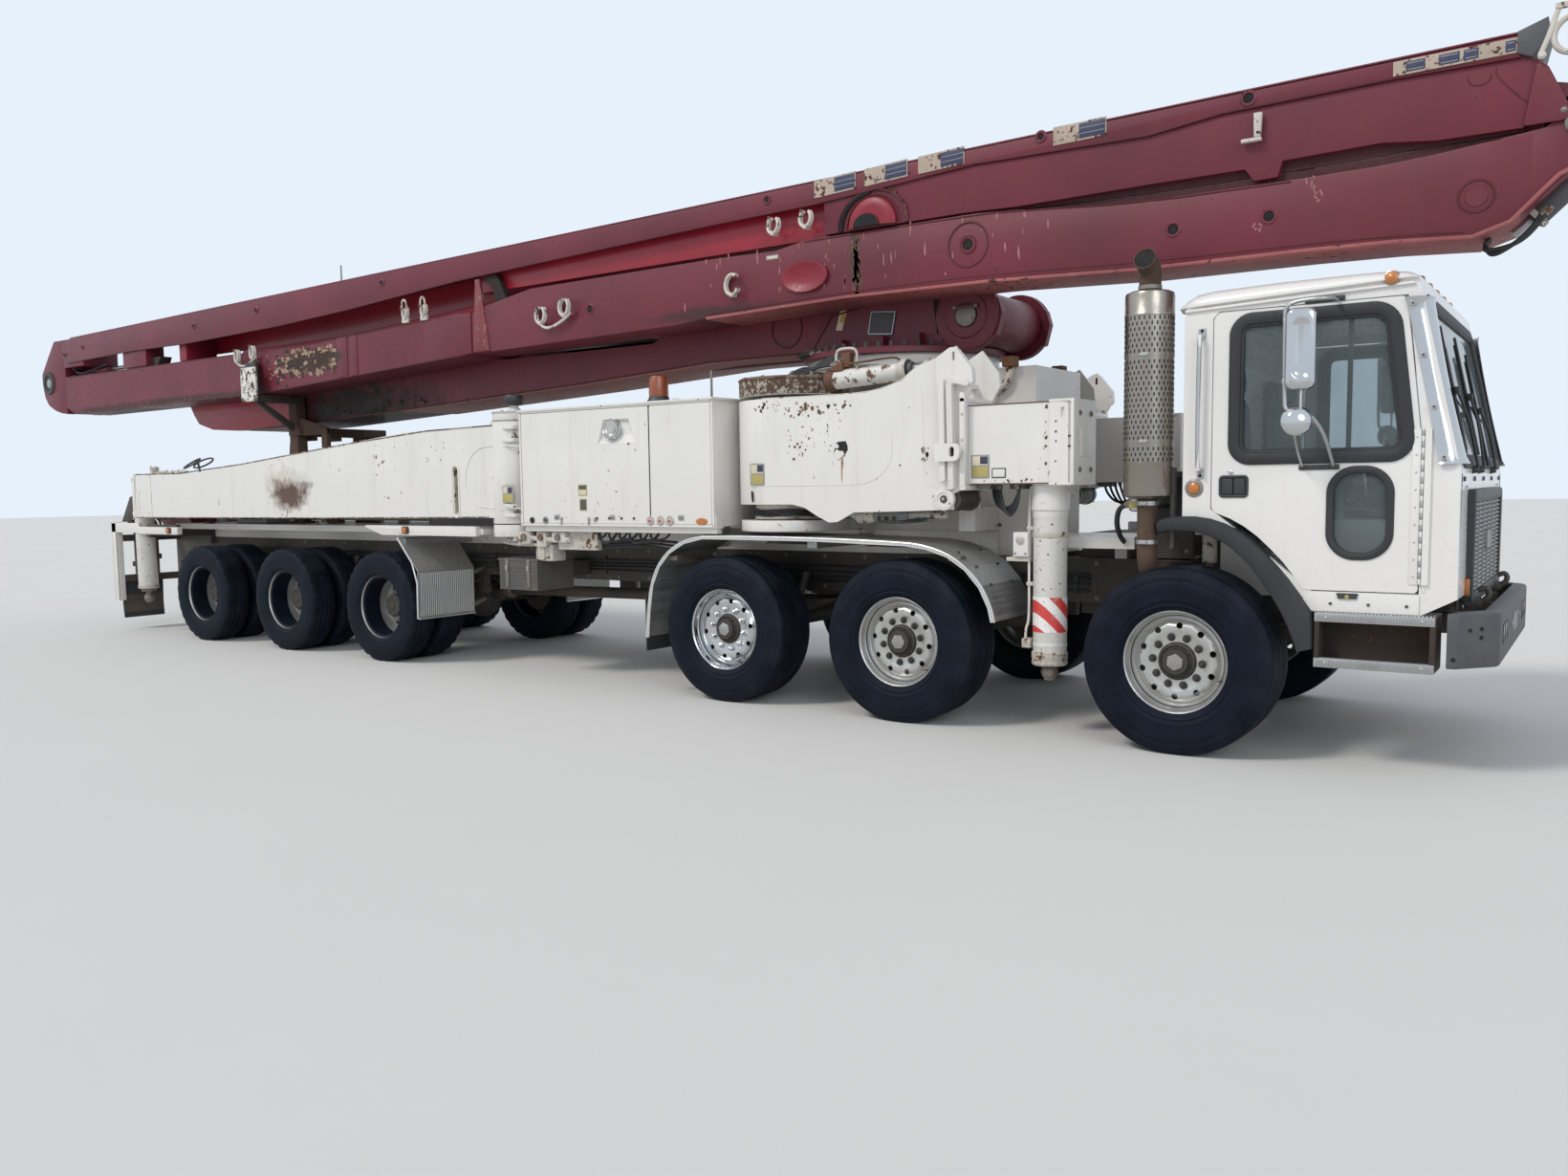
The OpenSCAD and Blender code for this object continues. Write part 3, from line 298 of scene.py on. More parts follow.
paint("faded", (0.34, 0.14, 0.14), 0.6, vary=0.2, grime=0.3, grime_color=(0.24, 0.12, 0.1), low=2.4)
paint("tan", (0.36, 0.25, 0.17), 0.7, vary=0.25, grime=0.4, low=2.4, chips=0.2,
    chip_color=(0.12, 0.07, 0.05))
# dark red painted as shade on the webs that lie back in the gaps between sections
paint("shaded_gap_red", (0.055, 0.008, 0.012), 0.7, vary=0.2, grime=0.3, grime_color=(0.03, 0.015, 0.015),
    low=2.4)
paint("scorch", (0.048, 0.026, 0.019), 0.8, 0.1, vary=0.45, grime=0.4, grime_color=(0.09, 0.045, 0.03),
    low=2.4, chips=0.2, chip_color=(0.13, 0.065, 0.04), size=1.5)
paint("scuffed", (0.165, 0.022, 0.032), 0.5, vary=0.2, grime=0.5, grime_color=(0.3, 0.13, 0.11), low=2.6,
    chips=0.2, chip_color=(0.34, 0.2, 0.17), streaks=0.5, size=1.3)
# near-black painted shade, for a sheet in a gap of the boom and flakes under the upper sections
paint("painted_shade_dark", (0.02, 0.013, 0.012), 0.85, vary=0.3, grime=0.3, grime_color=(0.07, 0.035, 0.03), low=2.4)
# a lighter copy of the boom red, painted as light falling on the barrel boss, the dished oval and an edge
# in a window
paint("half_lit_red", (0.24, 0.012, 0.026), 0.42, vary=0.16, grime=0.3, grime_color=(0.13, 0.04, 0.04),
    low=2.4, chips=0.13, chip_color=(0.08, 0.03, 0.024), streaks=0.2)
paint("amber_tag", (0.5, 0.3, 0.06), 0.5, vary=0.12, grime=0.3, low=2.4)
# pale grey-blue painted as the sky seen through a bore
paint("sky_hole", (0.34, 0.36, 0.38), 0.8, vary=0.12, grime=0.3, low=2.4, streaks=0.1)
paint("step_dark", (0.034, 0.027, 0.023), 0.85, vary=0.3, grime=0.5, grime_color=(0.09, 0.05, 0.035),
    low=1.4, chips=0.2, chip_color=(0.12, 0.06, 0.035), grain=0.002)
paint("hub_black", (0.022, 0.022, 0.023), 0.5, 0.1, vary=0.2, grime=0.45, grime_color=(0.1, 0.08, 0.06),
    low=0.8, chips=0.08, chip_color=(0.14, 0.07, 0.04), grain=0.0012)
paint("seat_cloth", (0.07, 0.072, 0.08), 0.92, vary=0.25, grime=0.15, grime_color=(0.16, 0.14, 0.12),
    low=1.2, grain=0.003, size=5.0)
# a lighter copy of the boom red, painted as sunlight on faces seen through the gaps between the sections
paint("sunlit_red", (0.3, 0.01, 0.026), 0.38, vary=0.14, grime=0.26, grime_color=(0.22, 0.05, 0.05),
    low=2.0, chips=0.12, streaks=0.12, coat=0.2)
paint("pink", (0.46, 0.2, 0.19), 0.55, vary=0.14, grime=0.5, low=2.2, chips=0.2,
    chip_color=(0.2, 0.12, 0.1), streaks=0.35)
paint("frame_black", (0.045, 0.042, 0.04), 0.55, vary=0.2, grime=0.85, low=1.1, chips=0.16,
    chip_color=(0.12, 0.06, 0.03), streaks=0.3, grain=0.0012)
paint("rubber", (0.022, 0.023, 0.026), 0.62, vary=0.18, grime=0.35, grime_color=(0.11, 0.1, 0.09),
    low=0.6, streaks=0.12, grain=0.0008)
paint("plastic", (0.03, 0.031, 0.033), 0.48, vary=0.12, grime=0.4, grime_color=(0.13, 0.12, 0.11),
    low=0.8, streaks=0.15, grain=0.0012, size=2.5)
paint("charcoal", (0.075, 0.078, 0.084), 0.55, vary=0.1, grime=0.45, grime_color=(0.15, 0.14, 0.12),
    low=0.75, streaks=0.12, grain=0.0016, size=3.0)
paint("steel", (0.46, 0.46, 0.46), 0.32, 0.85, vary=0.12, grime=0.5, low=0.9, chips=0.1, streaks=0.2,
    grain=0.0005)
paint("worn_steel", (0.24, 0.22, 0.2), 0.5, 0.6, vary=0.25, grime=0.8, low=1.2, chips=0.22,
    chip_color=(0.22, 0.1, 0.04), streaks=0.4, grain=0.001)
paint("rust", (0.13, 0.065, 0.038), 0.8, vary=0.35, grime=0.5, low=1.8, chips=0.2,
    chip_color=(0.28, 0.11, 0.04), streaks=0.4, grain=0.0022)
paint("deep_rust", (0.07, 0.04, 0.028), 0.85, vary=0.35, grime=0.4, low=1.8, chips=0.2,
    chip_color=(0.13, 0.065, 0.035), streaks=0.4, grain=0.0022)
paint("crust", (0.2, 0.145, 0.105), 0.9, vary=0.32, grime=0.6, low=1.8, chips=0.26,
    chip_color=(0.16, 0.08, 0.05), streaks=0.3, grain=0.006, size=0.9)
paint("cast", (0.055, 0.053, 0.052), 0.6, 0.3, vary=0.25, grime=0.7, low=0.8, chips=0.12,
    chip_color=(0.16, 0.09, 0.05), streaks=0.2, grain=0.0016)
paint("chrome", (0.56, 0.57, 0.58), 0.11, 1.0, vary=0.05, grime=0.12, low=0.4, streaks=0.05, grain=0.0002)
paint("stainless", (0.33, 0.3, 0.26), 0.26, 0.95, vary=0.14, grime=0.35, grime_color=(0.22, 0.15, 0.09),
    low=1.9, streaks=0.3, grain=0.0005)
paint("alloy", (0.56, 0.555, 0.54), 0.34, 0.85, vary=0.1, grime=0.55, grime_color=(0.15, 0.12, 0.09),
    low=0.35, chips=0.1, chip_color=(0.13, 0.07, 0.04), streaks=0.16, grain=0.0006, size=2.0)
paint("grey", (0.28, 0.29, 0.29), 0.5, vary=0.14, grime=0.5, low=1.2, chips=0.1, streaks=0.25)
paint("cream", (0.66, 0.6, 0.46), 0.45, vary=0.08, grime=0.3, low=1.6, streaks=0.2)
paint("yellow", (0.44, 0.37, 0.13), 0.45, vary=0.1, grime=0.3, low=1.6, streaks=0.2)
paint("tank_grey", (0.07, 0.07, 0.07), 0.5, vary=0.15, grime=0.6, low=1.2, chips=0.12, streaks=0.3)
paint("navy", (0.035, 0.04, 0.085), 0.4, vary=0.12, grime=0.3, low=2.0, streaks=0.2)
paint("dash", (0.055, 0.055, 0.058), 0.6, vary=0.12, grime=0.1, low=0.2, grain=0.001, size=4.0)
# near-black painted shade that stands for the dark inside holes, slots, recesses and gaps
paint("hole", (0.01, 0.01, 0.011), 0.9, vary=0.2, grime=0.1, low=0.0)
clear_glass("glass", (0.6, 0.67, 0.69), 0.1)
clear_glass("lens", (0.92, 0.9, 0.88), 0.35)
tread_plate_paint("tread")
stripes("band", (0.75, 0.75, 1.0), 0.16, (0.62, 0.055, 0.05), (0.82, 0.79, 0.77))
lamp_lens("amber", (0.72, 0.23, 0.03))
lamp_lens("red_lens", (0.5, 0.02, 0.02))
lamp_lens("beacon", (0.4, 0.085, 0.02))
lamp_lens("pale_lens", (0.7, 0.58, 0.56))


# Geometry helpers

def rect(x0, x1, z0, z1):
    """Outline of an upright rectangle."""
    return [(x0, z0), (x0, z1), (x1, z1), (x1, z0)]


def span(side, a, b):
    """The two widths a and b on one side of the truck, the smaller value first."""
    return sorted((side * a, side * b))


def spokes(count, r, start=0.0):
    """Points (x, z) spaced evenly on a wheel's circle, the first one on top."""
    for k in range(count):
        a = start + 2 * math.pi * k / count
        yield r * math.sin(a), r * math.cos(a)


def signed_area(points):
    """Twice the area inside a closed outline; its sign tells the outline's direction."""
    return sum(a[0] * b[1] - b[0] * a[1] for a, b in zip([points[-1]] + points[:-1], points))


def mirrored(bm):
    """A copy of the mesh for the left side."""
    copy = bm.copy()
    bmesh.ops.scale(copy, vec=(1, -1, 1), verts=copy.verts)
    bmesh.ops.reverse_faces(copy, faces=copy.faces)
    return copy


def finished(bm, name, mats):
    """Turns the collected shapes into mesh data with their materials."""
    mesh = bpy.data.meshes.new(name)
    bm.to_mesh(mesh)
    bm.free()
    for m in mats:
        mesh.materials.append(MATS[m])
    return mesh


def crisp(obj):
    """Keeps sharp edges sharp in smooth shading."""
    obj.modifiers.new("normals", "EDGE_SPLIT").split_angle = SHARP


def placed(name, mesh, body, nodes, spot=ORIGIN):
    """One object that rides on a body and stands for the given nodes."""
    obj = bpy.data.objects.new(name, mesh)
    obj.location = spot
    scene.collection.objects.link(obj)
    crisp(obj)
    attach(obj, body)
    if nodes:
        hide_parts(*nodes)
    return obj


def rounded(points, radius, steps=5):
    """A closed outline with its corners rounded; radius is one number or one per corner."""
    result = []
    count = len(points)
    for i, p in enumerate(points):
        r = radius[i] if isinstance(radius, (list, tuple)) else radius
        here = Vector(p)
        before = Vector(points[i - 1]) - here
        after = Vector(points[(i + 1) % count]) - here
        angle = before.angle(after)
        if r <= 0 or angle > 3.1:
            result.append(tuple(here))
            continue
        reach = min(r / math.tan(angle / 2), before.length * 0.49, after.length * 0.49)
        r = reach * math.tan(angle / 2)
        a = here + before.normalized() * reach
        b = here + after.normalized() * reach
        mid = here + (before.normalized() + after.normalized()).normalized() * (r / math.sin(angle / 2))
        for k in range(steps + 1):
            t = k / steps
            v = (a - mid).lerp(b - mid, t)
            result.append(tuple(mid + v.normalized() * r))
    return result


def outward(points, shift):
    """The closed outline moved outward by shift, point by point."""
    count = len(points)
    side = 1.0 if signed_area(points) > 0 else -1.0
    result = []
    for i in range(count):
        p = Vector(points[i])
        d0 = p - Vector(points[i - 1])
        d1 = Vector(points[(i + 1) % count]) - p
        d0 = d0.normalized() if d0.length > 1e-9 else d1.normalized()
        d1 = d1.normalized() if d1.length > 1e-9 else d0
        n0 = Vector((d0.y, -d0.x)) * side
        n1 = Vector((d1.y, -d1.x)) * side
        n = n0 + n1
        n = n.normalized() if n.length > 1e-6 else n0
        scale = 1.0 / max(0.4, n.dot(n0))
        result.append(tuple(p + n * shift * scale))
    return result


class Piece:
    """Collects solids with their materials, and becomes one object that rides on a body."""

    def __init__(self, name, body, mirror=False):
        self.name = name
        self.body = body
        self.mirror = mirror
        self.bm = bmesh.new()
        self.mats = []

    def index(self, mat):
        if mat not in self.mats:
            self.mats.append(mat)
        return self.mats.index(mat)

    def add(self, verts, faces, mat, bevel=0.0, smooth=True, segments=2, sharp=25.0):
        vs = [self.bm.verts.new(v) for v in verts]
        fs = []
        index = self.index(mat)
        for f in faces:
            if len(set(f)) < 3:
                continue
            try:
                face = self.bm.faces.new([vs[i] for i in f])
            except ValueError:
                continue
            face.material_index = index
            face.smooth = smooth
            fs.append(face)
        if bevel > 0.0:
            limit = math.radians(sharp)
            for face in fs:
                face.normal_update()
            edges = dict.fromkeys(e for face in fs for e in face.edges)
            chosen = [e for e in edges if len(e.link_faces) == 2 and e.link_faces[0].normal.angle(
                e.link_faces[1].normal, 0.0) > limit]
            if chosen:
                bmesh.ops.bevel(self.bm, geom=chosen, offset=bevel, segments=segments, affect="EDGES",
                    profile=0.6, clamp_overlap=True, material=-1)
        return vs

    def box(self, x0, x1, y0, y1, z0, z1, mat, bevel=0.004, turn=None):
        """A block with rounded edges; turn is (axis, degrees) about its middle."""
        mid = Vector(((x0 + x1) / 2, (y0 + y1) / 2, (z0 + z1) / 2))
        corners = []
        for z in (z0, z1):
            for x, y in ((x0, y0), (x1, y0), (x1, y1), (x0, y1)):
                corners.append(Vector((x, y, z)))
        if turn:
            rot = Matrix.Rotation(math.radians(turn[1]), 3, turn[0])
            corners = [mid + rot @ (c - mid) for c in corners]
        faces = [(3, 2, 1, 0), (4, 5, 6, 7), (0, 1, 5, 4), (1, 2, 6, 5), (2, 3, 7, 6), (3, 0, 4, 7)]
        small = min(abs(x1 - x0), abs(y1 - y0), abs(z1 - z0))
        return self.add(corners, faces, mat, min(bevel, small * 0.3))

    def slab(self, points, y0, y1, mat, bevel=0.004, plane="xz"):
        """A closed outline pushed out from y0 to y1."""
        points = list(points)
        if signed_area(points) < 0:
            points = points[::-1]
        count = len(points)
        if plane == "xz":
            verts = [(p[0], y, p[1]) for y in (y1, y0) for p in points]
        elif plane == "xy":
            verts = [(p[0], p[1], y) for y in (y0, y1) for p in points]
        else:
            verts = [(y, p[0], p[1]) for y in (y0, y1) for p in points]
        faces = [tuple(range(count))[::-1], tuple(range(count, 2 * count))]
        for i in range(count):
            j = (i + 1) % count
            faces.append((i, j, j + count, i + count))
        return self.add(verts, faces, mat, min(bevel, abs(y1 - y0) * 0.4))

    def loft(self, rings, mat, closed=True, caps=True, smooth=True, bevel=0.0):
        """Skins a row of rings that all have the same number of points."""
        count = len(rings[0])
        verts = [v for ring in rings for v in ring]
        faces = []
        for k in range(len(rings) - 1):
            for i in range(count if closed else count - 1):
                j = (i + 1) % count
                faces.append((k * count + i, k * count + j, (k + 1) * count + j, (k + 1) * count + i))
        if caps and closed:
            faces.append(tuple(range(count))[::-1])
            faces.append(tuple(range((len(rings) - 1) * count, len(rings) * count)))
        return self.add(verts, faces, mat, bevel, smooth)

    def lathe(self, profile, center, axis, mat, steps=32, start=0.0, turn=360.0):
        """Turns a row of (radius, height) about an axis through center; height runs along axis."""
        axis = Vector(axis).normalized()
        side = axis.orthogonal().normalized()
        other = axis.cross(side)
        center = Vector(center)
        whole = abs(turn - 360.0) < 1e-6
        rings = []
        for k in range(steps if whole else steps + 1):
            a = math.radians(start + turn * k / steps)
            d = side * math.cos(a) + other * math.sin(a)
            rings.append([center + d * r + axis * h for r, h in profile])
        count = len(profile)
        verts = [v for ring in rings for v in ring]
        faces = []
        total = len(rings)
        for k in range(total if whole else total - 1):
            m = (k + 1) % total
            for i in range(count - 1):
                faces.append((k * count + i, m * count + i, m * count + i + 1, k * count + i + 1))
        vs = self.add(verts, faces, mat)
        ends = [vs[k * count + i] for k in range(total) for i in range(count) if profile[i][0] < 1e-6]
        if ends:
            bmesh.ops.remove_doubles(self.bm, verts=ends, dist=1e-6)
        return vs

    def rod(self, a, b, r, mat, steps=16, edge=None, r2=None):
        """A round bar with rounded ends."""
        a, b = Vector(a), Vector(b)
        length = (b - a).length
        e = edge if edge is not None else min(r * 0.25, 0.006, length * 0.3)
        s = r if r2 is None else r2
        profile = [(0.0, 0.0), (r - e, 0.0), (r - e * 0.3, e * 0.3), (r, e), (s, length - e),
            (s - e * 0.3, length - e * 0.3), (s - e, length), (0.0, length)]
        return self.lathe(profile, a, b - a, mat, steps)

    def tube(self, path, r, mat, steps=10, smooth=3, closed=False):
        """A bent bar along a rounded path."""
        points = [Vector(p) for p in path]
        for _ in range(smooth):
            cut = [points[0]]
            for i in range(len(points) - 1):
                a, b = points[i], points[i + 1]
                if i > 0:
                    cut.append(a.lerp(b, 0.25))
                if i < len(points) - 2:
                    cut.append(a.lerp(b, 0.75))
            cut.append(points[-1])
            points = cut
        rings = []
        normal = None
        for i, p in enumerate(points):
            ahead = points[min(i + 1, len(points) - 1)] - points[max(i - 1, 0)]
            if ahead.length < 1e-9:
                continue
            ahead.normalize()
            if normal is None:
                normal = ahead.orthogonal().normalized()
            normal = (normal - ahead * normal.dot(ahead)).normalized()
            other = ahead.cross(normal)
            ring = []
            for k in range(steps):
                a = 2 * math.pi * k / steps
                ring.append(p + normal * math.cos(a) * r + other * math.sin(a) * r)
            rings.append(ring)
        return self.loft(rings, mat)

    def sweep(self, outline, section, mat, plane="xz", closed=True):
        """Pulls a section of (outward, across) along an outline; across is the third axis."""
        rings = []
        moved = {}
        for u, v in section:
            if u not in moved:
                moved[u] = outward(outline, u)
        for i in range(len(outline)):
            ring = []
            for u, v in section:
                p = moved[u][i]
                if plane == "xz":
                    ring.append((p[0], v, p[1]))
                elif plane == "xy":
                    ring.append((p[0], p[1], v))
                else:
                    ring.append((v, p[0], p[1]))
            rings.append(ring)
        count = len(section)
        verts = [v for ring in rings for v in ring]
        faces = []
        total = len(rings)
        for k in range(total if closed else total - 1):
            m = (k + 1) % total
            for i in range(count):
                j = (i + 1) % count
                faces.append((k * count + i, k * count + j, m * count + j, m * count + i))
        return self.add(verts, faces, mat)

    def bolt(self, center, axis, r, h, mat="worn_steel", washer=True):
        """A six-sided head on a washer."""
        axis = Vector(axis).normalized()
        center = Vector(center)
        if washer:
            self.rod(center, center + axis * h * 0.25, r * 1.45, mat, 14, 0.0008)
        self.lathe([(0.0, h), (r * 0.8, h), (r, h * 0.85), (r, 0.0)], center, axis, mat, 6)

    def disc(self, center, axis, r, h, mat, steps=24):
        center = Vector(center)
        axis = Vector(axis).normalized()
        return self.rod(center, center + axis * h, r, mat, steps, min(h * 0.4, 0.003))

    def ring(self, center, axis, r, thick, mat, steps=36, flat=1.0):
        """A round ring of round section lying across an axis."""
        profile = []
        for k in range(9):
            a = 2 * math.pi * k / 8
            profile.append((r + thick * math.cos(a), thick * flat * math.sin(a)))
        return self.lathe(profile, center, axis, mat, steps)

    def done(self, replaces=()):
        """Hands the piece over; # in a body or node name stands for the side letter."""
        bm = self.bm
        bmesh.ops.recalc_face_normals(bm, faces=bm.faces)
        shift = Matrix.Translation((SHIFT, 0, 0))
        objects = []
        for letter in ("r", "l") if self.mirror else ("",):
            copy = mirrored(bm) if letter == "l" else bm.copy()
            copy.transform(shift)
            name = self.name + "_" + letter if letter else self.name
            body = self.body.replace("#", letter)
            nodes = [s.replace("#", letter) for s in replaces]
            objects.append(placed(name, finished(copy, name, self.mats), body, nodes))
        bm.free()
        return objects


def dress(material, *nodes, bevel=0.006):
    """Gives carried-over solids a finish and rounded edges."""
    for name in nodes:
        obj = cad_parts[name]
        for slot in obj.material_slots:
            slot.material = MATS[material]
        weld = obj.modifiers.new("weld", "WELD")
        weld.merge_threshold = 0.0002
        if bevel > 0:
            mod = obj.modifiers.new("bevel", "BEVEL")
            mod.width = bevel
            mod.segments = 2
            mod.limit_method = "ANGLE"
            mod.angle_limit = math.radians(35)
            mod.use_clamp_overlap = True
        crisp(obj)


SIDES = ("r", "l")
dress("frame_black", "chassis_frame", "engine_block", "axles", bevel=0.005)
dress("frame_black", *[f"knuckle_{n}{s}" for n in (1, 2) for s in SIDES], bevel=0.005)
dress("white", "support_frame", "tool_boxes", bevel=0.006)
dress("white", "box_door_rear_r", "box_door_front_r", "box_door_l", bevel=0.005)
dress("tank_grey", "side_tanks", bevel=0.012)
dress("red", "hopper", bevel=0.008)
dress("worn_steel", "hopper_grate", bevel=0.002)
dress("grey", "pump_unit", bevel=0.006)
dress("cab_white", "cab_shell", bevel=0.012)
dress("glass", "cab_glass", "door_glass_r", "door_glass_l", bevel=0.0)
dress("plastic", "cab_trim", bevel=0.005)
dress("charcoal", "front_bumper", bevel=0.012)
dress("tread", "tread_guards", bevel=0.0)
dress("cab_white", "door_r", "door_l", bevel=0.004)
dress("rubber", *[f"wheel_{n}{s}" for n in range(1, 7) for s in SIDES], bevel=0.0)
for s in SIDES:
    dress("white", "front_arm_" + s, "front_beam_" + s, bevel=0.006)
    dress("arm_white" if s == "r" else "white", "rear_arm_" + s, bevel=0.006)
    dress("worn_steel", "front_jack_" + s, "rear_jack_" + s, bevel=0.004)
dress("red", "turret", "lift_barrel", bevel=0.008)
dress("steel", "lift_rod", bevel=0.003)
dress("red_rear_sunlit_shaded", "boom_section_1", bevel=0.01)
dress("red_low", "boom_section_4", bevel=0.008)
dress("red", "boom_section_5", bevel=0.008)


# Small shapes that several pieces share

def flake(p, x, z, y, size, mat, spread=0.45, steps=9, thick=0.0008, tall=1.0):
    """A thin ragged patch of bare metal or torn paint that lies on a face across y."""
    points = []
    for k in range(steps):
        a = 2 * math.pi * k / steps
        r = size * (1.0 - spread / 2 + spread * random.random())
        points.append((x + r * math.cos(a), z + r * tall * math.sin(a)))
    p.slab(points, y - thick, y + thick, mat, 0.0)


def flakes(p, count, x0, x1, z0, z1, y, small, large, mat, tall=1.0):
    """Many small patches, thicker towards the middle of the field."""
    for _ in range(count):
        x = x0 + (x1 - x0) * (random.random() + random.random()) / 2
        z = z0 + (z1 - z0) * (random.random() + random.random()) / 2
        flake(p, x, z, y, small + (large - small) * random.random() ** 3, mat, 0.8, 7, tall=tall)


def bead(p, path, y, r, mat, smooth=2):
    """A weld bead or a raised line on a face across y."""
    p.tube([(x, y, z) for x, z in path], r, mat, 6, smooth)


TAG_MARGIN = 0.008


def tag(p, x0, x1, z0, z1, y, back, face, split=None):
    """A blank plate: a thin sheet with one or two plain fields."""
    p.slab(rounded(rect(x0, x1, z0, z1), 0.004, 2), y - 0.002, y + 0.001, back, 0.0006)
    m = TAG_MARGIN
    if split is None:
        p.slab(rect(x0 + m, x1 - m, z0 + m, z1 - m), y - 0.0028, y - 0.001, face, 0.0004)
        return
    zs = z0 + (z1 - z0) * split[0]
    p.slab(rect(x0 + m, x1 - m, z0 + m, zs), y - 0.0028, y - 0.001, face, 0.0004)
    p.slab(rect(x0 + m, x1 - m, zs + m, z1 - m), y - 0.0028, y - 0.001, split[1], 0.0004)


def strap(p, center, axis, r, wide, mat, thick=0.003, start=0.0, turn=360.0):
    """A flat band round a pipe."""
    profile = [(r, -wide / 2), (r + thick, -wide / 2), (r + thick, wide / 2), (r, wide / 2),
        (r, -wide / 2)]
    p.lathe(profile, center, axis, mat, 28, start, turn)


def hose(p, points, r=0.014, mat="rubber", ends=True):
    """A bent hose with a steel fitting at each end."""
    p.tube(points, r, mat, 8, 3)
    if ends:
        for a, b in ((points[0], points[1]), (points[-1], points[-2])):
            a, b = Vector(a), Vector(b)
            d = (b - a).normalized()
            p.rod(a - d * 0.012, a + d * 0.035, r * 1.25, "worn_steel", 10, 0.002)
            p.lathe([(0.0, 0.02), (r * 1.6, 0.02), (r * 1.6, 0.0), (0.0, 0.0)], a, d, "worn_steel", 6)


def slot_line(x0, x1, z0, z1):
    """Outline of a slot with round ends, standing upright."""
    r = (x1 - x0) / 2
    return rounded(rect(x0, x1, z0, z1), r * 0.98, 6)


# Wheels

def rubber_paint():
    """Tyre rubber: dusty bands by radius about the wheel's own axis, with fine moulded rings."""
    n = Nodes("tyre")
    x2 = n.math("POWER", n.axis("X"), 2.0)
    z2 = n.math("POWER", n.axis("Z"), 2.0)
    radius = n.math("SQRT", n.math("ADD", x2, z2), 0.0)
    wide = n.noise(5.0, 4.0)
    fine = n.noise(70.0, 4.0, 0.6)
    rings = n.math("SINE", n.math("MULTIPLY", radius, 900.0), 0.0)
    # blue-black base: partly the rubber's own black, partly painted shade, darkened and tinted blue like
    # skylit shade
    base = n.mix(n.ramp(wide, 0.35, 0.7), (0.0012, 0.0034, 0.0095), (0.003, 0.007, 0.0165))
    dust = n.math("MULTIPLY", n.ramp(n.math("ADD", wide, n.math("MULTIPLY", fine, 0.6)), 0.7, 1.05),
        n.ramp(radius, 0.42, 0.54, 0.08, 0.45))
    base = n.mix(dust, base, (0.022, 0.026, 0.034))
    n.bump(n.math("ADD", n.math("MULTIPLY", rings, 0.25), fine), 0.0007)
    n.out(base, n.ramp(fine, 0.3, 0.7, 0.52, 0.74), 0.0)
    n.shader.inputs["Specular IOR Level"].default_value = 0.16


rubber_paint()
RIM = 0.298
NUT_RING = 0.143
FRONT_R, POLISHED_R, TWIN_R = 0.548, 0.538, 0.515
FRONT_WIDE, TWIN_WIDE = 0.41, 0.276
TWIN_OFF = 0.17
WHEEL_TURN = 0.37
AXLES = [(1, 0.0), (2, -1.83), (3, -3.3), (4, -7.38), (5, -8.93), (6, -10.48)]


def tyre(p, r, w, off, lugs):
    """One tyre of radius r and width w, off the wheel's middle; lugs notch the shoulders."""
    half = [(RIM - 0.006, 0.34), (RIM - 0.006, 0.4), (RIM + 0.003, 0.425), (RIM + 0.012, 0.432),
        (RIM + 0.02, 0.452), (RIM + 0.028, 0.472), (RIM + 0.036, 0.478), (RIM + 0.042, 0.47),
        (RIM + 0.06, 0.48), (RIM + 0.062, 0.484), (RIM + 0.07, 0.485), (RIM + 0.074, 0.483),
        (RIM + 0.1, 0.494), (r - 0.105, 0.5), (r - 0.08, 0.499), (r - 0.077, 0.494), (r - 0.066, 0.493),
        (r - 0.063, 0.495), (r - 0.045, 0.478), (r - 0.03, 0.458), (r - 0.026, 0.455),
        (r - 0.018, 0.452), (r - 0.007, 0.43), (r - 0.003, 0.4), (r - 0.001, 0.33), (r - 0.001, 0.285),
        (r - 0.013, 0.278), (r - 0.013, 0.258), (r, 0.25), (r, 0.19), (r, 0.118), (r - 0.013, 0.11),
        (r - 0.013, 0.088), (r, 0.08), (r, 0.0)]
    profile = [(a, off + b * w) for a, b in half] + [(a, off - b * w) for a, b in half[-2::-1]]
    profile.append((RIM - 0.03, off - 0.3 * w))
    profile.append((RIM - 0.03, off + 0.3 * w))
    profile.append(profile[0])
    steps = 90 if lugs else 84
    vs = p.lathe(profile, ORIGIN, OUT, "tyre", steps)
    count = len(profile)
    for k in range(steps):
        for i in range(count):
            a, h = profile[i]
            side = abs(h - off) / w
            if lugs and a > r - 0.02 and side > 0.3 and k % 3 == 0:
                vs[k * count + i].co.x *= 1 - 0.011 / a
                vs[k * count + i].co.z *= 1 - 0.011 / a
            elif not lugs and 0.44 < side < 0.47 and a > r - 0.035 and k % 2 == 0:
                vs[k * count + i].co.x *= 1 - 0.004 / a
                vs[k * count + i].co.z *= 1 - 0.004 / a
            elif lugs and 0.11 < side < 0.26 and a > r - 0.005 and k % 3 == 1:
                vs[k * count + i].co.y += 0.006 if (k // 3) % 2 else -0.006


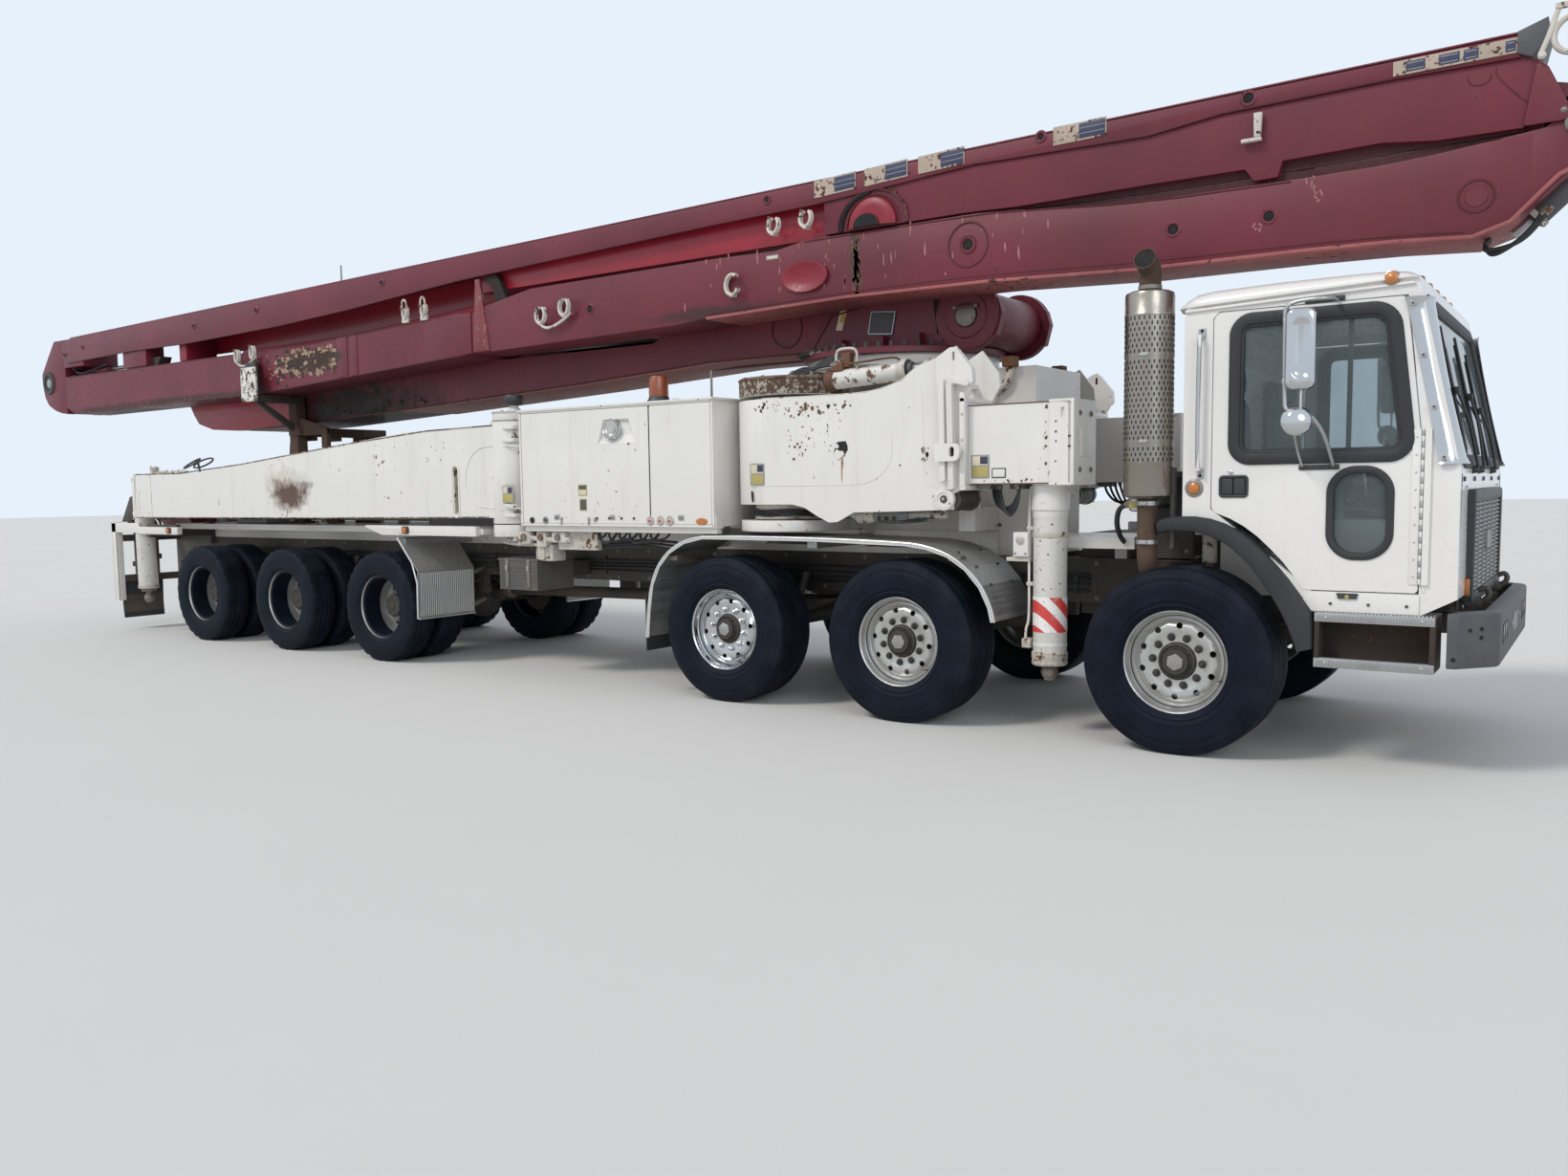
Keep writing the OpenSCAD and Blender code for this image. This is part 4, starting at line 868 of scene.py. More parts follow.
def holed_ring(p, profile, count, ring, hole, thick, mat, start=0.0):
    """An annulus that follows (radius, height) pairs, with a row of round holes through it."""
    r0, r1 = profile[0][0], profile[-1][0]

    def height(r):
        for (a, ha), (b, hb) in zip(profile, profile[1:]):
            if r <= b + 1e-9:
                return ha + (hb - ha) * (r - a) / (b - a)
        return profile[-1][1]

    def place(r, a, back):
        return (r * math.sin(a), -(height(r) - (thick if back else 0.0)), r * math.cos(a))

    step = 2 * math.pi / count
    for n in range(count):
        mid = start + n * step
        edge = []
        for k in range(8):
            edge.append((r1, mid - step / 2 + step * k / 8))
        for k in range(4):
            edge.append((r1 + (r0 - r1) * k / 4, mid + step / 2))
        for k in range(8):
            edge.append((r0, mid + step / 2 - step * k / 8))
        for k in range(4):
            edge.append((r0 + (r1 - r0) * k / 4, mid - step / 2))
        circle = []
        for r, a in edge:
            u = r * math.sin(a - mid)
            v = r * math.cos(a - mid) - ring
            size = math.hypot(u, v)
            u, v = u / size * hole, v / size * hole
            circle.append((math.hypot(ring + v, u), mid + math.atan2(u, ring + v)))
        total = len(edge)
        verts = [place(r, a, False) for r, a in edge] + [place(r, a, False) for r, a in circle]
        verts += [place(r, a, True) for r, a in circle] + [place(r, a, True) for r, a in edge]
        faces = []
        for i in range(total):
            j = (i + 1) % total
            for k in range(3):
                faces.append((k * total + i, k * total + j, (k + 1) * total + j, (k + 1) * total + i))
        p.add(verts, faces, mat)


def nuts(p, count, ring, h, mat, start=0.0, size=0.017):
    """Wheel nuts on washers, evenly spaced on a circle at height h above the wheel's middle."""
    for x, z in spokes(count, ring, start):
        c = Vector((x, -h, z))
        p.rod(c, c + Vector((0, -0.006, 0)), size * 1.35, mat, 14, 0.001)
        p.lathe([(0.0, 0.03), (0.01, 0.03), (0.011, 0.024), (size * 0.86, 0.024), (size, 0.02),
            (size, 0.0)], c, OUT, mat, 6)


def single_wheel(polished):
    """Front wheel with a domed rim; the third axle's is polished."""
    p = Piece("wheel", "chassis")
    metal = "chrome" if polished else "alloy"
    tyre(p, POLISHED_R if polished else FRONT_R, FRONT_WIDE, 0.0, False)
    lip = [(0.282, -0.15), (0.292, -0.16), (0.299, -0.166), (0.3, -0.172), (0.292, -0.176),
        (0.284, -0.17), (0.276, -0.156), (0.268, -0.14), (0.266, -0.05), (0.262, 0.06), (0.24, 0.086)]
    face = [(0.24, 0.098), (0.246, 0.094), (0.256, 0.092), (0.263, 0.098), (0.266, 0.112),
        (0.272, 0.126), (0.279, 0.132), (0.283, 0.146), (0.286, 0.16), (0.291, 0.171), (0.297, 0.175),
        (0.302, 0.171), (0.302, 0.164), (0.295, 0.156), (0.288, 0.15)]
    p.lathe(lip, ORIGIN, OUT, metal, 72)
    p.lathe(face, ORIGIN, OUT, metal, 72)
    holed_ring(p, [(0.182, 0.119), (0.214, 0.121), (0.228, 0.113), (0.24, 0.098)], 10, 0.209, 0.0185,
        0.012, metal, math.pi / 10)
    p.lathe([(0.106, 0.106), (0.112, 0.113), (0.16, 0.113), (0.17, 0.117), (0.182, 0.119)], ORIGIN, OUT,
        metal, 72)
    p.lathe([(0.106, 0.1), (0.182, 0.105)], ORIGIN, OUT, metal, 72)
    # near-black discs painted as the shade round each nut's seat
    for x, z in spokes(10, NUT_RING):
        p.lathe([(0.0, 0.1142), (0.021, 0.1142), (0.024, 0.1135)], (x, 0, z), OUT, "hole", 14)
    nuts(p, 10, NUT_RING, 0.114, "chrome" if polished else "hub_black")
    p.lathe([(0.112, 0.098), (0.108, 0.122), (0.1, 0.13), (0.094, 0.131), (0.088, 0.124), (0.078, 0.124),
        (0.074, 0.128), (0.072, 0.142)], ORIGIN, OUT, "hub_black", 48)
    p.lathe([(0.073, 0.142), (0.073, 0.158), (0.07, 0.161), (0.056, 0.161), (0.052, 0.166),
        (0.036, 0.167), (0.03, 0.163), (0.0, 0.163)], ORIGIN, OUT, "hub_black", 40)
    p.lathe([(0.05, 0.15), (0.05, 0.1675), (0.046, 0.1695), (0.0, 0.1695)], ORIGIN, OUT,
        "steel" if polished else "grey", 6)
    for k in range(6):
        a = 2 * math.pi * (k + 0.5) / 6
        p.bolt((0.082 * math.sin(a), -0.124, 0.082 * math.cos(a)), OUT, 0.008, 0.008, "hub_black")
    p.rod((0.266, -0.118, 0), (0.258, -0.165, 0), 0.006, "worn_steel", 8)
    p.lathe([(0.06, -0.15), (0.15, -0.15), (0.206, -0.14), (0.212, -0.12), (0.206, -0.106),
        (0.206, 0.04), (0.19, 0.07), (0.11, 0.078)], ORIGIN, OUT, "cast", 48)
    return p


def twin_wheel():
    """Two tyres on a dished rim with a reduction hub."""
    p = Piece("twin", "chassis")
    tyre(p, TWIN_R, TWIN_WIDE, TWIN_OFF, True)
    tyre(p, TWIN_R, TWIN_WIDE, -TWIN_OFF, True)
    p.lathe([(0.155, 0.022), (0.112, 0.022)], ORIGIN, OUT, "alloy", 64)
    p.lathe([(0.24, 0.01), (0.25, 0.012), (0.262, 0.03), (0.268, 0.06), (0.27, 0.15), (0.274, 0.168),
        (0.281, 0.174), (0.282, 0.225), (0.286, 0.24), (0.286, 0.262), (0.29, 0.276), (0.297, 0.283),
        (0.302, 0.279), (0.302, 0.27), (0.294, 0.262)], ORIGIN, OUT, "alloy", 72)
    holed_ring(p, [(0.155, 0.022), (0.182, 0.024), (0.218, 0.02), (0.24, 0.01)], 10, 0.205, 0.019, 0.012,
        "alloy", math.pi / 10)
    p.lathe([(0.24, -0.004), (0.262, 0.0), (0.268, -0.02), (0.27, -0.2), (0.282, -0.25), (0.292, -0.28),
        (0.3, -0.284), (0.3, -0.276), (0.292, -0.266)], ORIGIN, OUT, "alloy", 64)
    nuts(p, 10, NUT_RING, 0.022, "hub_black")
    p.lathe([(0.118, 0.016), (0.116, 0.05), (0.102, 0.062), (0.1, 0.118), (0.106, 0.122), (0.108, 0.134),
        (0.1, 0.142), (0.04, 0.144), (0.036, 0.15), (0.0, 0.151)], ORIGIN, OUT, "hub_black", 48)
    for x, z in spokes(8, 0.085):
        p.bolt((x, -0.142, z), OUT, 0.009, 0.012, "cast")
    p.lathe([(0.15, -0.03), (0.206, -0.03), (0.212, -0.06), (0.206, -0.075), (0.206, -0.19),
        (0.06, -0.195)], ORIGIN, OUT, "cast", 40)
    return p


def place_wheels(p, items, y, z):
    """items is a row of (axle number, x); each wheel gets a copy of the mesh, turned a bit further."""
    bm = p.bm
    bmesh.ops.remove_doubles(bm, verts=bm.verts, dist=2e-6)
    bmesh.ops.recalc_face_normals(bm, faces=bm.faces)
    for side, sign in (("r", -1), ("l", 1)):
        copy = mirrored(bm) if sign > 0 else bm.copy()
        mesh = finished(copy, p.name + "_" + side, p.mats)
        for number, x in items:
            turned = mesh.copy()
            turned.transform(Matrix.Rotation(WHEEL_TURN * number, 4, "Y"))
            wheel = f"wheel_{number}{side}"
            placed(f"tyre_and_rim_{number}{side}", turned, wheel, (wheel,),
                (x + SHIFT, sign * y, z))
    bm.free()


place_wheels(single_wheel(False), AXLES[0:2], 1.05, 0.54)
place_wheels(single_wheel(True), AXLES[2:3], 1.05, POLISHED_R)
place_wheels(twin_wheel(), AXLES[3:6], 0.94, 0.51)


# Cab

def panel(p, outline, holes, y0, y1, mat, bevel=0.003):
    """A flat sheet in the xz plane with holes, from y0 (outside) to y1."""
    bm = p.bm
    index = p.index(mat)
    loops = [outline] + list(holes)
    rings = []
    for y in (y0, y1):
        rings.append([[bm.verts.new((q[0], y, q[1])) for q in loop] for loop in loops])
    made = []
    for level in (0, 1):
        edges = []
        for ring in rings[level]:
            for i in range(len(ring)):
                edges.append(bm.edges.new((ring[i - 1], ring[i])))
        out = bmesh.ops.triangle_fill(bm, use_beauty=True, use_dissolve=False, edges=edges)
        made += [g for g in out["geom"] if isinstance(g, bmesh.types.BMFace)]
    for a, b in zip(rings[0], rings[1]):
        for i in range(len(a)):
            made.append(bm.faces.new((a[i - 1], a[i], b[i], b[i - 1])))
    for f in made:
        f.material_index = index
        f.smooth = False
        f.normal_update()
    if bevel > 0:
        edges = dict.fromkeys(e for f in made for e in f.edges)
        chosen = [e for e in edges if len(e.link_faces) == 2 and abs(e.link_faces[0].normal.dot(
            e.link_faces[1].normal)) < 0.5]
        bmesh.ops.bevel(bm, geom=chosen, offset=bevel, segments=2, affect="EDGES", profile=0.6,
            clamp_overlap=True, material=-1)


def lip(half, depth, y, count=6):
    """Section of a soft moulding: half wide each way, standing depth off y towards the outside."""
    section = [(-half, y + 0.004)]
    for k in range(count + 1):
        a = math.pi * k / count
        section.append((-half * math.cos(a), y - depth * (math.sin(a) ** 0.6)))
    section.append((half, y + 0.004))
    return section


DOOR = [(0.18, 1.43), (0.18, 2.48), (0.21, 2.51), (1.14, 2.51), (1.228, 1.75), (1.228, 0.985),
    (0.672, 0.985), (0.63, 1.05), (0.572, 1.128), (0.5, 1.205), (0.43, 1.272), (0.36, 1.325),
    (0.285, 1.368), (0.2, 1.402)]
WINDOW = rounded([(0.3, 1.7), (0.3, 2.46), (1.08, 2.46), (1.172, 1.7)], [0.085, 0.085, 0.11, 0.085], 8)
LOW_WINDOW = rounded(rect(0.8, 1.09, 1.17, 1.63), 0.125, 10)
SKIN = -1.174
INNER = SKIN + 0.034

door = Piece("cab_door", "cab_door_#", mirror=True)
outline = rounded(DOOR, [0.02, 0.03, 0.03, 0.03, 0.02, 0.02, 0.02] + [0.0] * 7, 3)
panel(door, outline, [outward(WINDOW, -0.004), LOW_WINDOW], SKIN, INNER, "cab_white", 0.004)
# soft mouldings round both windows, outside and inside
door.sweep(outward(WINDOW, 0.002), lip(0.034, 0.017, SKIN), "rubber")
door.sweep(outward(WINDOW, -0.026), lip(0.02, 0.01, SKIN + 0.004), "rubber")
door.sweep(outward(WINDOW, 0.012), rect(-0.03, 0.022, INNER, SKIN + 0.048), "plastic")
door.sweep(outward(LOW_WINDOW, 0.0), lip(0.02, 0.013, SKIN), "rubber")
door.sweep(outward(LOW_WINDOW, 0.004), rect(-0.016, 0.022, INNER, SKIN + 0.046), "plastic")
# window guide and sash bar behind the glass
door.box(0.865, 0.89, SKIN + 0.022, SKIN + 0.036, 1.7, 2.46, "plastic", 0.003)
door.box(0.33, 1.15, SKIN + 0.026, SKIN + 0.05, 1.692, 1.735, "plastic", 0.006)
# recessed handle with two paddles, and the lock above it
frame_line = rounded(rect(0.228, 0.372, 1.492, 1.602), 0.016, 4)
# near-black sheet painted as the shade in the handle's recess
door.slab(outward(frame_line, 0.004), SKIN - 0.004, SKIN + 0.004, "hole", 0.001)
door.sweep(frame_line, lip(0.008, 0.01, SKIN), "plastic")
for x0, x1 in ((0.238, 0.296), (0.303, 0.362)):
    door.slab(rounded(rect(x0, x1, 1.503, 1.591), 0.01, 3), SKIN - 0.01, SKIN - 0.003, "plastic", 0.003)
door.lathe([(0.0, 0.01), (0.007, 0.01), (0.013, 0.006), (0.014, 0.0)], (0.284, SKIN, 1.627), OUT,
    "chrome", 20)
# piano hinge: leaf, knuckles and screws
door.box(1.186, 1.226, -1.18, SKIN + 0.001, 1.03, 1.83, "cab_white", 0.0015)
for k in range(26):
    z = 1.032 + k * 0.0306
    door.rod((1.235, -1.182, z), (1.235, -1.182, z + 0.0288), 0.0075, "steel" if k % 2 else "cab_white",
        10, 0.001)
for k in range(9):
    door.bolt((1.206, -1.18, 1.07 + k * 0.09), OUT, 0.005, 0.003, "steel", False)
# mirror arms, their plates, the tall mirror and the round one
for x0, x1, z in ((0.652, 0.848, 2.528), (0.64, 0.842, 1.645)):
    door.box(x0, x1, -1.182, SKIN + 0.001, z - 0.014, z + 0.014, "plastic", 0.003)
    for x in (x0 + 0.015, x0 + 0.06, x1 - 0.06, x1 - 0.015):
        door.bolt((x, -1.182, z), OUT, 0.0065, 0.005, "cast")
door.tube([(0.815, -1.175, 2.522), (0.815, -1.22, 2.51), (0.835, -1.44, 2.5), (0.68, -1.44, 2.5),
    (0.612, -1.44, 2.478), (0.612, -1.44, 2.4), (0.617, -1.44, 1.99), (0.625, -1.44, 1.935),
    (0.735, -1.44, 1.925), (0.79, -1.34, 1.83), (0.812, -1.19, 1.668), (0.812, -1.172, 1.65)], 0.0105,
    "steel", 12)
door.tube([(0.66, -1.176, 1.65), (0.66, -1.2, 1.655), (0.66, -1.4, 1.8), (0.665, -1.44, 1.9)], 0.007,
    "steel", 8)
for z in (2.4, 2.09):
    door.box(0.604, 0.66, -1.452, -1.432, z - 0.014, z + 0.014, "steel", 0.003)
door.rod((0.7, -1.455, 2.05), (0.7, -1.455, 1.86), 0.008, "steel", 10)


def mirror_head(p):
    """Tall mirror: a domed shell with a stepped back and a glass set into its rear face."""
    outline = rounded(rect(-0.074, 0.074, -0.208, 0.208), 0.04, 6)
    inner = rounded(rect(-0.04, 0.04, -0.15, 0.15), 0.034, 6)
    turn = Matrix.Rotation(math.radians(16.0), 3, "Z")
    center = Vector((0.695, -1.462, 2.25))

    def ring(points, y):
        return [center + turn @ Vector((a, y, b)) for a, b in points]

    rings = [ring(outward(outline, -0.006), 0.03), ring(outward(outline, -0.006), 0.022),
        ring(outward(outline, -0.001), 0.021), ring(outline, 0.012), ring(outline, -0.006),
        ring(outward(outline, -0.008), -0.02), ring(outward(outline, -0.018), -0.026),
        ring(outward(inner, 0.006), -0.029), ring(inner, -0.027), ring(outward(inner, -0.01), -0.017),
        ring(outward(inner, -0.024), -0.014)]
    p.loft(rings, "chrome")


mirror_head(door)
door.lathe([(0.0, 0.03), (0.02, 0.029), (0.045, 0.022), (0.065, 0.01), (0.074, -0.004), (0.078, -0.01),
    (0.076, -0.016), (0.0, -0.016)], (0.685, -1.455, 1.885), (0.35, -0.93, 0.1), "chrome", 36)
# armrest, pocket and window winder on the inside
door.box(0.3, 0.86, INNER, SKIN + 0.06, 1.36, 1.62, "dash", 0.012)
door.box(0.36, 0.78, SKIN + 0.058, SKIN + 0.092, 1.55, 1.6, "dash", 0.014)
door.rod((0.66, INNER, 1.44), (0.66, SKIN + 0.075, 1.44), 0.016, "plastic", 16)
door.tube([(0.66, SKIN + 0.07, 1.44), (0.6, SKIN + 0.078, 1.42), (0.58, SKIN + 0.078, 1.4)], 0.008,
    "plastic", 8)
door.done(("door_#",))


# Cab body: details that stay with the chassis
cab = Piece("cab_side", "chassis", mirror=True)
# grab handle with its cast feet, and the round marker below
for z, s in ((2.405, 1), (1.622, -1)):
    cab.slab(rounded(rect(0.096, 0.136, z - 0.032, z + 0.032), 0.012, 3), -1.178, -1.169, "steel", 0.003)
    # near-black disc on each foot painted as the shade in its screw hole
    cab.disc((0.116, -1.176, z + 0.012 * s), OUT, 0.01, 0.0035, "hole", 14)
cab.tube([(0.116, -1.174, 2.392), (0.116, -1.205, 2.385), (0.114, -1.222, 2.35), (0.112, -1.222, 2.0),
    (0.112, -1.222, 1.68), (0.114, -1.205, 1.642), (0.116, -1.174, 1.636)], 0.0125, "steel", 12)
cab.lathe([(0.052, 0.0), (0.05, 0.006), (0.04, 0.009), (0.034, 0.01)], (0.083, -1.17, 1.54), OUT,
    "stainless", 28)
cab.lathe([(0.034, 0.006), (0.03, 0.02), (0.018, 0.026), (0.0, 0.028)], (0.083, -1.17, 1.54), OUT,
    "amber", 28)
for x in (0.036, 0.13):
    cab.bolt((x, -1.17, 1.54), OUT, 0.005, 0.004, "steel", False)
# sill with its bolts and a small lamp
sill = rounded([(0.7, 0.872), (0.668, 0.93), (0.72, 0.977), (1.238, 0.977), (1.238, 0.872)],
    [0.008, 0.02, 0.01, 0.006, 0.006], 3)
cab.slab(sill, -1.18, -1.168, "cab_white", 0.003)
for x in (0.816, 1.001, 1.182):
    cab.disc((x, -1.18, 0.916), OUT, 0.012, 0.003, "cab_white", 18)
    cab.bolt((x, -1.182, 0.916), OUT, 0.0085, 0.006, "cast", False)
cab.box(0.845, 0.95, -1.19, -1.17, 0.962, 0.9735, "plastic", 0.003)
cab.box(0.85, 0.945, -1.192, -1.176, 0.944, 0.966, "plastic", 0.004)
cab.lathe([(0.011, 0.0), (0.01, 0.003), (0.0, 0.005)], (0.897, -1.192, 0.955), OUT, "yellow", 16)
# corner post cover
cab.box(1.246, 1.262, -1.1745, -1.169, 0.99, 1.75, "cab_white", 0.001)


def corner_strip():
    """Bright strip that stands off the corner and follows the lean of the windscreen."""
    rings = []
    for k in range(25):
        t = k / 24
        z = 2.5 - 0.85 * t
        x = 1.196 + 0.177 * t
        wide = 0.11 - 0.012 * math.sin(math.pi * t) + (0.012 if k in (0, 24) else 0.0)
        ring = []
        for j in range(9):
            a = math.radians(-18 + 116 * j / 8)
            ring.append((x - 0.035 + wide * 0.82 * math.sin(a), -1.08 - wide * math.cos(a), z))
        for j in range(8, -1, -1):
            a = math.radians(-18 + 116 * j / 8)
            ring.append((x - 0.035 + (wide * 0.82 - 0.003) * math.sin(a), -1.08 - (wide - 0.003)
                * math.cos(a), z))
        rings.append(ring)
    cab.loft(rings, "chrome")


corner_strip()
for t in (0.04, 0.35, 0.66, 0.96):
    x, z = 1.196 + 0.177 * t, 2.5 - 0.85 * t
    cab.box(x - 0.045, x - 0.02, -1.205, -1.165, z - 0.014, z + 0.014, "steel", 0.002)
    cab.bolt((x - 0.033, -1.205, z), OUT, 0.006, 0.004, "cast", False)
# amber oval lamp on the roof's side
roof_lamp, lamp_aim = (1.068, -1.18, 2.604), (0, -1, 0.15)
cab.lathe([(0.04, 0.0), (0.038, 0.007), (0.031, 0.009)], roof_lamp, lamp_aim, "stainless", 28)
cab.lathe([(0.034, 0.004), (0.031, 0.017), (0.018, 0.024), (0.0, 0.026)], roof_lamp, lamp_aim, "amber",
    28)
# drip rail above the door
cab.slab([(0.02, 2.524), (0.02, 2.538), (1.17, 2.58), (1.18, 2.566)], -1.186, -1.168, "cab_white", 0.004)
# rear corner seam
cab.box(0.016, 0.022, -1.168, -1.04, 1.36, 2.5, "cab_white", 0.002)
cab.done(())


def roof():
    """Crowned roof cap with a rolled edge, round at the back."""
    p = Piece("cab_roof", "chassis")
    rings = []
    stations = [(-0.018, 0.0, 0.004), (-0.016, 0.018, 0.0), (0.0, 0.034, 0.0), (0.03, 0.062, 0.0),
        (0.075, 0.084, 0.0), (0.16, 0.094, 0.0), (0.5, 0.09, 0.0), (0.9, 0.072, 0.0), (1.06, 0.06, 0.0),
        (1.14, 0.044, 0.0), (1.185, 0.018, 0.0), (1.192, 0.006, 0.004)]
    for x, crown, pull in stations:
        base = 2.545 + 0.05 * max(0.0, min(1.0, (x + 0.02) / 1.15))
        half = 1.192 - pull
        if x < 0.1:
            half -= 0.045 * ((0.1 - x) / 0.12) ** 2
        ring = []
        profile = [(-1.0, 0.0), (-1.0, 0.2), (-0.99, 0.46), (-0.97, 0.68), (-0.94, 0.84), (-0.9, 0.93),
            (-0.8, 0.98), (-0.5, 1.0), (-0.2, 1.0), (0.2, 1.0), (0.5, 1.0), (0.8, 0.98), (0.9, 0.93),
            (0.94, 0.84), (0.97, 0.68), (0.99, 0.46), (1.0, 0.2), (1.0, 0.0)]
        for u, v in profile:
            ring.append((x, u * half, base + 0.004 + v * crown))
        ring += [(x, half * 0.96, base - 0.012), (x, -half * 0.96, base - 0.012)]
        rings.append(ring)
    p.loft(rings, "cab_white")
    for y in (-0.62, -0.31, 0.0, 0.31, 0.62):
        p.lathe([(0.04, 0.0), (0.036, 0.014), (0.03, 0.018)], (1.115, y, 2.628), (0.25, 0, 1), "plastic",
            20)
        p.lathe([(0.032, 0.012), (0.028, 0.04), (0.018, 0.056), (0.0, 0.06)], (1.115, y, 2.628),
            (0.25, 0, 1), "amber", 20)
    p.slab(rounded(rect(0.45, 0.8, -0.22, 0.22), 0.05, 4), 2.66, 2.7, "cab_white", 0.015, "xy")
    p.done(())


roof()


def front_grille(p):
    """Grille: raised black frame, pale louvres and a bar across the middle."""
    outline = rounded(rect(-0.8, 0.8, 0.915, 1.5), 0.035, 4)
    # near-black sheet painted as the shade behind the louvres
    p.slab(outline, 1.408, 1.4105, "hole", 0.0, "yz")
    section = [(-0.045, 1.409), (-0.045, 1.436), (-0.038, 1.444), (0.006, 1.446), (0.016, 1.44),
        (0.018, 1.409)]
    p.sweep(outline, section, "plastic", "yz")
    for i in range(21):
        z = 0.972 + i * 0.0242
        rings = []
        for y in (-0.752, 0.752):
            rings.append([(1.412, y, z + 0.01), (1.43, y, z + 0.008), (1.437, y, z - 0.002),
                (1.432, y, z - 0.006), (1.412, y, z + 0.002)])
        p.loft(rings, "grey")
    for y in (-0.5, -0.25, 0.0, 0.25, 0.5):
        p.box(1.412, 1.44, y - 0.006, y + 0.006, 0.965, 1.465, "grey", 0.002)
    p.slab(rounded(rect(-0.11, 0.11, 1.17, 1.27), 0.02, 3), 1.43, 1.4465, "grey", 0.003, "yz")
    for s in BOTH:
        box = rounded(rect(s * 0.862, s * 0.822, 0.955, 1.045), 0.008, 2)
        p.slab(box, 1.408, 1.432, "amber", 0.005, "yz")
        for z in (0.9, 1.53):
            p.bolt((1.408, s * 0.9, z), FORE, 0.008, 0.006, "steel")
        # corner seam between the side and the front
        p.box(1.4, 1.4075, s * 1.1 - 0.004, s * 1.1 + 0.004, 0.9, 1.6, "plastic", 0.001)


def front_face():
    p = Piece("cab_front", "chassis")
    # windscreen seal that follows the lean of the glass, and the divider
    lean = (1.405 - 1.19) / (1.62 - 2.61)
    outline = rounded(rect(-1.03, 1.03, 1.66, 2.5), 0.06, 6)

    def on_face(y, z, off):
        x = 1.405 + (z - 1.62) * lean
        return (x + off * 0.977, y, z + off * 0.212)

    for shift, half, proud in ((0.0, 0.034, 0.014), (-0.028, 0.016, 0.006)):
        moved = {}
        rings = []
        sect = []
        for k in range(7):
            a = math.pi * k / 6
            sect.append((-half * math.cos(a) + shift, -0.002 + proud * (math.sin(a) ** 0.6)))
        sect = [(sect[0][0], -0.012)] + sect + [(sect[-1][0], -0.012)]
        for u, _ in sect:
            moved[u] = outward(outline, u)
        for i in range(len(outline)):
            rings.append([on_face(moved[u][i][0], moved[u][i][1], v) for u, v in sect])
        rings.append(rings[0])
        p.loft(rings, "rubber", caps=False)
    # painted panel lines below the windscreen and the cowl
    for y in (-1.0, -0.5, 0.0, 0.5, 1.0):
        p.box(1.404, 1.412, y - 0.03, y + 0.03, 1.56, 1.585, "plastic", 0.003)
    # wipers: two jointed arms with long blades
    for y0, y1, z1 in ((-0.62, -0.98, 2.36), (-0.3, -0.34, 2.36), (0.42, 0.1, 2.3)):
        a = on_face(y0, 1.62, 0.03)
        b = on_face((y0 + y1) / 2, (1.62 + z1) / 2 - 0.12, 0.052)
        c = on_face(y1, z1 - 0.34, 0.04)
        p.rod(on_face(y0, 1.62, -0.01), a, 0.02, "cast", 16)
        p.tube([a, b, c], 0.0075, "plastic", 8)
        p.tube([(a[0], a[1] + 0.03, a[2]), (b[0], b[1] + 0.025, b[2]), (c[0], c[1], c[2] - 0.05)], 0.005,
            "plastic", 8)
        top = on_face(y1 + 0.02, z1, 0.022)
        low = on_face(y1 - 0.02, z1 - 0.66, 0.022)
        p.tube([low, top], 0.008, "plastic", 6)
        p.tube([on_face(y1 - 0.015, z1 - 0.62, 0.012), on_face(y1 + 0.015, z1 - 0.04, 0.012)], 0.0045,
            "rubber", 6)
        p.box(c[0] - 0.012, c[0] + 0.012, c[1] - 0.014, c[1] + 0.014, c[2] - 0.02, c[2] + 0.02,
            "plastic", 0.003)
    front_grille(p)
    p.done(())


front_face()


def step_box(p):
    """Step box: two serrated treads, side walls, dark back and lower lip."""
    for z0, z1 in ((0.858, 0.8655), (0.57, 0.5775)):
        p.box(0.742, 1.318, -1.205, -0.95, z0, z1, "steel", 0.002)
    for z0, z1 in ((0.818, 0.862), (0.572, 0.62)):
        p.box(0.742, 1.318, -1.208, -1.2, z0, z1, "steel", 0.002)
        for k in range(46):
            x = 0.752 + k * 0.0123
            p.box(x, x + 0.0062, -1.2125, -1.206, z0 + 0.006, z1 - 0.006, "steel", 0.0015)
    for k in range(30):
        for j in range(3):
            x = 0.76 + k * 0.0185 + (0.009 if j % 2 else 0.0)
            p.lathe([(0.0062, 0.0), (0.0045, 0.0035), (0.003, 0.0035), (0.0025, 0.0)],
                (x, -1.185 + j * 0.045, 0.865), UP, "steel", 6)
    for x0, x1 in ((0.742, 0.766), (1.294, 1.318)):
        p.box(x0, x1, -1.206, -0.95, 0.575, 0.862, "step_dark", 0.003)
    p.box(0.762, 1.298, -1.06, -1.05, 0.575, 0.861, "step_dark", 0.002)
    p.box(0.762, 1.298, -1.2, -1.16, 0.612, 0.622, "steel", 0.002)
    p.box(0.9, 1.2, -0.96, -0.43, 0.7, 0.78, "frame_black", 0.006)
    p.box(0.742, 1.318, -0.95, -0.93, 0.575, 0.8655, "frame_black", 0.004)
    for x in (0.8, 1.26):
        p.bolt((x, -1.208, 0.84), OUT, 0.008, 0.006, "steel")
        p.bolt((x, -1.208, 0.596), OUT, 0.008, 0.006, "steel")


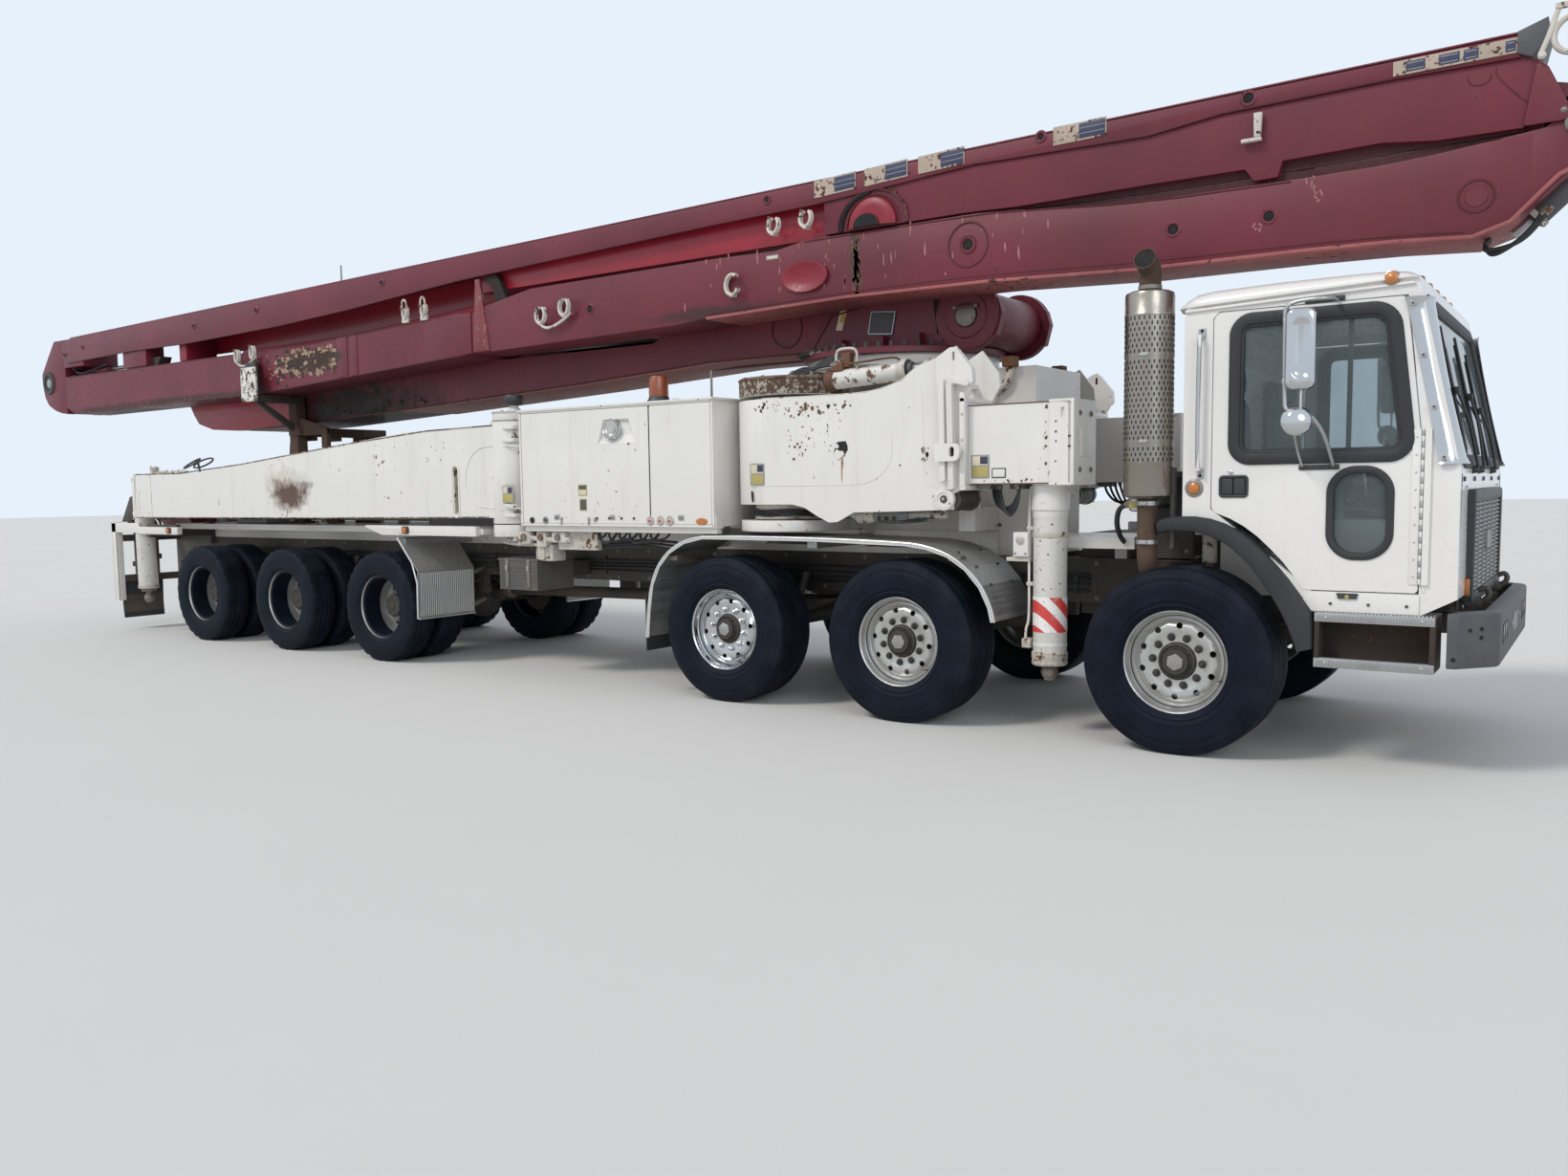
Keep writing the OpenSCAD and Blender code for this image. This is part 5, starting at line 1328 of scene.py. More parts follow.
def cab_skirts():
    """Flare over the front wheel, step box and grille seats in place of the plain trim solid."""
    p = Piece("cab_flares", "chassis", mirror=True)
    outer = [(-0.122, 1.35), (-0.085, 1.368), (-0.03, 1.379), (0.093, 1.379), (0.18, 1.366),
        (0.262, 1.338), (0.335, 1.298), (0.405, 1.246), (0.48, 1.175), (0.545, 1.104), (0.6, 1.038),
        (0.648, 0.972), (0.692, 0.912), (0.722, 0.868), (0.734, 0.8), (0.735, 0.668)]
    inner = [(-0.116, 1.278), (-0.08, 1.29), (-0.028, 1.296), (0.085, 1.292), (0.16, 1.276),
        (0.232, 1.246), (0.3, 1.202), (0.362, 1.146), (0.424, 1.076), (0.478, 1.0), (0.524, 0.928),
        (0.564, 0.86), (0.6, 0.784), (0.626, 0.716), (0.64, 0.68), (0.652, 0.645)]
    rings = []
    for i, (a, b) in enumerate(zip(outer, inner)):
        ax, az = a
        bx, bz = b
        thin = 0.7 if i == 0 else 1.0

        def between(t, y):
            return (bx + (ax - bx) * t, y, bz + (az - bz) * t)

        out = -1.15 - 0.07 * thin
        rings.append([between(1.0, -1.12), between(1.02, -1.165), between(0.98, out + 0.01),
            between(0.9, out), between(0.55, out - 0.004), between(0.22, out + 0.002),
            between(0.06, out + 0.01), between(0.0, out + 0.026), between(0.02, -1.12),
            between(0.12, -1.125), between(0.16, out + 0.034), between(0.3, out + 0.02),
            between(0.85, out + 0.02), between(0.9, -1.125)])
    p.loft(rings, "rubber")
    step_box(p)
    p.done(())
    # near-black sheet painted as the shade behind the grille
    g = Piece("grille_back", "chassis")
    g.slab(rounded(rect(-0.76, 0.76, 0.9, 1.5), 0.03, 3), 1.4103, 1.413, "hole", 0.0005, "yz")
    g.done(("cab_trim",))


cab_skirts()


def bumper():
    """Moulded bumper with angled corners, a stepped lower edge, bolt holes and lamps."""
    p = Piece("bumper_shell", "chassis")
    line = rounded([(1.368, -1.172), (1.414, -1.172), (1.59, -0.961), (1.59, 0.961), (1.414, 1.172),
        (1.368, 1.172)], [0, 0.04, 0.07, 0.07, 0.04, 0], 5)
    inner = []
    for i, q in enumerate(line):
        before = Vector(line[max(i - 1, 0)])
        after = Vector(line[min(i + 1, len(line) - 1)])
        d = (after - before).normalized()
        inner.append(Vector((-d.y, d.x)))
    rings = []
    for q, n in zip(line, inner):
        side = abs(q[1])
        low = 0.6 + (0.03 if side < 0.45 else 0.0)
        top = 0.89 - 0.02 * max(0.0, (1.4 - q[0]) / 0.1) * (1 if side > 1.1 else 0)
        sect = [(0.0, low + 0.018), (0.004, low + 0.006), (0.016, low), (0.05, low), (0.05, low + 0.012),
            (0.022, low + 0.014), (0.012, low + 0.024), (0.012, top - 0.024), (0.022, top - 0.014),
            (0.075, top - 0.012), (0.075, top), (0.018, top), (0.005, top - 0.006), (0.0, top - 0.018)]
        ring = []
        for off, z in sect:
            ring.append((q[0] + n.x * off, q[1] + n.y * off, z))
        rings.append(ring)
    p.loft(rings, "charcoal")
    for s in BOTH:
        p.box(1.25, 1.52, s * 0.39 - 0.035, s * 0.39 + 0.035, 0.7, 0.8155, "frame_black", 0.006)
        # bolt heads and holes on the corner
        for y, x, z in ((1.11, 1.466, 0.8), (1.055, 1.512, 0.805), (1.055, 1.512, 0.76),
                (1.171, 1.4, 0.65)):
            away = Vector((0.767, s * 0.641, 0)) if y < 1.16 else Vector((0, s, 0))
            # the holes are near-black discs painted as shade
            p.disc((x, s * y, z), away, 0.011, 0.004, "hole", 14)
        # lamps in the front face
        for y in (0.62, 0.76):
            box = rounded([(s * (y - 0.062), 0.715), (s * (y - 0.062), 0.8), (s * (y + 0.062), 0.8),
                (s * (y + 0.062), 0.715)], 0.012, 3)
            p.sweep(box, rect(-0.004, 0.01, 1.588, 1.594), "plastic", "yz")
            p.slab(box, 1.586, 1.592, "lens", 0.002, "yz")
        # tow hooks above the bumper
        p.tube([(1.43, s * 0.6, 0.885), (1.47, s * 0.6, 0.9), (1.51, s * 0.6, 0.945),
            (1.49, s * 0.6, 0.985), (1.45, s * 0.6, 0.965)], 0.016, "frame_black", 10)
        p.box(1.41, 1.47, s * 0.6 - 0.025, s * 0.6 + 0.025, 0.875, 0.915, "frame_black", 0.006)
        p.box(1.36, 1.43, s * 0.98 - 0.03, s * 0.98 + 0.03, 0.62, 0.83, "frame_black", 0.006)
    for y in (-0.28, 0.28):
        p.bolt((1.591, y, 0.76), FORE, 0.014, 0.01, "steel")
    p.box(1.5895, 1.594, -0.16, 0.16, 0.7, 0.8, "grey", 0.002)
    p.done(("front_bumper",))


bumper()


# Front outriggers

ARM_FACE = -1.2365
POST = (-2.91, -0.83, 0)
ARM_TOP = [(-3.3, 2.196), (-2.91, 2.198), (-2.3, 2.192), (-2.061, 2.196), (-1.932, 2.214),
    (-1.784, 2.257), (-1.701, 2.319), (-1.639, 2.352), (-1.508, 2.385)]


def arm_paint(p):
    """Near face of the arm: weld line of the doubler plate, rusty top edge, torn hole and chipped paint."""
    bead(p, [(-3.015, 1.586), (-2.3, 1.584), (-2.1, 1.588), (-1.98, 1.618), (-1.89, 1.69), (-1.85, 1.79),
        (-1.858, 1.925)], ARM_FACE, 0.0028, "white")
    bead(p, [(x, z + 0.001) for x, z in ARM_TOP[1:]], ARM_FACE + 0.004, 0.0045, "dull_white", 1)
    bead(p, [(-1.64, 2.2), (-1.622, 2.14), (-1.62, 1.66), (-1.6, 1.575), (-1.52, 1.56)], ARM_FACE,
        0.0022, "white")
    # torn hole, a near-black flake painted as shade, with a curl of paint and a rust run
    flake(p, -2.253, 1.822, ARM_FACE, 0.058, "hole", 0.5, 13)
    flake(p, -2.262, 1.79, ARM_FACE - 0.004, 0.034, "white", 0.6, 9, 0.003)
    flake(p, -2.285, 1.85, ARM_FACE - 0.003, 0.018, "white", 0.6, 8, 0.003)
    flake(p, -2.246, 1.7, ARM_FACE, 0.0055, "rust_run", 0.3, 12, tall=17.0)
    flake(p, -2.238, 1.735, ARM_FACE, 0.004, "rust_run", 0.3, 12, tall=9.0)
    # chipped paint
    flakes(p, 62, -2.98, -2.12, 2.02, 2.19, ARM_FACE, 0.003, 0.016, "chip")
    flakes(p, 34, -2.75, -2.4, 1.74, 2.02, ARM_FACE, 0.003, 0.011, "chip")
    flakes(p, 16, -3.01, -2.7, 2.1, 2.19, ARM_FACE, 0.004, 0.013, "chip")
    flakes(p, 10, -1.66, -1.55, 1.7, 1.84, ARM_FACE, 0.004, 0.016, "chip", 1.8)
    # thin near-black slit painted as shade
    flake(p, -3.005, 1.515, ARM_FACE, 0.01, "hole", 0.5, 10, tall=5.0)
    tag(p, -3.02, -2.895, 1.59, 1.745, ARM_FACE, "grey", "yellow", (0.5, "cream"))
    p.box(-2.957, -2.904, ARM_FACE - 0.0032, ARM_FACE, 1.686, 1.735, "navy", 0.0008)


def arm_mouth(p):
    """Tower cap with a small slot, ribs, wear pads and pad eye at the arm's mouth."""
    cap = rounded([(-1.516, 1.9), (-1.516, 2.38), (-1.392, 2.455), (-1.266, 2.3), (-1.258, 2.212),
        (-1.3, 2.185), (-1.446, 2.235), (-1.492, 2.12), (-1.496, 1.9)], [0.004, 0.02, 0.05, 0.03, 0.02,
        0.02, 0.03, 0.04, 0.004], 4)
    panel(p, cap, [slot_line(-1.401, -1.383, 2.355, 2.412)], -1.264, -1.214, "white", 0.004)
    # near-black sheet behind the slot, painted shade
    p.slab(slot_line(-1.406, -1.378, 2.35, 2.417), -1.216, -1.2145, "hole", 0.0)
    # two upright ribs beside the mouth and the rim of the box behind them
    p.slab(rounded([(-1.478, 1.6), (-1.484, 2.225), (-1.47, 2.248), (-1.446, 2.24), (-1.437, 1.6)], 0.01,
        3), -1.3, -1.23, "white", 0.006)
    p.slab(rounded([(-1.418, 1.548), (-1.434, 2.2), (-1.412, 2.262), (-1.3, 2.236), (-1.266, 2.205),
        (-1.29, 2.19), (-1.392, 2.215), (-1.38, 1.545)], 0.012, 3), -1.292, -1.23, "white", 0.006)
    p.slab(rounded([(-1.352, 1.56), (-1.352, 2.16), (-1.316, 2.15), (-1.316, 1.56)], 0.008, 2), -1.262,
        -1.216, "white", 0.005)
    for z in (1.556, 2.108):
        p.box(-1.352, -1.312, -1.262, -0.846, z - 0.014, z + 0.014, "white", 0.004)
    p.box(-1.352, -1.312, -0.862, -0.836, 1.556, 2.12, "white", 0.004)
    # bolted wear pads at the mouth
    for z in (1.66, 1.86, 2.02):
        p.box(-1.35, -1.322, -1.222, -1.207, z - 0.045, z + 0.045, "grey", 0.002)
        p.bolt((-1.333, -1.262, z), OUT, 0.009, 0.007, "dull_white", False)
    # pad eye with a slotted hole
    eye = rounded([(-1.5, 1.724), (-1.5, 1.84), (-1.334, 1.836), (-1.322, 1.786), (-1.334, 1.726)],
        [0.004, 0.006, 0.045, 0.03, 0.045], 5)
    panel(p, eye, [slot_line(-1.394, -1.36, 1.752, 1.816)], -1.322, -1.296, "white", 0.004)
    # near-black sheet behind the slot, painted shade
    p.slab(slot_line(-1.4, -1.354, 1.746, 1.822), -1.297, -1.2945, "hole", 0.0)


def arm_boss(p):
    """Round boss below with its pin, and the roller between the plates."""
    boss = (-1.468, -1.236, 1.486)
    p.lathe([(0.074, -0.004), (0.076, 0.006), (0.07, 0.02), (0.046, 0.024), (0.042, 0.018),
        (0.026, 0.016)], boss, OUT, "white", 36)
    p.lathe([(0.026, 0.014), (0.024, 0.022), (0.0, 0.022)], boss, OUT, "frame_black", 24)
    p.disc((boss[0], boss[1] - 0.022, boss[2]), OUT, 0.01, 0.006, "steel", 12)
    p.rod((-1.468, -1.212, 1.486), (-1.468, -0.864, 1.486), 0.078, "frame_black", 32, 0.01)
    for y in (-1.19, -0.9):
        strap(p, (-1.468, y, 1.486), LEFT, 0.079, 0.024, "worn_steel", 0.005)


def arm_cylinders(p):
    """Cylinder under the plate and the swing cylinder on top, with hoses, clamps and gussets."""
    p.rod((-2.2, -1.1, 1.372), (-2.06, -1.1, 1.376), 0.05, "dull_white", 24)
    p.rod((-2.06, -1.1, 1.376), (-1.8, -1.1, 1.378), 0.036, "grey", 20)
    p.rod((-1.8, -1.1, 1.378), (-1.52, -1.1, 1.384), 0.026, "dull_white", 16)
    p.rod((-2.13, -1.13, 1.37), (-2.13, -1.07, 1.42), 0.022, "dull_white", 12)
    for k in range(3):
        hose(p, [(-2.02 + 0.06 * k, -1.14, 1.36), (-1.98 + 0.05 * k, -1.19, 1.335),
            (-1.85 + 0.04 * k, -1.17, 1.335), (-1.72 + 0.05 * k, -1.12, 1.352)], 0.009)
    # swing cylinder that lies on the arm, its ports, hoses and clamps
    a, b = Vector((-2.5, -0.955, 2.318)), Vector((-1.905, -0.955, 2.352))
    d = (b - a).normalized()
    p.rod(a, b, 0.066, "peeling", 36, 0.012)
    for t, r, w in ((0.0, 0.074, 0.05), (0.055, 0.071, 0.02), (0.95, 0.072, 0.028), (1.0, 0.076, 0.05)):
        strap(p, a.lerp(b, t), d, r - 0.006, w, "rust" if t < 0.1 else "dull_white", 0.007)
    p.rod(b, b + d * 0.06, 0.052, "charcoal", 24)
    p.rod(b + d * 0.05, b + d * 0.16, 0.03, "steel", 20)
    p.ring(b + d * 0.18, LEFT, 0.038, 0.018, "dull_white", 24)
    p.box(-2.47, -2.38, -1.01, -0.9, 2.375, 2.44, "rust", 0.008)
    p.box(-2.4, -2.33, -0.99, -0.93, 2.4, 2.5, "rust", 0.006)
    p.tube([(-2.44, -0.99, 2.45), (-2.44, -0.99, 2.52), (-2.36, -0.99, 2.53), (-2.27, -0.99, 2.52),
        (-2.27, -0.99, 2.42), (-2.27, -0.99, 2.385)], 0.01, "dull_white", 8)
    p.tube([(-1.93, -1.0, 2.42), (-1.95, -1.03, 2.44), (-2.3, -1.02, 2.415), (-2.36, -0.98, 2.43)],
        0.008, "rust", 8)
    for k in range(5):
        z = 2.4 + 0.018 * k
        hose(p, [(-2.44 + 0.02 * k, -1.0 + 0.02 * k, z + 0.02), (-2.58, -1.02 + 0.03 * k, z + 0.015),
            (-2.74, -0.98 + 0.04 * k, z - 0.05), (-2.9 + 0.015 * k, -0.93 + 0.03 * k, z - 0.03),
            (-2.98, -0.84 + 0.02 * k, z - 0.06)], 0.011 + 0.002 * (k % 2))
    for x in (-2.8, -2.62):
        p.box(x - 0.012, x + 0.012, -1.04, -0.82, 2.36, 2.385, "worn_steel", 0.003)
        p.box(x - 0.01, x + 0.01, -1.02, -1.0, 2.19, 2.37, "worn_steel", 0.003)
    # stiffener gussets along the top plate
    for x in (-2.15, -1.85):
        p.slab([(x - 0.2, 2.121), (x, 2.175), (x + 0.16, 2.121)], -1.05, -1.035, "white", 0.003)


def arm_post(p):
    """Flange at the bottom of the post, with bolts and grease lines."""
    for z, r in ((1.358, 0.3), (1.438, 0.296)):
        strap(p, (-2.91, -0.83, z), UP, r - 0.012, 0.022, "dull_white", 0.012)
    for dy, dx in spokes(16, 0.275):
        p.bolt((-2.91 + dx, -0.83 + dy, 1.35), DOWN, 0.011, 0.006, "worn_steel", False)
    for k in range(3):
        r = 0.306
        pts = []
        for j in range(7):
            a = math.radians(-150 + 25 * j + 8 * k)
            pts.append((-2.91 + r * math.cos(a), -0.83 + r * math.sin(a), 1.375 + 0.018 * k + 0.006
                * math.sin(j * 2.1 + k)))
        hose(p, pts, 0.008, "rubber", False)


def front_arms():
    """Swinging arm of the front outrigger and its post."""
    p = Piece("front_arm_detail", "front_arm_#", mirror=True)
    arm_paint(p)
    arm_mouth(p)
    arm_boss(p)
    arm_cylinders(p)
    arm_post(p)
    p.done(())


def jack_chips(p, count, x, y, low, tall, r, small, more):
    """Chipped paint on the near half of a jack's tube of radius r, from height low upward."""
    for _ in range(count):
        a = math.radians(-160 + 150 * random.random())
        z = low + tall * random.random()
        n = Vector((math.cos(a), math.sin(a), 0))
        size = small + more * random.random() ** 2
        p.lathe([(0.0, 0.0012), (size, 0.001), (size * 1.1, 0.0)], Vector((x, y, z)) + n * r, n, "chip",
            7)


def beam_collar(p):
    """End collar of the telescope in folded plate, its stiffener and slots."""
    panel(p, rounded([(-0.77, 1.572), (-0.77, 2.078), (-0.652, 2.062), (-0.652, 1.572)],
        [0.004, 0.004, 0.02, 0.01], 3), [slot_line(-0.7, -0.676, 1.975, 2.035)], -1.216, -1.203, "white",
        0.003)
    p.box(-0.632, -0.612, -1.228, -0.86, 1.572, 2.076, "white", 0.006)
    p.box(-0.775, -0.612, -1.22, -0.862, 2.068, 2.084, "white", 0.004)
    p.box(-0.775, -0.612, -1.22, -0.862, 1.566, 1.582, "white", 0.004)
    # near-black sheet and discs painted as the shade in the slot and the holes
    p.slab(slot_line(-0.704, -0.672, 1.97, 2.04), -1.2035, -1.2015, "hole", 0.0)
    for z in (1.86, 1.8):
        for x in (-0.648, -0.636):
            p.disc((x, -1.217, z), OUT, 0.006, 0.002, "hole", 10)
    for z in (1.95, 1.89, 1.83, 1.71):
        flake(p, -0.73, z, -1.2165, 0.007, "chip", 0.7, 7)
    for y, z in ((-1.13, 1.66), (-1.13, 2.0), (-0.95, 1.66), (-0.95, 2.0)):
        p.bolt((-0.612, y, z), FORE, 0.013, 0.01, "worn_steel")
    p.box(-0.6125, -0.606, -1.12, -0.96, 1.74, 1.9, "white", 0.003)


def beam_paint(p):
    """Rusty edges, chips and blank plates of the telescope."""
    bead(p, [(-1.3, 2.0705), (-1.1, 2.0715), (-0.775, 2.071)], -1.204, 0.0042, "rust", 1)
    bead(p, [(-1.3, 1.5795), (-1.0, 1.579), (-0.775, 1.5795)], -1.204, 0.0042, "rust", 1)
    flakes(p, 14, -1.28, -0.8, 1.585, 1.61, -1.2045, 0.003, 0.01, "chip")
    flakes(p, 12, -0.82, -0.78, 1.65, 2.05, -1.2045, 0.003, 0.009, "chip", 1.6)
    tag(p, -1.298, -1.172, 1.615, 1.762, -1.2045, "grey", "yellow", (0.5, "cream"))
    p.box(-1.235, -1.182, -1.2075, -1.204, 1.704, 1.752, "navy", 0.0008)
    tag(p, -1.156, -1.06, 1.615, 1.678, -1.2045, "charcoal", "white", None)


def beam_jack(p):
    """Jack: head collar, bands, warning sleeve and the pipe beside it."""
    x, y = -0.835, -1.038
    p.lathe([(0.104, 1.36), (0.108, 1.37), (0.108, 1.405), (0.117, 1.415), (0.117, 1.565)], (x, y, 0),
        UP, "white", 40)
    p.lathe([(0.1043, 0.872), (0.1062, 0.87), (0.1062, 0.654), (0.1043, 0.652)], (x, y, 0), UP, "band",
        40)
    p.lathe([(0.1045, 0.585), (0.107, 0.58), (0.107, 0.562), (0.1045, 0.557)], (x, y, 0), UP, "white", 40)
    p.lathe([(0.104, 0.53), (0.112, 0.522), (0.113, 0.49), (0.109, 0.47), (0.113, 0.455), (0.106, 0.442),
        (0.08, 0.44)], (x, y, 0), UP, "dirty_white", 40)
    p.lathe([(0.1045, 1.28), (0.1075, 1.275), (0.1075, 1.245), (0.1045, 1.24)], (x, y, 0), UP,
        "dull_white", 40)
    jack_chips(p, 44, x, y, 0.9, 0.48, 0.1035, 0.002, 0.005)
    p.tube([(x - 0.117, y - 0.03, 1.56), (x - 0.128, y - 0.03, 1.45), (x - 0.128, y - 0.03, 1.0),
        (x - 0.126, y - 0.03, 0.72), (x - 0.15, y - 0.03, 0.66), (x - 0.15, y - 0.03, 0.6)], 0.0085,
        "white", 8)
    p.box(x - 0.165, x - 0.105, y - 0.06, y + 0.0, 0.545, 0.605, "dull_white", 0.006)
    for z in (1.3, 0.95):
        p.box(x - 0.14, x - 0.095, y - 0.045, y - 0.015, z - 0.012, z + 0.012, "dull_white", 0.003)


def beam_hoses(p):
    """Hoses that hang below the telescope."""
    for k in range(4):
        hose(p, [(-1.24 + 0.03 * k, -1.0 - 0.03 * k, 1.575), (-1.23 + 0.03 * k, -1.02 - 0.03 * k, 1.5),
            (-1.17 + 0.03 * k, -1.06 - 0.02 * k, 1.42 - 0.02 * k), (-1.07 + 0.02 * k, -1.09 - 0.02 * k,
            1.43), (-1.02 + 0.01 * k, -1.1 - 0.02 * k, 1.52), (-1.01, -1.1 - 0.02 * k, 1.575)], 0.01)
    p.box(-1.29, -1.2, -1.13, -0.98, 1.545, 1.58, "worn_steel", 0.005)
    p.box(-1.06, -0.96, -1.15, -1.04, 1.545, 1.58, "frame_black", 0.005)


def front_beams():
    """Telescope and jack of the front outrigger."""
    p = Piece("front_beam_detail", "front_beam_#", mirror=True)
    beam_collar(p)
    beam_paint(p)
    beam_jack(p)
    beam_hoses(p)
    p.done(())


front_arms()
front_beams()


# Tool box, its doors and the rail with sockets below it

BOX_FACE = -1.262


def door_outline(x0, x1):
    """Outline of a tool box door."""
    return rounded(rect(x0, x1, 1.31, 2.2), 0.012, 3)


def near_door(p, x0, x1, holes):
    """Sheet of a door on the near side with its folded rim."""
    line = door_outline(x0, x1)
    panel(p, line, holes, BOX_FACE, BOX_FACE + 0.03, "white", 0.004)
    p.sweep(line, [(-0.006, BOX_FACE + 0.002), (-0.006, BOX_FACE + 0.04), (-0.03, BOX_FACE + 0.04),
        (-0.03, BOX_FACE + 0.028)], "white")


def latch(p, x):
    """Flush latch at a door's lower edge."""
    p.slab(rounded(rect(x - 0.03, x + 0.03, 1.338, 1.38), 0.01, 3), BOX_FACE - 0.003, BOX_FACE, "steel",
        0.001)
    p.box(x - 0.018, x + 0.018, BOX_FACE - 0.008, BOX_FACE - 0.002, 1.348, 1.366, "worn_steel", 0.002)


def rear_door():
    """Rear door with the slanted recess of the work lamp."""
    p = Piece("box_door_rear", "box_door_rear_r")
    corners = [(-4.489, 1.928), (-4.424, 2.117), (-4.157, 2.117), (-4.095, 1.928)]
    near_door(p, -5.35, -3.96, [rounded(corners, 0.006, 2)])
    # recess: sloped floor that leans back, side walls and the back sheet
    y0, y1 = BOX_FACE + 0.002, BOX_FACE + 0.0285
    back = [(-4.44, 2.0), (-4.41, 2.1), (-4.172, 2.1), (-4.142, 2.0)]
    rings = [[(q[0], y0, q[1]) for q in corners], [(q[0], y1, q[1]) for q in back]]
    p.loft(rings, "white", caps=False)
    p.slab(back, y1 - 0.001, y1 + 0.003, "white", 0.0)
    # round lamp: ring, reflector and domed glass
    center = (-4.335, BOX_FACE + 0.024, 2.036)
    aim = (0, -1, 0.05)
    p.lathe([(0.0, 0.0), (0.04, 0.004), (0.07, 0.022), (0.076, 0.034), (0.082, 0.038), (0.085, 0.03),
        (0.083, 0.0), (0.06, -0.02)], center, aim, "chrome", 40)
    p.lathe([(0.075, 0.034), (0.06, 0.044), (0.03, 0.05), (0.0, 0.052)], center, aim, "lens", 40)
    p.lathe([(0.02, 0.006), (0.018, 0.022), (0.0, 0.026)], center, aim, "chrome", 20)
    for k in range(3):
        t = 2 * math.pi * k / 3 + 0.6
        p.bolt((center[0] + 0.079 * math.cos(t), center[1] - 0.036, center[2] + 0.079 * math.sin(t)),
            OUT, 0.004, 0.003, "steel", False)
    # blank plates and the two latches
    tag(p, -4.712, -4.615, 1.528, 1.618, BOX_FACE, "yellow", "cream", (0.5, "charcoal"))
    tag(p, -4.7, -4.62, 1.41, 1.506, BOX_FACE, "yellow", "charcoal")
    latch(p, -4.96)
    latch(p, -4.35)
    for _ in range(12):
        flake(p, random.uniform(-5.3, -4.0), random.uniform(1.33, 1.5), BOX_FACE, 0.004, "chip", 0.7, 7)
    p.done(("box_door_rear_r",))


def front_door():
    """Plain door next to the turret."""
    p = Piece("box_door_front", "box_door_front_r")
    near_door(p, -3.948, -3.36, [])
    p.box(-3.9, -3.41, BOX_FACE + 0.03, BOX_FACE + 0.05, 1.6, 1.66, "white", 0.006)
    latch(p, -3.65)
    p.done(("box_door_front_r",))


def far_door():
    """Single wide door on the left side."""
    p = Piece("box_door_far", "box_door_l")
    panel(p, door_outline(-5.35, -3.36), [], -BOX_FACE, -BOX_FACE - 0.03, "white", 0.004)
    for x in (-4.9, -4.35, -3.8):
        p.box(x - 0.03, x + 0.03, -BOX_FACE - 0.001, -BOX_FACE + 0.006, 1.336, 1.378, "steel", 0.002)
        p.box(x - 0.25, x + 0.25, -BOX_FACE - 0.055, -BOX_FACE - 0.029, 1.7, 1.76, "white", 0.006)
    p.done(("box_door_l",))


def box_rail(p):
    """Things on the near rail: sockets, blank plates and lamps."""
    y = -1.2525
    for x, r, mat in ((-5.247, 0.026, "plastic"), (-5.089, 0.03, "grey")):
        if mat == "grey":
            p.slab(rounded(rect(x - 0.072, x + 0.072, 1.29, 1.374), 0.006, 2), y - 0.004, y, "cream",
                0.001)
        p.lathe([(r, 0.0), (r, 0.016), (r - 0.006, 0.02), (r - 0.01, 0.012), (0.0, 0.01)], (x, y, 1.333),
            OUT, mat, 24)
        # near-black disc painted as the shade inside the socket
        p.disc((x, y - 0.01, 1.333), OUT, r * 0.35, 0.006, "hole", 12)
    p.slab(slot_line(-4.962, -4.938, 1.3, 1.366), y - 0.004, y, "plastic", 0.001)
    for x in (-4.905, -4.6):
        p.rod((x, y, 1.35), (x, y - 0.022, 1.35), 0.012, "steel", 14)
        p.box(x - 0.004, x + 0.004, y - 0.024, y - 0.002, 1.296, 1.35, "steel", 0.002)
    tag(p, -4.886, -4.64, 1.29, 1.338, y, "yellow", "cream")
    for x in (-4.532, -4.402, -4.272, -4.142):
        w = 0.105 if x > -4.5 else 0.06
        tag(p, x - w / 2, x + w / 2, 1.29, 1.322, y, "yellow", "cream")
        p.rod((x + 0.02, y, 1.352), (x + 0.02, y - 0.018, 1.352), 0.01, "plastic", 12)
    p.rod((-4.532, y, 1.34), (-4.532, y - 0.014, 1.34), 0.02, "grey", 16)
    for x in (-3.954, -3.852, -3.759):
        p.lathe([(0.04, 0.0), (0.041, 0.01), (0.034, 0.014)], (x, y, 1.333), OUT, "dull_white", 28)
        p.lathe([(0.034, 0.01), (0.026, 0.02), (0.0, 0.024)], (x, y, 1.333), OUT, "pale_lens", 28)
        p.disc((x, y - 0.022, 1.333), OUT, 0.01, 0.003, "red_lens", 12)
    tag(p, -3.684, -3.551, 1.297, 1.374, y, "grey", "tag_green")
    oval = [(-3.452 + 0.062 * dx, 1.333 + 0.034 * dz) for dz, dx in spokes(28, 1.0)]
    p.slab(oval, y - 0.006, y, "plastic", 0.002)
    p.slab(outward(oval, -0.009), y - 0.02, y - 0.004, "amber", 0.006)
    for x in (-5.36, -3.36):
        p.bolt((x, y, 1.352), OUT, 0.008, 0.005, "worn_steel")


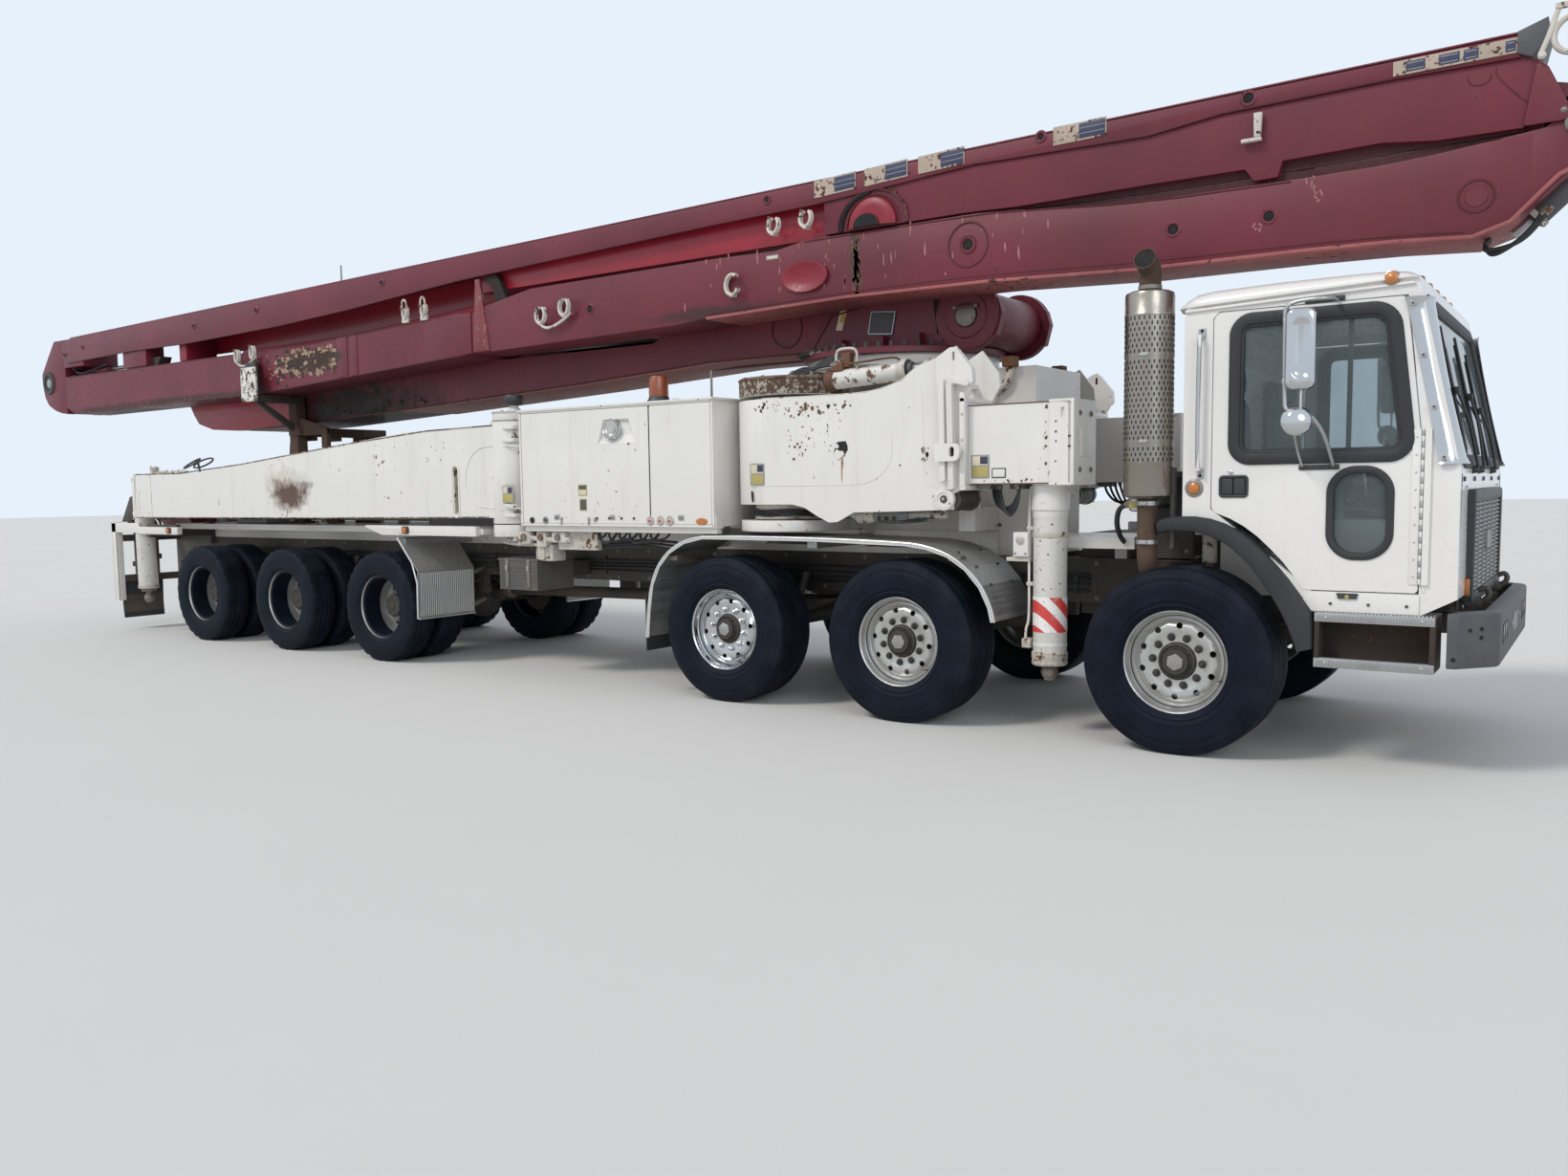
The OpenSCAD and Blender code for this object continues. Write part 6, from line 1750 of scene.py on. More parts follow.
def box_top(p):
    """Beacon, small dome and corner rod, then the caps on the rear arms' posts."""
    c = (-3.985, -1.1, 2.234)
    p.lathe([(0.092, 0.0), (0.09, 0.016), (0.078, 0.03), (0.076, 0.046)], c, UP, "plastic", 32)
    p.lathe([(0.074, 0.04), (0.076, 0.07), (0.073, 0.17), (0.064, 0.196), (0.04, 0.206), (0.0, 0.208)],
        c, UP, "beacon", 32)
    p.lathe([(0.045, 0.05), (0.04, 0.13), (0.0, 0.15)], c, UP, "chrome", 20)
    p.lathe([(0.042, 0.0), (0.04, 0.012), (0.026, 0.024), (0.0, 0.028)], (-3.83, -1.08, 2.234), UP,
        "white", 24)
    # rod at the front corner, then the caps on the rear arms' posts
    p.rod((-3.452, -1.12, 2.22), (-3.452, -1.12, 2.44), 0.009, "worn_steel", 10)
    p.box(-3.475, -3.43, -1.14, -1.1, 2.216, 2.236, "worn_steel", 0.004)
    for s in BOTH:
        x, yy = -5.66, s * 1.05
        p.lathe([(0.06, 2.24), (0.058, 2.262), (0.04, 2.28), (0.036, 2.3)], (x, yy, 0), UP, "white", 24)
        p.lathe([(0.036, 2.296), (0.07, 2.304), (0.082, 2.322), (0.084, 2.362), (0.074, 2.384),
            (0.0, 2.388)], (x, yy, 0), UP, "plastic", 32)
        for z in (2.168, 2.236):
            strap(p, (x, yy, z), UP, 0.178, 0.01, "dull_white", 0.012)
        for k in range(4):
            a = math.radians(30 + 55 * k)
            p.bolt((x + 0.145 * math.cos(a), yy - 0.145 * math.sin(a) * -s, 2.2405), UP, 0.013, 0.01,
                "worn_steel")


def box_pipes(p):
    """Brackets, valves, pipes and cables under the near box."""
    for k, x in enumerate((-5.58, -5.42, -5.22, -5.02)):
        w = 0.055 + 0.02 * (k % 2)
        p.box(x - w, x + w, -1.2, -1.06, 1.15 - 0.02 * (k % 3), 1.235, "pipe_white", 0.008)
        p.rod((x, -1.21, 1.19), (x, -1.05, 1.19), 0.026, "pipe_white", 16)
        p.lathe([(0.0, 0.02), (0.03, 0.02), (0.03, 0.0)], (x, -1.2, 1.19), OUT, "worn_steel", 6)
        p.rod((x + 0.02, -1.13, 1.1), (x + 0.02, -1.13, 1.16), 0.018, "worn_steel", 12)
    p.tube([(-5.8, -1.17, 1.205), (-5.4, -1.18, 1.205), (-5.3, -1.18, 1.17), (-4.9, -1.18, 1.17)], 0.022,
        "pipe_white", 12)
    p.tube([(-5.75, -1.12, 1.14), (-5.55, -1.16, 1.125), (-5.28, -1.16, 1.125)], 0.016, "pipe_white", 10)
    p.box(-5.34, -5.14, -1.15, -1.0, 0.99, 1.13, "pipe_white", 0.01)
    p.box(-5.3, -5.22, -1.17, -1.1, 1.0, 1.24, "pipe_white", 0.008)
    p.box(-5.06, -4.62, -1.16, -1.1, 1.09, 1.25, "dirty_white", 0.008)
    for k in range(9):
        x = -4.95 + 0.11 * k
        hose(p, [(x, -1.13, 1.26), (x + 0.01, -1.15, 1.19), (x + 0.09, -1.15, 1.14 + 0.02 * (k % 3)),
            (x + 0.17, -1.13, 1.2), (x + 0.2, -1.12, 1.27)], 0.009 + 0.002 * (k % 2))
    for k in range(3):
        hose(p, [(-5.0, -1.05, 1.16 + 0.03 * k), (-4.7, -1.1, 1.1 + 0.02 * k),
            (-4.2, -1.08, 1.14 + 0.02 * k), (-3.9, -1.02, 1.1 + 0.03 * k)], 0.011, "rubber", False)
    for x in (-3.86, -3.8):
        p.rod((x, -0.72, 1.1), (x, -0.72, 1.28), 0.018, "worn_steel", 12)


def box_body():
    """Tool boxes behind the turret: frames round the doors, the rail below, beacon and pipes."""
    p = Piece("box_detail", "chassis")
    for s in BOTH:
        # raised frame round the door opening, folded roof edge, and the hinge line between the doors drawn
        # near-black as painted shade
        frame_line = rect(-5.374, -3.336, 1.29, 2.222)
        p.sweep(rounded(frame_line, 0.008, 2), rect(0.0, -0.018, s * 1.228, s * 1.264), "white")
        p.box(-5.385, -3.325, s * 0.555, s * 1.275, 2.218, 2.234, "white", 0.004)
        p.box(-3.956, -3.952, *span(s, 1.232, 1.262), 1.31, 2.21, "hole", 0.0)
        # rail below the doors
        y0, y1 = span(s, 1.228, 1.252)
        p.box(-5.398, -3.326, y0, y1, 1.284, 1.38 if s < 0 else 1.3, "white", 0.006)
        p.box(-5.398, -3.326, *span(s, 1.228, 1.16), 1.28, 1.292, "white", 0.003)
    box_rail(p)
    box_top(p)
    box_pipes(p)
    p.done(())


rear_door()
front_door()
far_door()
box_body()


# Rear outriggers, mudguards and the tail

def rear_pivot(p):
    """Raised outline round the pivot, the slot beside it, the blank plate and the hinge ears."""
    bead(p, [(-5.4, 1.945), (-5.78, 1.962), (-5.93, 1.935), (-6.045, 1.845), (-6.092, 1.7),
        (-6.092, 1.62), (-6.045, 1.52), (-5.95, 1.452), (-5.8, 1.428), (-5.4, 1.43)], ARM_FACE, 0.0065,
        "white", 3)
    p.sweep(slot_line(-6.262, -6.186, 1.362, 1.796), [(0.0, ARM_FACE + 0.004), (0.0, ARM_FACE - 0.006),
        (0.014, ARM_FACE - 0.006), (0.016, ARM_FACE + 0.004)], "white")
    p.sweep(slot_line(-6.248, -6.192, 1.382, 1.788), rect(0.0, -0.006, ARM_FACE + 0.002, -1.18),
        "dull_white")
    p.box(-6.226, -6.214, -1.2, -1.192, 1.39, 1.78, "grey", 0.002)
    tag(p, -5.608, -5.474, 1.474, 1.618, -1.252, "grey", "yellow", (0.5, "cream"))
    p.box(-5.545, -5.488, -1.2555, -1.252, 1.556, 1.606, "navy", 0.0008)
    # hinge ears of the pivot
    for z in (1.372, 1.452, 1.998, 2.105):
        p.slab(rounded([(-5.66, -1.255), (-5.48, -1.24), (-5.455, -1.1), (-5.5, -0.92), (-5.66, -0.88)],
            [0.08, 0.03, 0.03, 0.05, 0.05], 5), z - 0.016, z + 0.016, "white", 0.004, "xy")
    for z0, z1 in ((1.388, 1.436), (2.014, 2.088)):
        p.rod((-5.52, -1.18, z0), (-5.52, -1.18, z1), 0.02, "dull_white", 14)
        p.lathe([(0.0, 0.0), (0.032, 0.0), (0.032, 0.016), (0.0, 0.016)], (-5.52, -1.18, z0), UP,
            "worn_steel", 6)


def rear_flanges(p):
    """Grimy edges of the flanges and the welds near the arm's end."""
    top = [(-5.7, 2.131), (-6.9, 2.111), (-10.48, 1.814), (-11.755, 1.82)]
    p.tube([(x, ARM_FACE + 0.002, z - 0.004) for x, z in top], 0.0065, "edge_grime", 6, 1)
    low = [(-11.79, 1.326), (-9.0, 1.332), (-6.9, 1.342), (-5.8, 1.352)]
    p.tube([(x, ARM_FACE + 0.002, z + 0.003) for x, z in low], 0.0055, "edge_grime", 6, 1)
    bead(p, [(-11.43, 1.335), (-11.425, 1.57), (-11.43, 1.81)], ARM_FACE, 0.003, "dull_white", 0)
    bead(p, [(-11.7, 1.36), (-11.7, 1.6), (-11.66, 1.62)], ARM_FACE, 0.0022, "dull_white", 0)


def rear_jack(p):
    """End plate, jack head and clamp."""
    p.box(-11.806, -11.79, -1.242, -0.894, 1.33, 1.815, "white", 0.004)
    for z in (1.42, 1.56, 1.7):
        p.bolt((-11.806, -1.2, z), BACK, 0.012, 0.009, "worn_steel")
    c = (-11.94, -1.068, 0)
    p.lathe([(0.1045, 0.5), (0.11, 0.506), (0.111, 0.532), (0.1045, 0.54)], c, UP, "dirty_white", 36)
    p.lathe([(0.114, 1.33), (0.12, 1.34), (0.12, 1.39), (0.1145, 1.4)], c, UP, "white", 36)
    p.lathe([(0.1145, 1.74), (0.124, 1.75), (0.124, 1.785), (0.116, 1.795), (0.0, 1.797)], c, UP,
        "white", 36)
    for k in range(4):
        a = math.radians(45 + 90 * k)
        p.bolt((c[0] + 0.08 * math.cos(a), c[1] + 0.08 * math.sin(a), 1.797), UP, 0.012, 0.01,
            "worn_steel")
    jack_chips(p, 26, c[0], c[1], 0.6, 0.6, 0.1036, 0.003, 0.006)


def rear_chain(p):
    """Chain and ring on top of the arm's end."""
    p.ring((-11.62, -1.12, 1.862), (0.3, 1, 0.1), 0.046, 0.009, "dirty_white", 24)
    p.rod((-11.62, -1.1, 1.818), (-11.62, -1.06, 1.9), 0.03, "dirty_white", 16)
    for k in range(13):
        x = -11.54 + 0.052 * k
        z = 1.834 + 0.004 * math.sin(k * 1.7)
        p.ring((x, -1.11 + 0.012 * math.sin(k * 2.3), z), LEFT if k % 2 else UP, 0.022, 0.007,
            "dirty_white", 14)


def rear_arms():
    """Rear outrigger with its jack."""
    p = Piece("rear_arm_detail", "rear_arm_#", mirror=True)
    rear_pivot(p)
    rear_flanges(p)
    rear_jack(p)
    rear_chain(p)
    p.done(())


def tail_side(p, s):
    """Rail bars, tail post, flap, lamps and plates on one side."""
    # pale rail bars with their marker lamps
    bar = rect(-11.852, -10.972, 1.14, 1.222)
    y0, y1 = span(s, 1.206, 1.148)
    p.slab(rounded(bar, 0.006, 2), y0, y1, "white", 0.005)
    bar = [(-7.6, 1.262), (-7.56, 1.272), (-6.02, 1.272), (-6.02, 1.184), (-7.33, 1.184)]
    y0, y1 = span(s, 1.206, 1.156)
    p.slab(rounded(bar, [0.02, 0.02, 0.006, 0.006, 0.03], 3), y0, y1, "white", 0.005)
    p.box(-7.47, -6.03, *span(s, 1.156, 0.9), 1.251, 1.262, "white", 0.003)
    for x, z in ((-11.149, 1.184), (-6.98, 1.231)):
        line = rounded(rect(x - 0.052, x + 0.052, z - 0.034, z + 0.034), 0.02, 4)
        y0, y1 = span(s, 1.206, 1.214)
        p.slab(line, y0, y1, "plastic", 0.002)
        y0, y1 = span(s, 1.21, 1.23)
        p.slab(rounded(rect(x - 0.034, x + 0.026, z - 0.026, z + 0.026), 0.012, 4), y0, y1, "amber",
            0.006)
    # tail post in pale angle, its rubber flap and the dirty works behind it
    p.box(-12.488, -12.392, *span(s, 1.188, 1.18), 0.345, 1.266, "white", 0.004)
    p.box(-12.488, -12.48, *span(s, 1.188, 1.112), 0.345, 1.266, "white", 0.003)
    p.box(-12.4, -12.392, *span(s, 1.188, 1.112), 0.345, 1.266, "white", 0.003)
    p.box(-12.488, -11.85, *span(s, 1.188, 1.168), 1.15, 1.262, "white", 0.005)
    rings = []
    for k in range(9):
        z = 0.62 - 0.49 * k / 8
        bow = 0.01 * math.sin(k * 0.9)
        rings.append([(-12.47 + bow, s * 1.112, z), (-12.455 + bow, s * 1.112, z),
            (-12.455 + bow * 0.6, s * 0.64, z), (-12.47 + bow * 0.6, s * 0.64, z)])
    p.loft(rings, "rubber")
    for k in range(4):
        p.bolt((-12.453, s * (1.06 - 0.13 * k), 0.585), FORE, 0.009, 0.006, "worn_steel")
    p.box(-12.472, -12.45, *span(s, 1.115, 0.64), 0.56, 0.615, "frame_black", 0.003)
    # rear lamps
    for k, mat in enumerate(("red_lens", "amber", "pale_lens")):
        yy = s * (0.92 - 0.11 * k)
        p.lathe([(0.05, 0.0), (0.05, 0.014), (0.044, 0.018)], (-12.482, yy, 0.6), BACK, "plastic", 26)
        p.lathe([(0.044, 0.012), (0.036, 0.024), (0.0, 0.03)], (-12.482, yy, 0.6), BACK, mat, 26)
    # black plates and hoses that stand behind the arm's end
    p.slab([(-12.42, 1.27), (-12.2, 1.56), (-12.05, 1.6), (-12.2, 1.27)], *span(s, 1.1, 1.085),
        "frame_black", 0.004)
    for k in range(5):
        hose(p, [(-12.36 + 0.03 * k, s * (1.04 - 0.03 * k), 1.26), (-12.25, s * (1.05 - 0.04 * k), 1.36),
            (-12.12 + 0.02 * k, s * (1.0 - 0.04 * k), 1.3), (-12.05, s * (0.98 - 0.04 * k), 1.12)], 0.013)
    for k in range(4):
        x = -12.34 + 0.14 * k
        p.rod((x, s * 0.98, 0.66), (x, s * 0.98, 1.14), 0.03 + 0.01 * (k % 2), "frame_black", 14)
        p.box(x - 0.05, x + 0.05, *span(s, 1.02, 0.93), 0.74 + 0.1 * (k % 2), 0.8 + 0.1 * (k % 2),
            "frame_black", 0.006)


def tail():
    """Rails, tail posts, hoses and the loose box on the deck."""
    p = Piece("tail_detail", "chassis")
    for s in BOTH:
        tail_side(p, s)
    # ladder of hoses between the rails at the tail
    for k in range(6):
        yy = -0.3 + 0.12 * k
        hose(p, [(-12.39, yy, 0.8), (-12.36, yy, 0.95), (-12.2, yy + 0.02, 1.06),
            (-12.0, yy + 0.02, 1.1)], 0.016)
    # grey box and two black frames on the deck
    p.slab(rounded(rect(-10.62, -10.02, 1.252, 1.66), 0.02, 3), -0.72, -0.46, "grey", 0.008)
    # near-black inset painted as shade on the box's front
    p.box(-10.52, -10.1, -0.726, -0.718, 1.3, 1.6, "hole", 0.004)
    p.box(-10.5, -10.12, -0.732, -0.722, 1.52, 1.56, "grey", 0.003)
    for k in range(2):
        x = -11.15 + 0.24 * k
        pts = []
        for j in range(13):
            a = 2 * math.pi * j / 12
            pts.append((x + 0.11 * math.cos(a) + 0.05 * math.sin(a), -0.9 + 0.05 * math.sin(a + k),
                1.93 + 0.05 * math.sin(a) + 0.02 * math.cos(a)))
        p.tube(pts, 0.01, "plastic", 8, 1)
    p.tube([(-11.02, -0.9, 1.93), (-11.02, -0.86, 1.7), (-11.02, -0.8, 1.26)], 0.012, "plastic", 8)
    p.box(-11.06, -10.98, -0.84, -0.76, 1.25, 1.275, "plastic", 0.004)
    p.done(())


def guard_side(p, s, rear, line):
    """Guard over the front wheels and the plate before the twin wheels, on one side."""
    # bright rolled edge with a dotted row, and the edge strip that shows below it
    smooth = [Vector((x, s * 1.243, z - 0.004)) for x, z in line]
    p.tube(smooth, 0.0075, "edge_bright", 8, 3)
    drop = []
    for i, (x, z) in enumerate(line):
        a = Vector(line[max(i - 1, 0)])
        b = Vector(line[min(i + 1, len(line) - 1)])
        d = (b - a).normalized()
        n = Vector((d.y, -d.x))
        drop.append((Vector((x, z)), Vector((x, z)) + n * 0.028))
    verts = []
    for top, under in drop:
        verts.append([(top.x, s * 1.2405, top.y - 0.002), (top.x, s * 1.2465, top.y - 0.002),
            (under.x, s * 1.2465, under.y), (under.x, s * 1.2405, under.y)])
    p.loft(verts, "edge_bright")
    total = 0.0
    for i in range(len(line) - 1):
        a, b = Vector(line[i]), Vector(line[i + 1])
        length = (b - a).length
        while total < length:
            q = a.lerp(b, total / length)
            d = (b - a).normalized()
            n = Vector((d.y, -d.x))
            c = q + n * 0.014
            p.lathe([(0.0, 0.003), (0.0065, 0.002), (0.0075, 0.0)], (c.x, s * 1.2465, c.y), (0, s, 0),
                "alloy", 6)
            total += 0.024
        total -= length
    # black rubber flap at the rear end, braces and bolts
    p.box(rear + 0.345, rear + 0.357, *span(s, 1.238, 0.645), 0.33, 0.76, "rubber", 0.003)
    for k in range(5):
        p.bolt((rear + 0.342, s * (1.2 - 0.13 * k), 0.72), BACK, 0.008, 0.005, "steel")
    for x, z in ((-3.8, 1.05), (-2.95, 1.2), (-2.1, 1.195), (-1.42, 1.1)):
        p.rod((x, s * 1.18, z), (x + 0.02, s * 0.42, z - 0.05), 0.024, "worn_steel", 14)
        p.box(x - 0.045, x + 0.045, *span(s, 1.2, 1.12), z - 0.014, z + 0.02, "worn_steel", 0.004)
    for x, z in ((-1.43, 1.14), (-1.3, 1.052), (-1.2, 0.94)):
        for yy in (1.12, 0.8):
            p.bolt((x, s * yy, z), (0.5, 0, 0.85), 0.009, 0.006, "cast")
    # plate in front of the first twin wheel: bright edge, pressed ribs and stays
    edge = [(-7.055, 1.16), (-6.79, 0.862), (-6.8, 0.43)]
    p.tube([(x - 0.002, s * 1.243, z) for x, z in edge], 0.008, "edge_bright", 8, 1)
    p.box(-6.792, -6.774, *span(s, 1.243, 0.598), 0.424, 0.436, "edge_bright", 0.003)
    for k in range(30):
        yy = s * (1.215 - 0.0205 * k)
        p.tube([(-6.786, yy, 0.45), (-6.778, yy, 0.64), (-6.778, yy, 0.845)], 0.0042, "alloy", 6, 0)
    for z in (0.8, 0.5):
        p.rod((-6.8, s * 0.62, z), (-6.82, s * 0.44, z + 0.05), 0.02, "worn_steel", 12)
    for yy in (1.19, 0.95, 0.7):
        p.bolt((-7.02, s * yy, 1.132), (0.745, 0, 0.667), 0.009, 0.006, "cast")
    # two slanted slots, near-black boxes painted as shade
    for x in (-6.96, -6.9):
        p.box(x - 0.008, x + 0.008, *span(s, 1.16, 1.02), 1.045 - (x + 6.96) * 1.1,
            1.06 - (x + 6.96) * 1.1, "hole", 0.002, ("Y", 48))


def guards():
    """Tread plate guards over the wheels."""
    p = Piece("guard_detail", "chassis")
    rear = -3.3 - 2 * FRONT_R
    line = [(rear + 0.356, 0.44), (rear + 0.376, 0.65), (rear + 0.412, 0.85), (rear + 0.485, 1.0),
        (rear + 0.592, 1.11), (rear + 0.742, 1.19), (rear + 0.93, 1.23), (-2.48, 1.228), (-1.76, 1.208),
        (-1.6, 1.188), (-1.44, 1.138), (-1.31, 1.055), (-1.205, 0.94), (-1.14, 0.81), (-1.118, 0.715)]
    for s in BOTH:
        guard_side(p, s, rear, line)
    p.done(())


rear_arms()
tail()
guards()


# Boom: five folded sections, the strip of plate along the near layer, hoses and cylinders

NEAR_FACE, FAR_FACE = -0.88, -0.46
STRIP_FACE = -0.8955
NEAR_LOW = [(-13.991, 3.254), (-12.299, 3.285), (-11.224, 3.273), (-9.38, 3.308), (-8.199, 3.358),
    (-6.493, 3.461), (-3.637, 3.552), (-2.671, 3.571), (-1.946, 3.613), (-1.428, 3.647), (-0.301, 3.624),
    (0.12, 3.673), (1.004, 3.687), (1.577, 3.679)]
PIVOT_B = (-11.6, 2.84)
PIVOT_C = (1.85, 3.32)
PIVOT_D = (-14.42, 3.05)


def near_height(x, line):
    """Height of a line given by points at place x."""
    for i in range(len(line) - 1):
        if line[i][0] <= x <= line[i + 1][0]:
            t = (x - line[i][0]) / (line[i + 1][0] - line[i][0])
            return line[i][1] + t * (line[i + 1][1] - line[i][1])
    return line[0][1] if x < line[0][0] else line[-1][1]


def lens_middle(x):
    """Height of the middle of the gap between the second and third sections."""
    return near_height(x, [(-1.5, 3.33), (-0.304, 3.292), (0.25, 3.289), (0.95, 3.304), (1.62, 3.314)])


def hub(p, pivot, y0, y1, r, mat):
    """A round boss across the boom with a stepped end on each side."""
    x, z = pivot
    p.lathe([(0.0, 0.0), (r - 0.03, 0.0), (r - 0.012, 0.004), (r, 0.012), (r, y1 - y0 - 0.012),
        (r - 0.012, y1 - y0 - 0.004), (r - 0.03, y1 - y0), (0.0, y1 - y0)], (x, y0, z), LEFT, mat, 48)


def pin_end(p, pivot, y, side, r, mat="worn_steel"):
    """End of a pin with its keeper plate and two bolts; side is -1 on the near face."""
    x, z = pivot
    p.lathe([(r, -0.004), (r, 0.01), (r - 0.006, 0.014), (0.0, 0.014)], (x, y, z), (0, side, 0), mat, 32)
    y0, y1 = sorted((y + side * 0.004, y + side * 0.016))
    p.slab(rounded(rect(x - r * 1.3, x + r * 1.3, z + r * 0.55, z + r * 0.95), 0.012, 3), y0, y1,
        "dark_red", 0.003)
    for s in BOTH:
        p.bolt((x + s * r * 1.05, y + side * 0.016, z + r * 0.75), (0, side, 0), 0.01, 0.008,
            "worn_steel")


def ragged_hole(p, x, z, y, r, mat="red"):
    """A hole drawn as a near-black disc of painted shade, with a raised weld ring and a few chips."""
    p.disc((x, y + 0.001, z), OUT, r, 0.0015, "hole", 28)
    p.lathe([(r, 0.0), (r + 0.002, 0.006), (r + 0.01, 0.007), (r + 0.02, 0.0)], (x, y, z), OUT, mat, 32)
    for _ in range(7):
        a = 2 * math.pi * random.random()
        flake(p, x + (r + 0.014) * math.cos(a), z + (r + 0.014) * math.sin(a), y - 0.006, 0.004, "chip",
            0.6, 7)


def clamp_ring(p, x, z, y, r=0.07, gap=60, turn=80):
    """An open ring of flat bar that held a pipe, on a short foot."""
    path = []
    for k in range(19):
        a = math.radians(turn + gap / 2 + (360 - gap) * k / 18)
        path.append((x + r * math.cos(a), y - 0.05 - 0.018 * math.cos(a), z + r * math.sin(a)))
    p.tube(path, 0.012, "dirty_white", 8, 1)
    p.tube([(q[0] + 0.004, q[1] + 0.018, q[2]) for q in path], 0.012, "dirty_white", 8, 1)
    p.box(x - 0.014, x + 0.014, y - 0.06, y + 0.004, z - r - 0.016, z - r + 0.008, "dirty_white", 0.004)
    for a in (turn + gap / 2, turn - gap / 2):
        a = math.radians(a)
        p.bolt((x + r * math.cos(a), y - 0.058, z + r * math.sin(a)), OUT, 0.012, 0.01, "rust", False)


def clamp_pair(p, one, two, y, r=0.07, drop=0.105):
    """Two open rings joined by a bent bar."""
    for x, z in (one, two):
        clamp_ring(p, x, z, y, r)
    path = [(one[0] - 0.01, y - 0.045, one[1] - r), (one[0] + 0.05, y - 0.045, one[1] - drop - 0.01),
        ((one[0] + two[0]) / 2, y - 0.045, (one[1] + two[1]) / 2 - drop - 0.03),
        (two[0], y - 0.045, two[1] - drop), (two[0] + r * 1.1, y - 0.045, two[1] - drop + 0.05)]
    p.tube(path, 0.012, "dirty_white", 8, 3)


def blank_sticker(p, x0, x1, z0, z1, slope, y=-0.8985, fields=((0.49, 0.98),)):
    """A worn pale sticker with plain dark fields, given as shares of its length."""
    def strip(a, b, low, high, mat, off):
        za, zb = (a - x0) * slope, (b - x0) * slope
        p.slab([(a, low + za), (a, high + za), (b, high + zb), (b, low + zb)], y - off, y + 0.003, mat,
            0.0003)

    strip(x0, x1, z0, z1, "worn_cream", 0.0004)
    for a, b in fields:
        strip(x0 + (x1 - x0) * a, x0 + (x1 - x0) * b, z0 + 0.01, z1 - 0.01, "navy", 0.001)
        mid = (z0 + z1) / 2
        for z in (mid + 0.014, mid - 0.018):
            strip(x0 + (x1 - x0) * (a + 0.015), x0 + (x1 - x0) * (b - 0.015), z, z + 0.004, "grey",
                0.0014)
    for _ in range(6):
        flake(p, random.uniform(x0, x1), random.uniform(z0, z1), y - 0.0014, 0.006, "red", 0.9, 7,
            thick=0.0004, tall=0.7)


def three_strip(p):
    """Strip of thicker plate along the near face, and the recessed webs behind the gap below it."""
    line = NEAR_LOW + [(1.592, 3.779), (-13.8, 3.551), (-14.02, 3.52)]
    p.slab(line, STRIP_FACE + 0.002, NEAR_FACE + 0.002, "red", 0.004)
    edge = [(x, STRIP_FACE + 0.0035, z - 0.004) for x, z in NEAR_LOW]
    p.tube(edge, 0.0075, "dark_red", 6, 0)
    # recessed webs behind the gap to the section below, painted dark red as shade
    for x0, x1 in ((-1.45, 0.34), (0.4, 1.6)):
        line = [(x0 + (x1 - x0) * k / 8) for k in range(9)]
        p.slab([(x, lens_middle(x) + 0.004) for x in line] + [(x, 3.4) for x in reversed(line)], -0.835,
            -0.815, "shaded_gap_red", 0.0)


def three_front(p):
    """Cheek that covers the knuckle at the front, and the inner lug with its hub."""
    cheek = [(1.6, 3.33), (1.65, 3.64), (1.697, 3.602), (1.783, 3.414), (1.788, 3.33)]
    p.slab(rounded(cheek, [0.01, 0.02, 0.03, 0.05, 0.02], 3), -0.897, -0.886, "red", 0.003)
    p.slab([(1.56, 3.33), (1.56, 3.6), (1.7, 3.56), (1.85, 3.52), (1.85, 3.33)], -0.772, -0.568, "red",
        0.005)
    hub(p, PIVOT_C, -0.772, -0.568, 0.2, "red")
    for y0, y1 in ((-0.8785, -0.866), (-0.474, -0.4615)):
        p.slab([(1.56, 3.56), (1.56, 3.7), (1.66, 3.64), (1.69, 3.6)], y0, y1, "red", 0.003)


def three_fork(p):
    """Fork at the far end."""
    fork = [(-13.9, 3.195), (-13.9, 3.545), (-14.356, 3.547), (-14.54, 3.36), (-14.735, 3.15),
        (-14.735, 3.03), (-14.69, 2.86), (-14.6, 2.752), (-14.43, 2.678), (-14.28, 2.64),
        (-14.098, 2.618), (-14.098, 3.0), (-14.098, 3.195)]
    fork = rounded(fork, [0, 0, 0.03, 0.05, 0.05, 0.1, 0.1, 0.1, 0.1, 0.08, 0.02, 0, 0.02], 3)
    p.slab(fork, NEAR_FACE + 0.002, -0.782, "red", 0.006)
    p.slab(fork, -0.558, FAR_FACE - 0.002, "red", 0.006)
    p.box(-14.1, -13.88, -0.79, -0.55, 3.22, 3.53, "red", 0.006)
    c = (-14.545, NEAR_FACE, 3.03)
    p.lathe([(0.098, -0.002), (0.098, 0.012), (0.124, 0.018), (0.142, 0.014), (0.146, -0.002)], c, OUT,
        "frame_black", 40)
    p.lathe([(0.098, 0.004), (0.062, 0.006), (0.058, 0.001), (0.0, 0.001)], c, OUT, "cast", 32)
    # pale grey-blue disc painted as the sky seen through the bore
    p.disc((c[0], c[1] - 0.001, c[2]), OUT, 0.056, 0.003, "sky_hole", 28)
    pin_end(p, PIVOT_D, FAR_FACE, 1, 0.075)
    pin_end(p, PIVOT_C, -0.46, 1, 0.075)


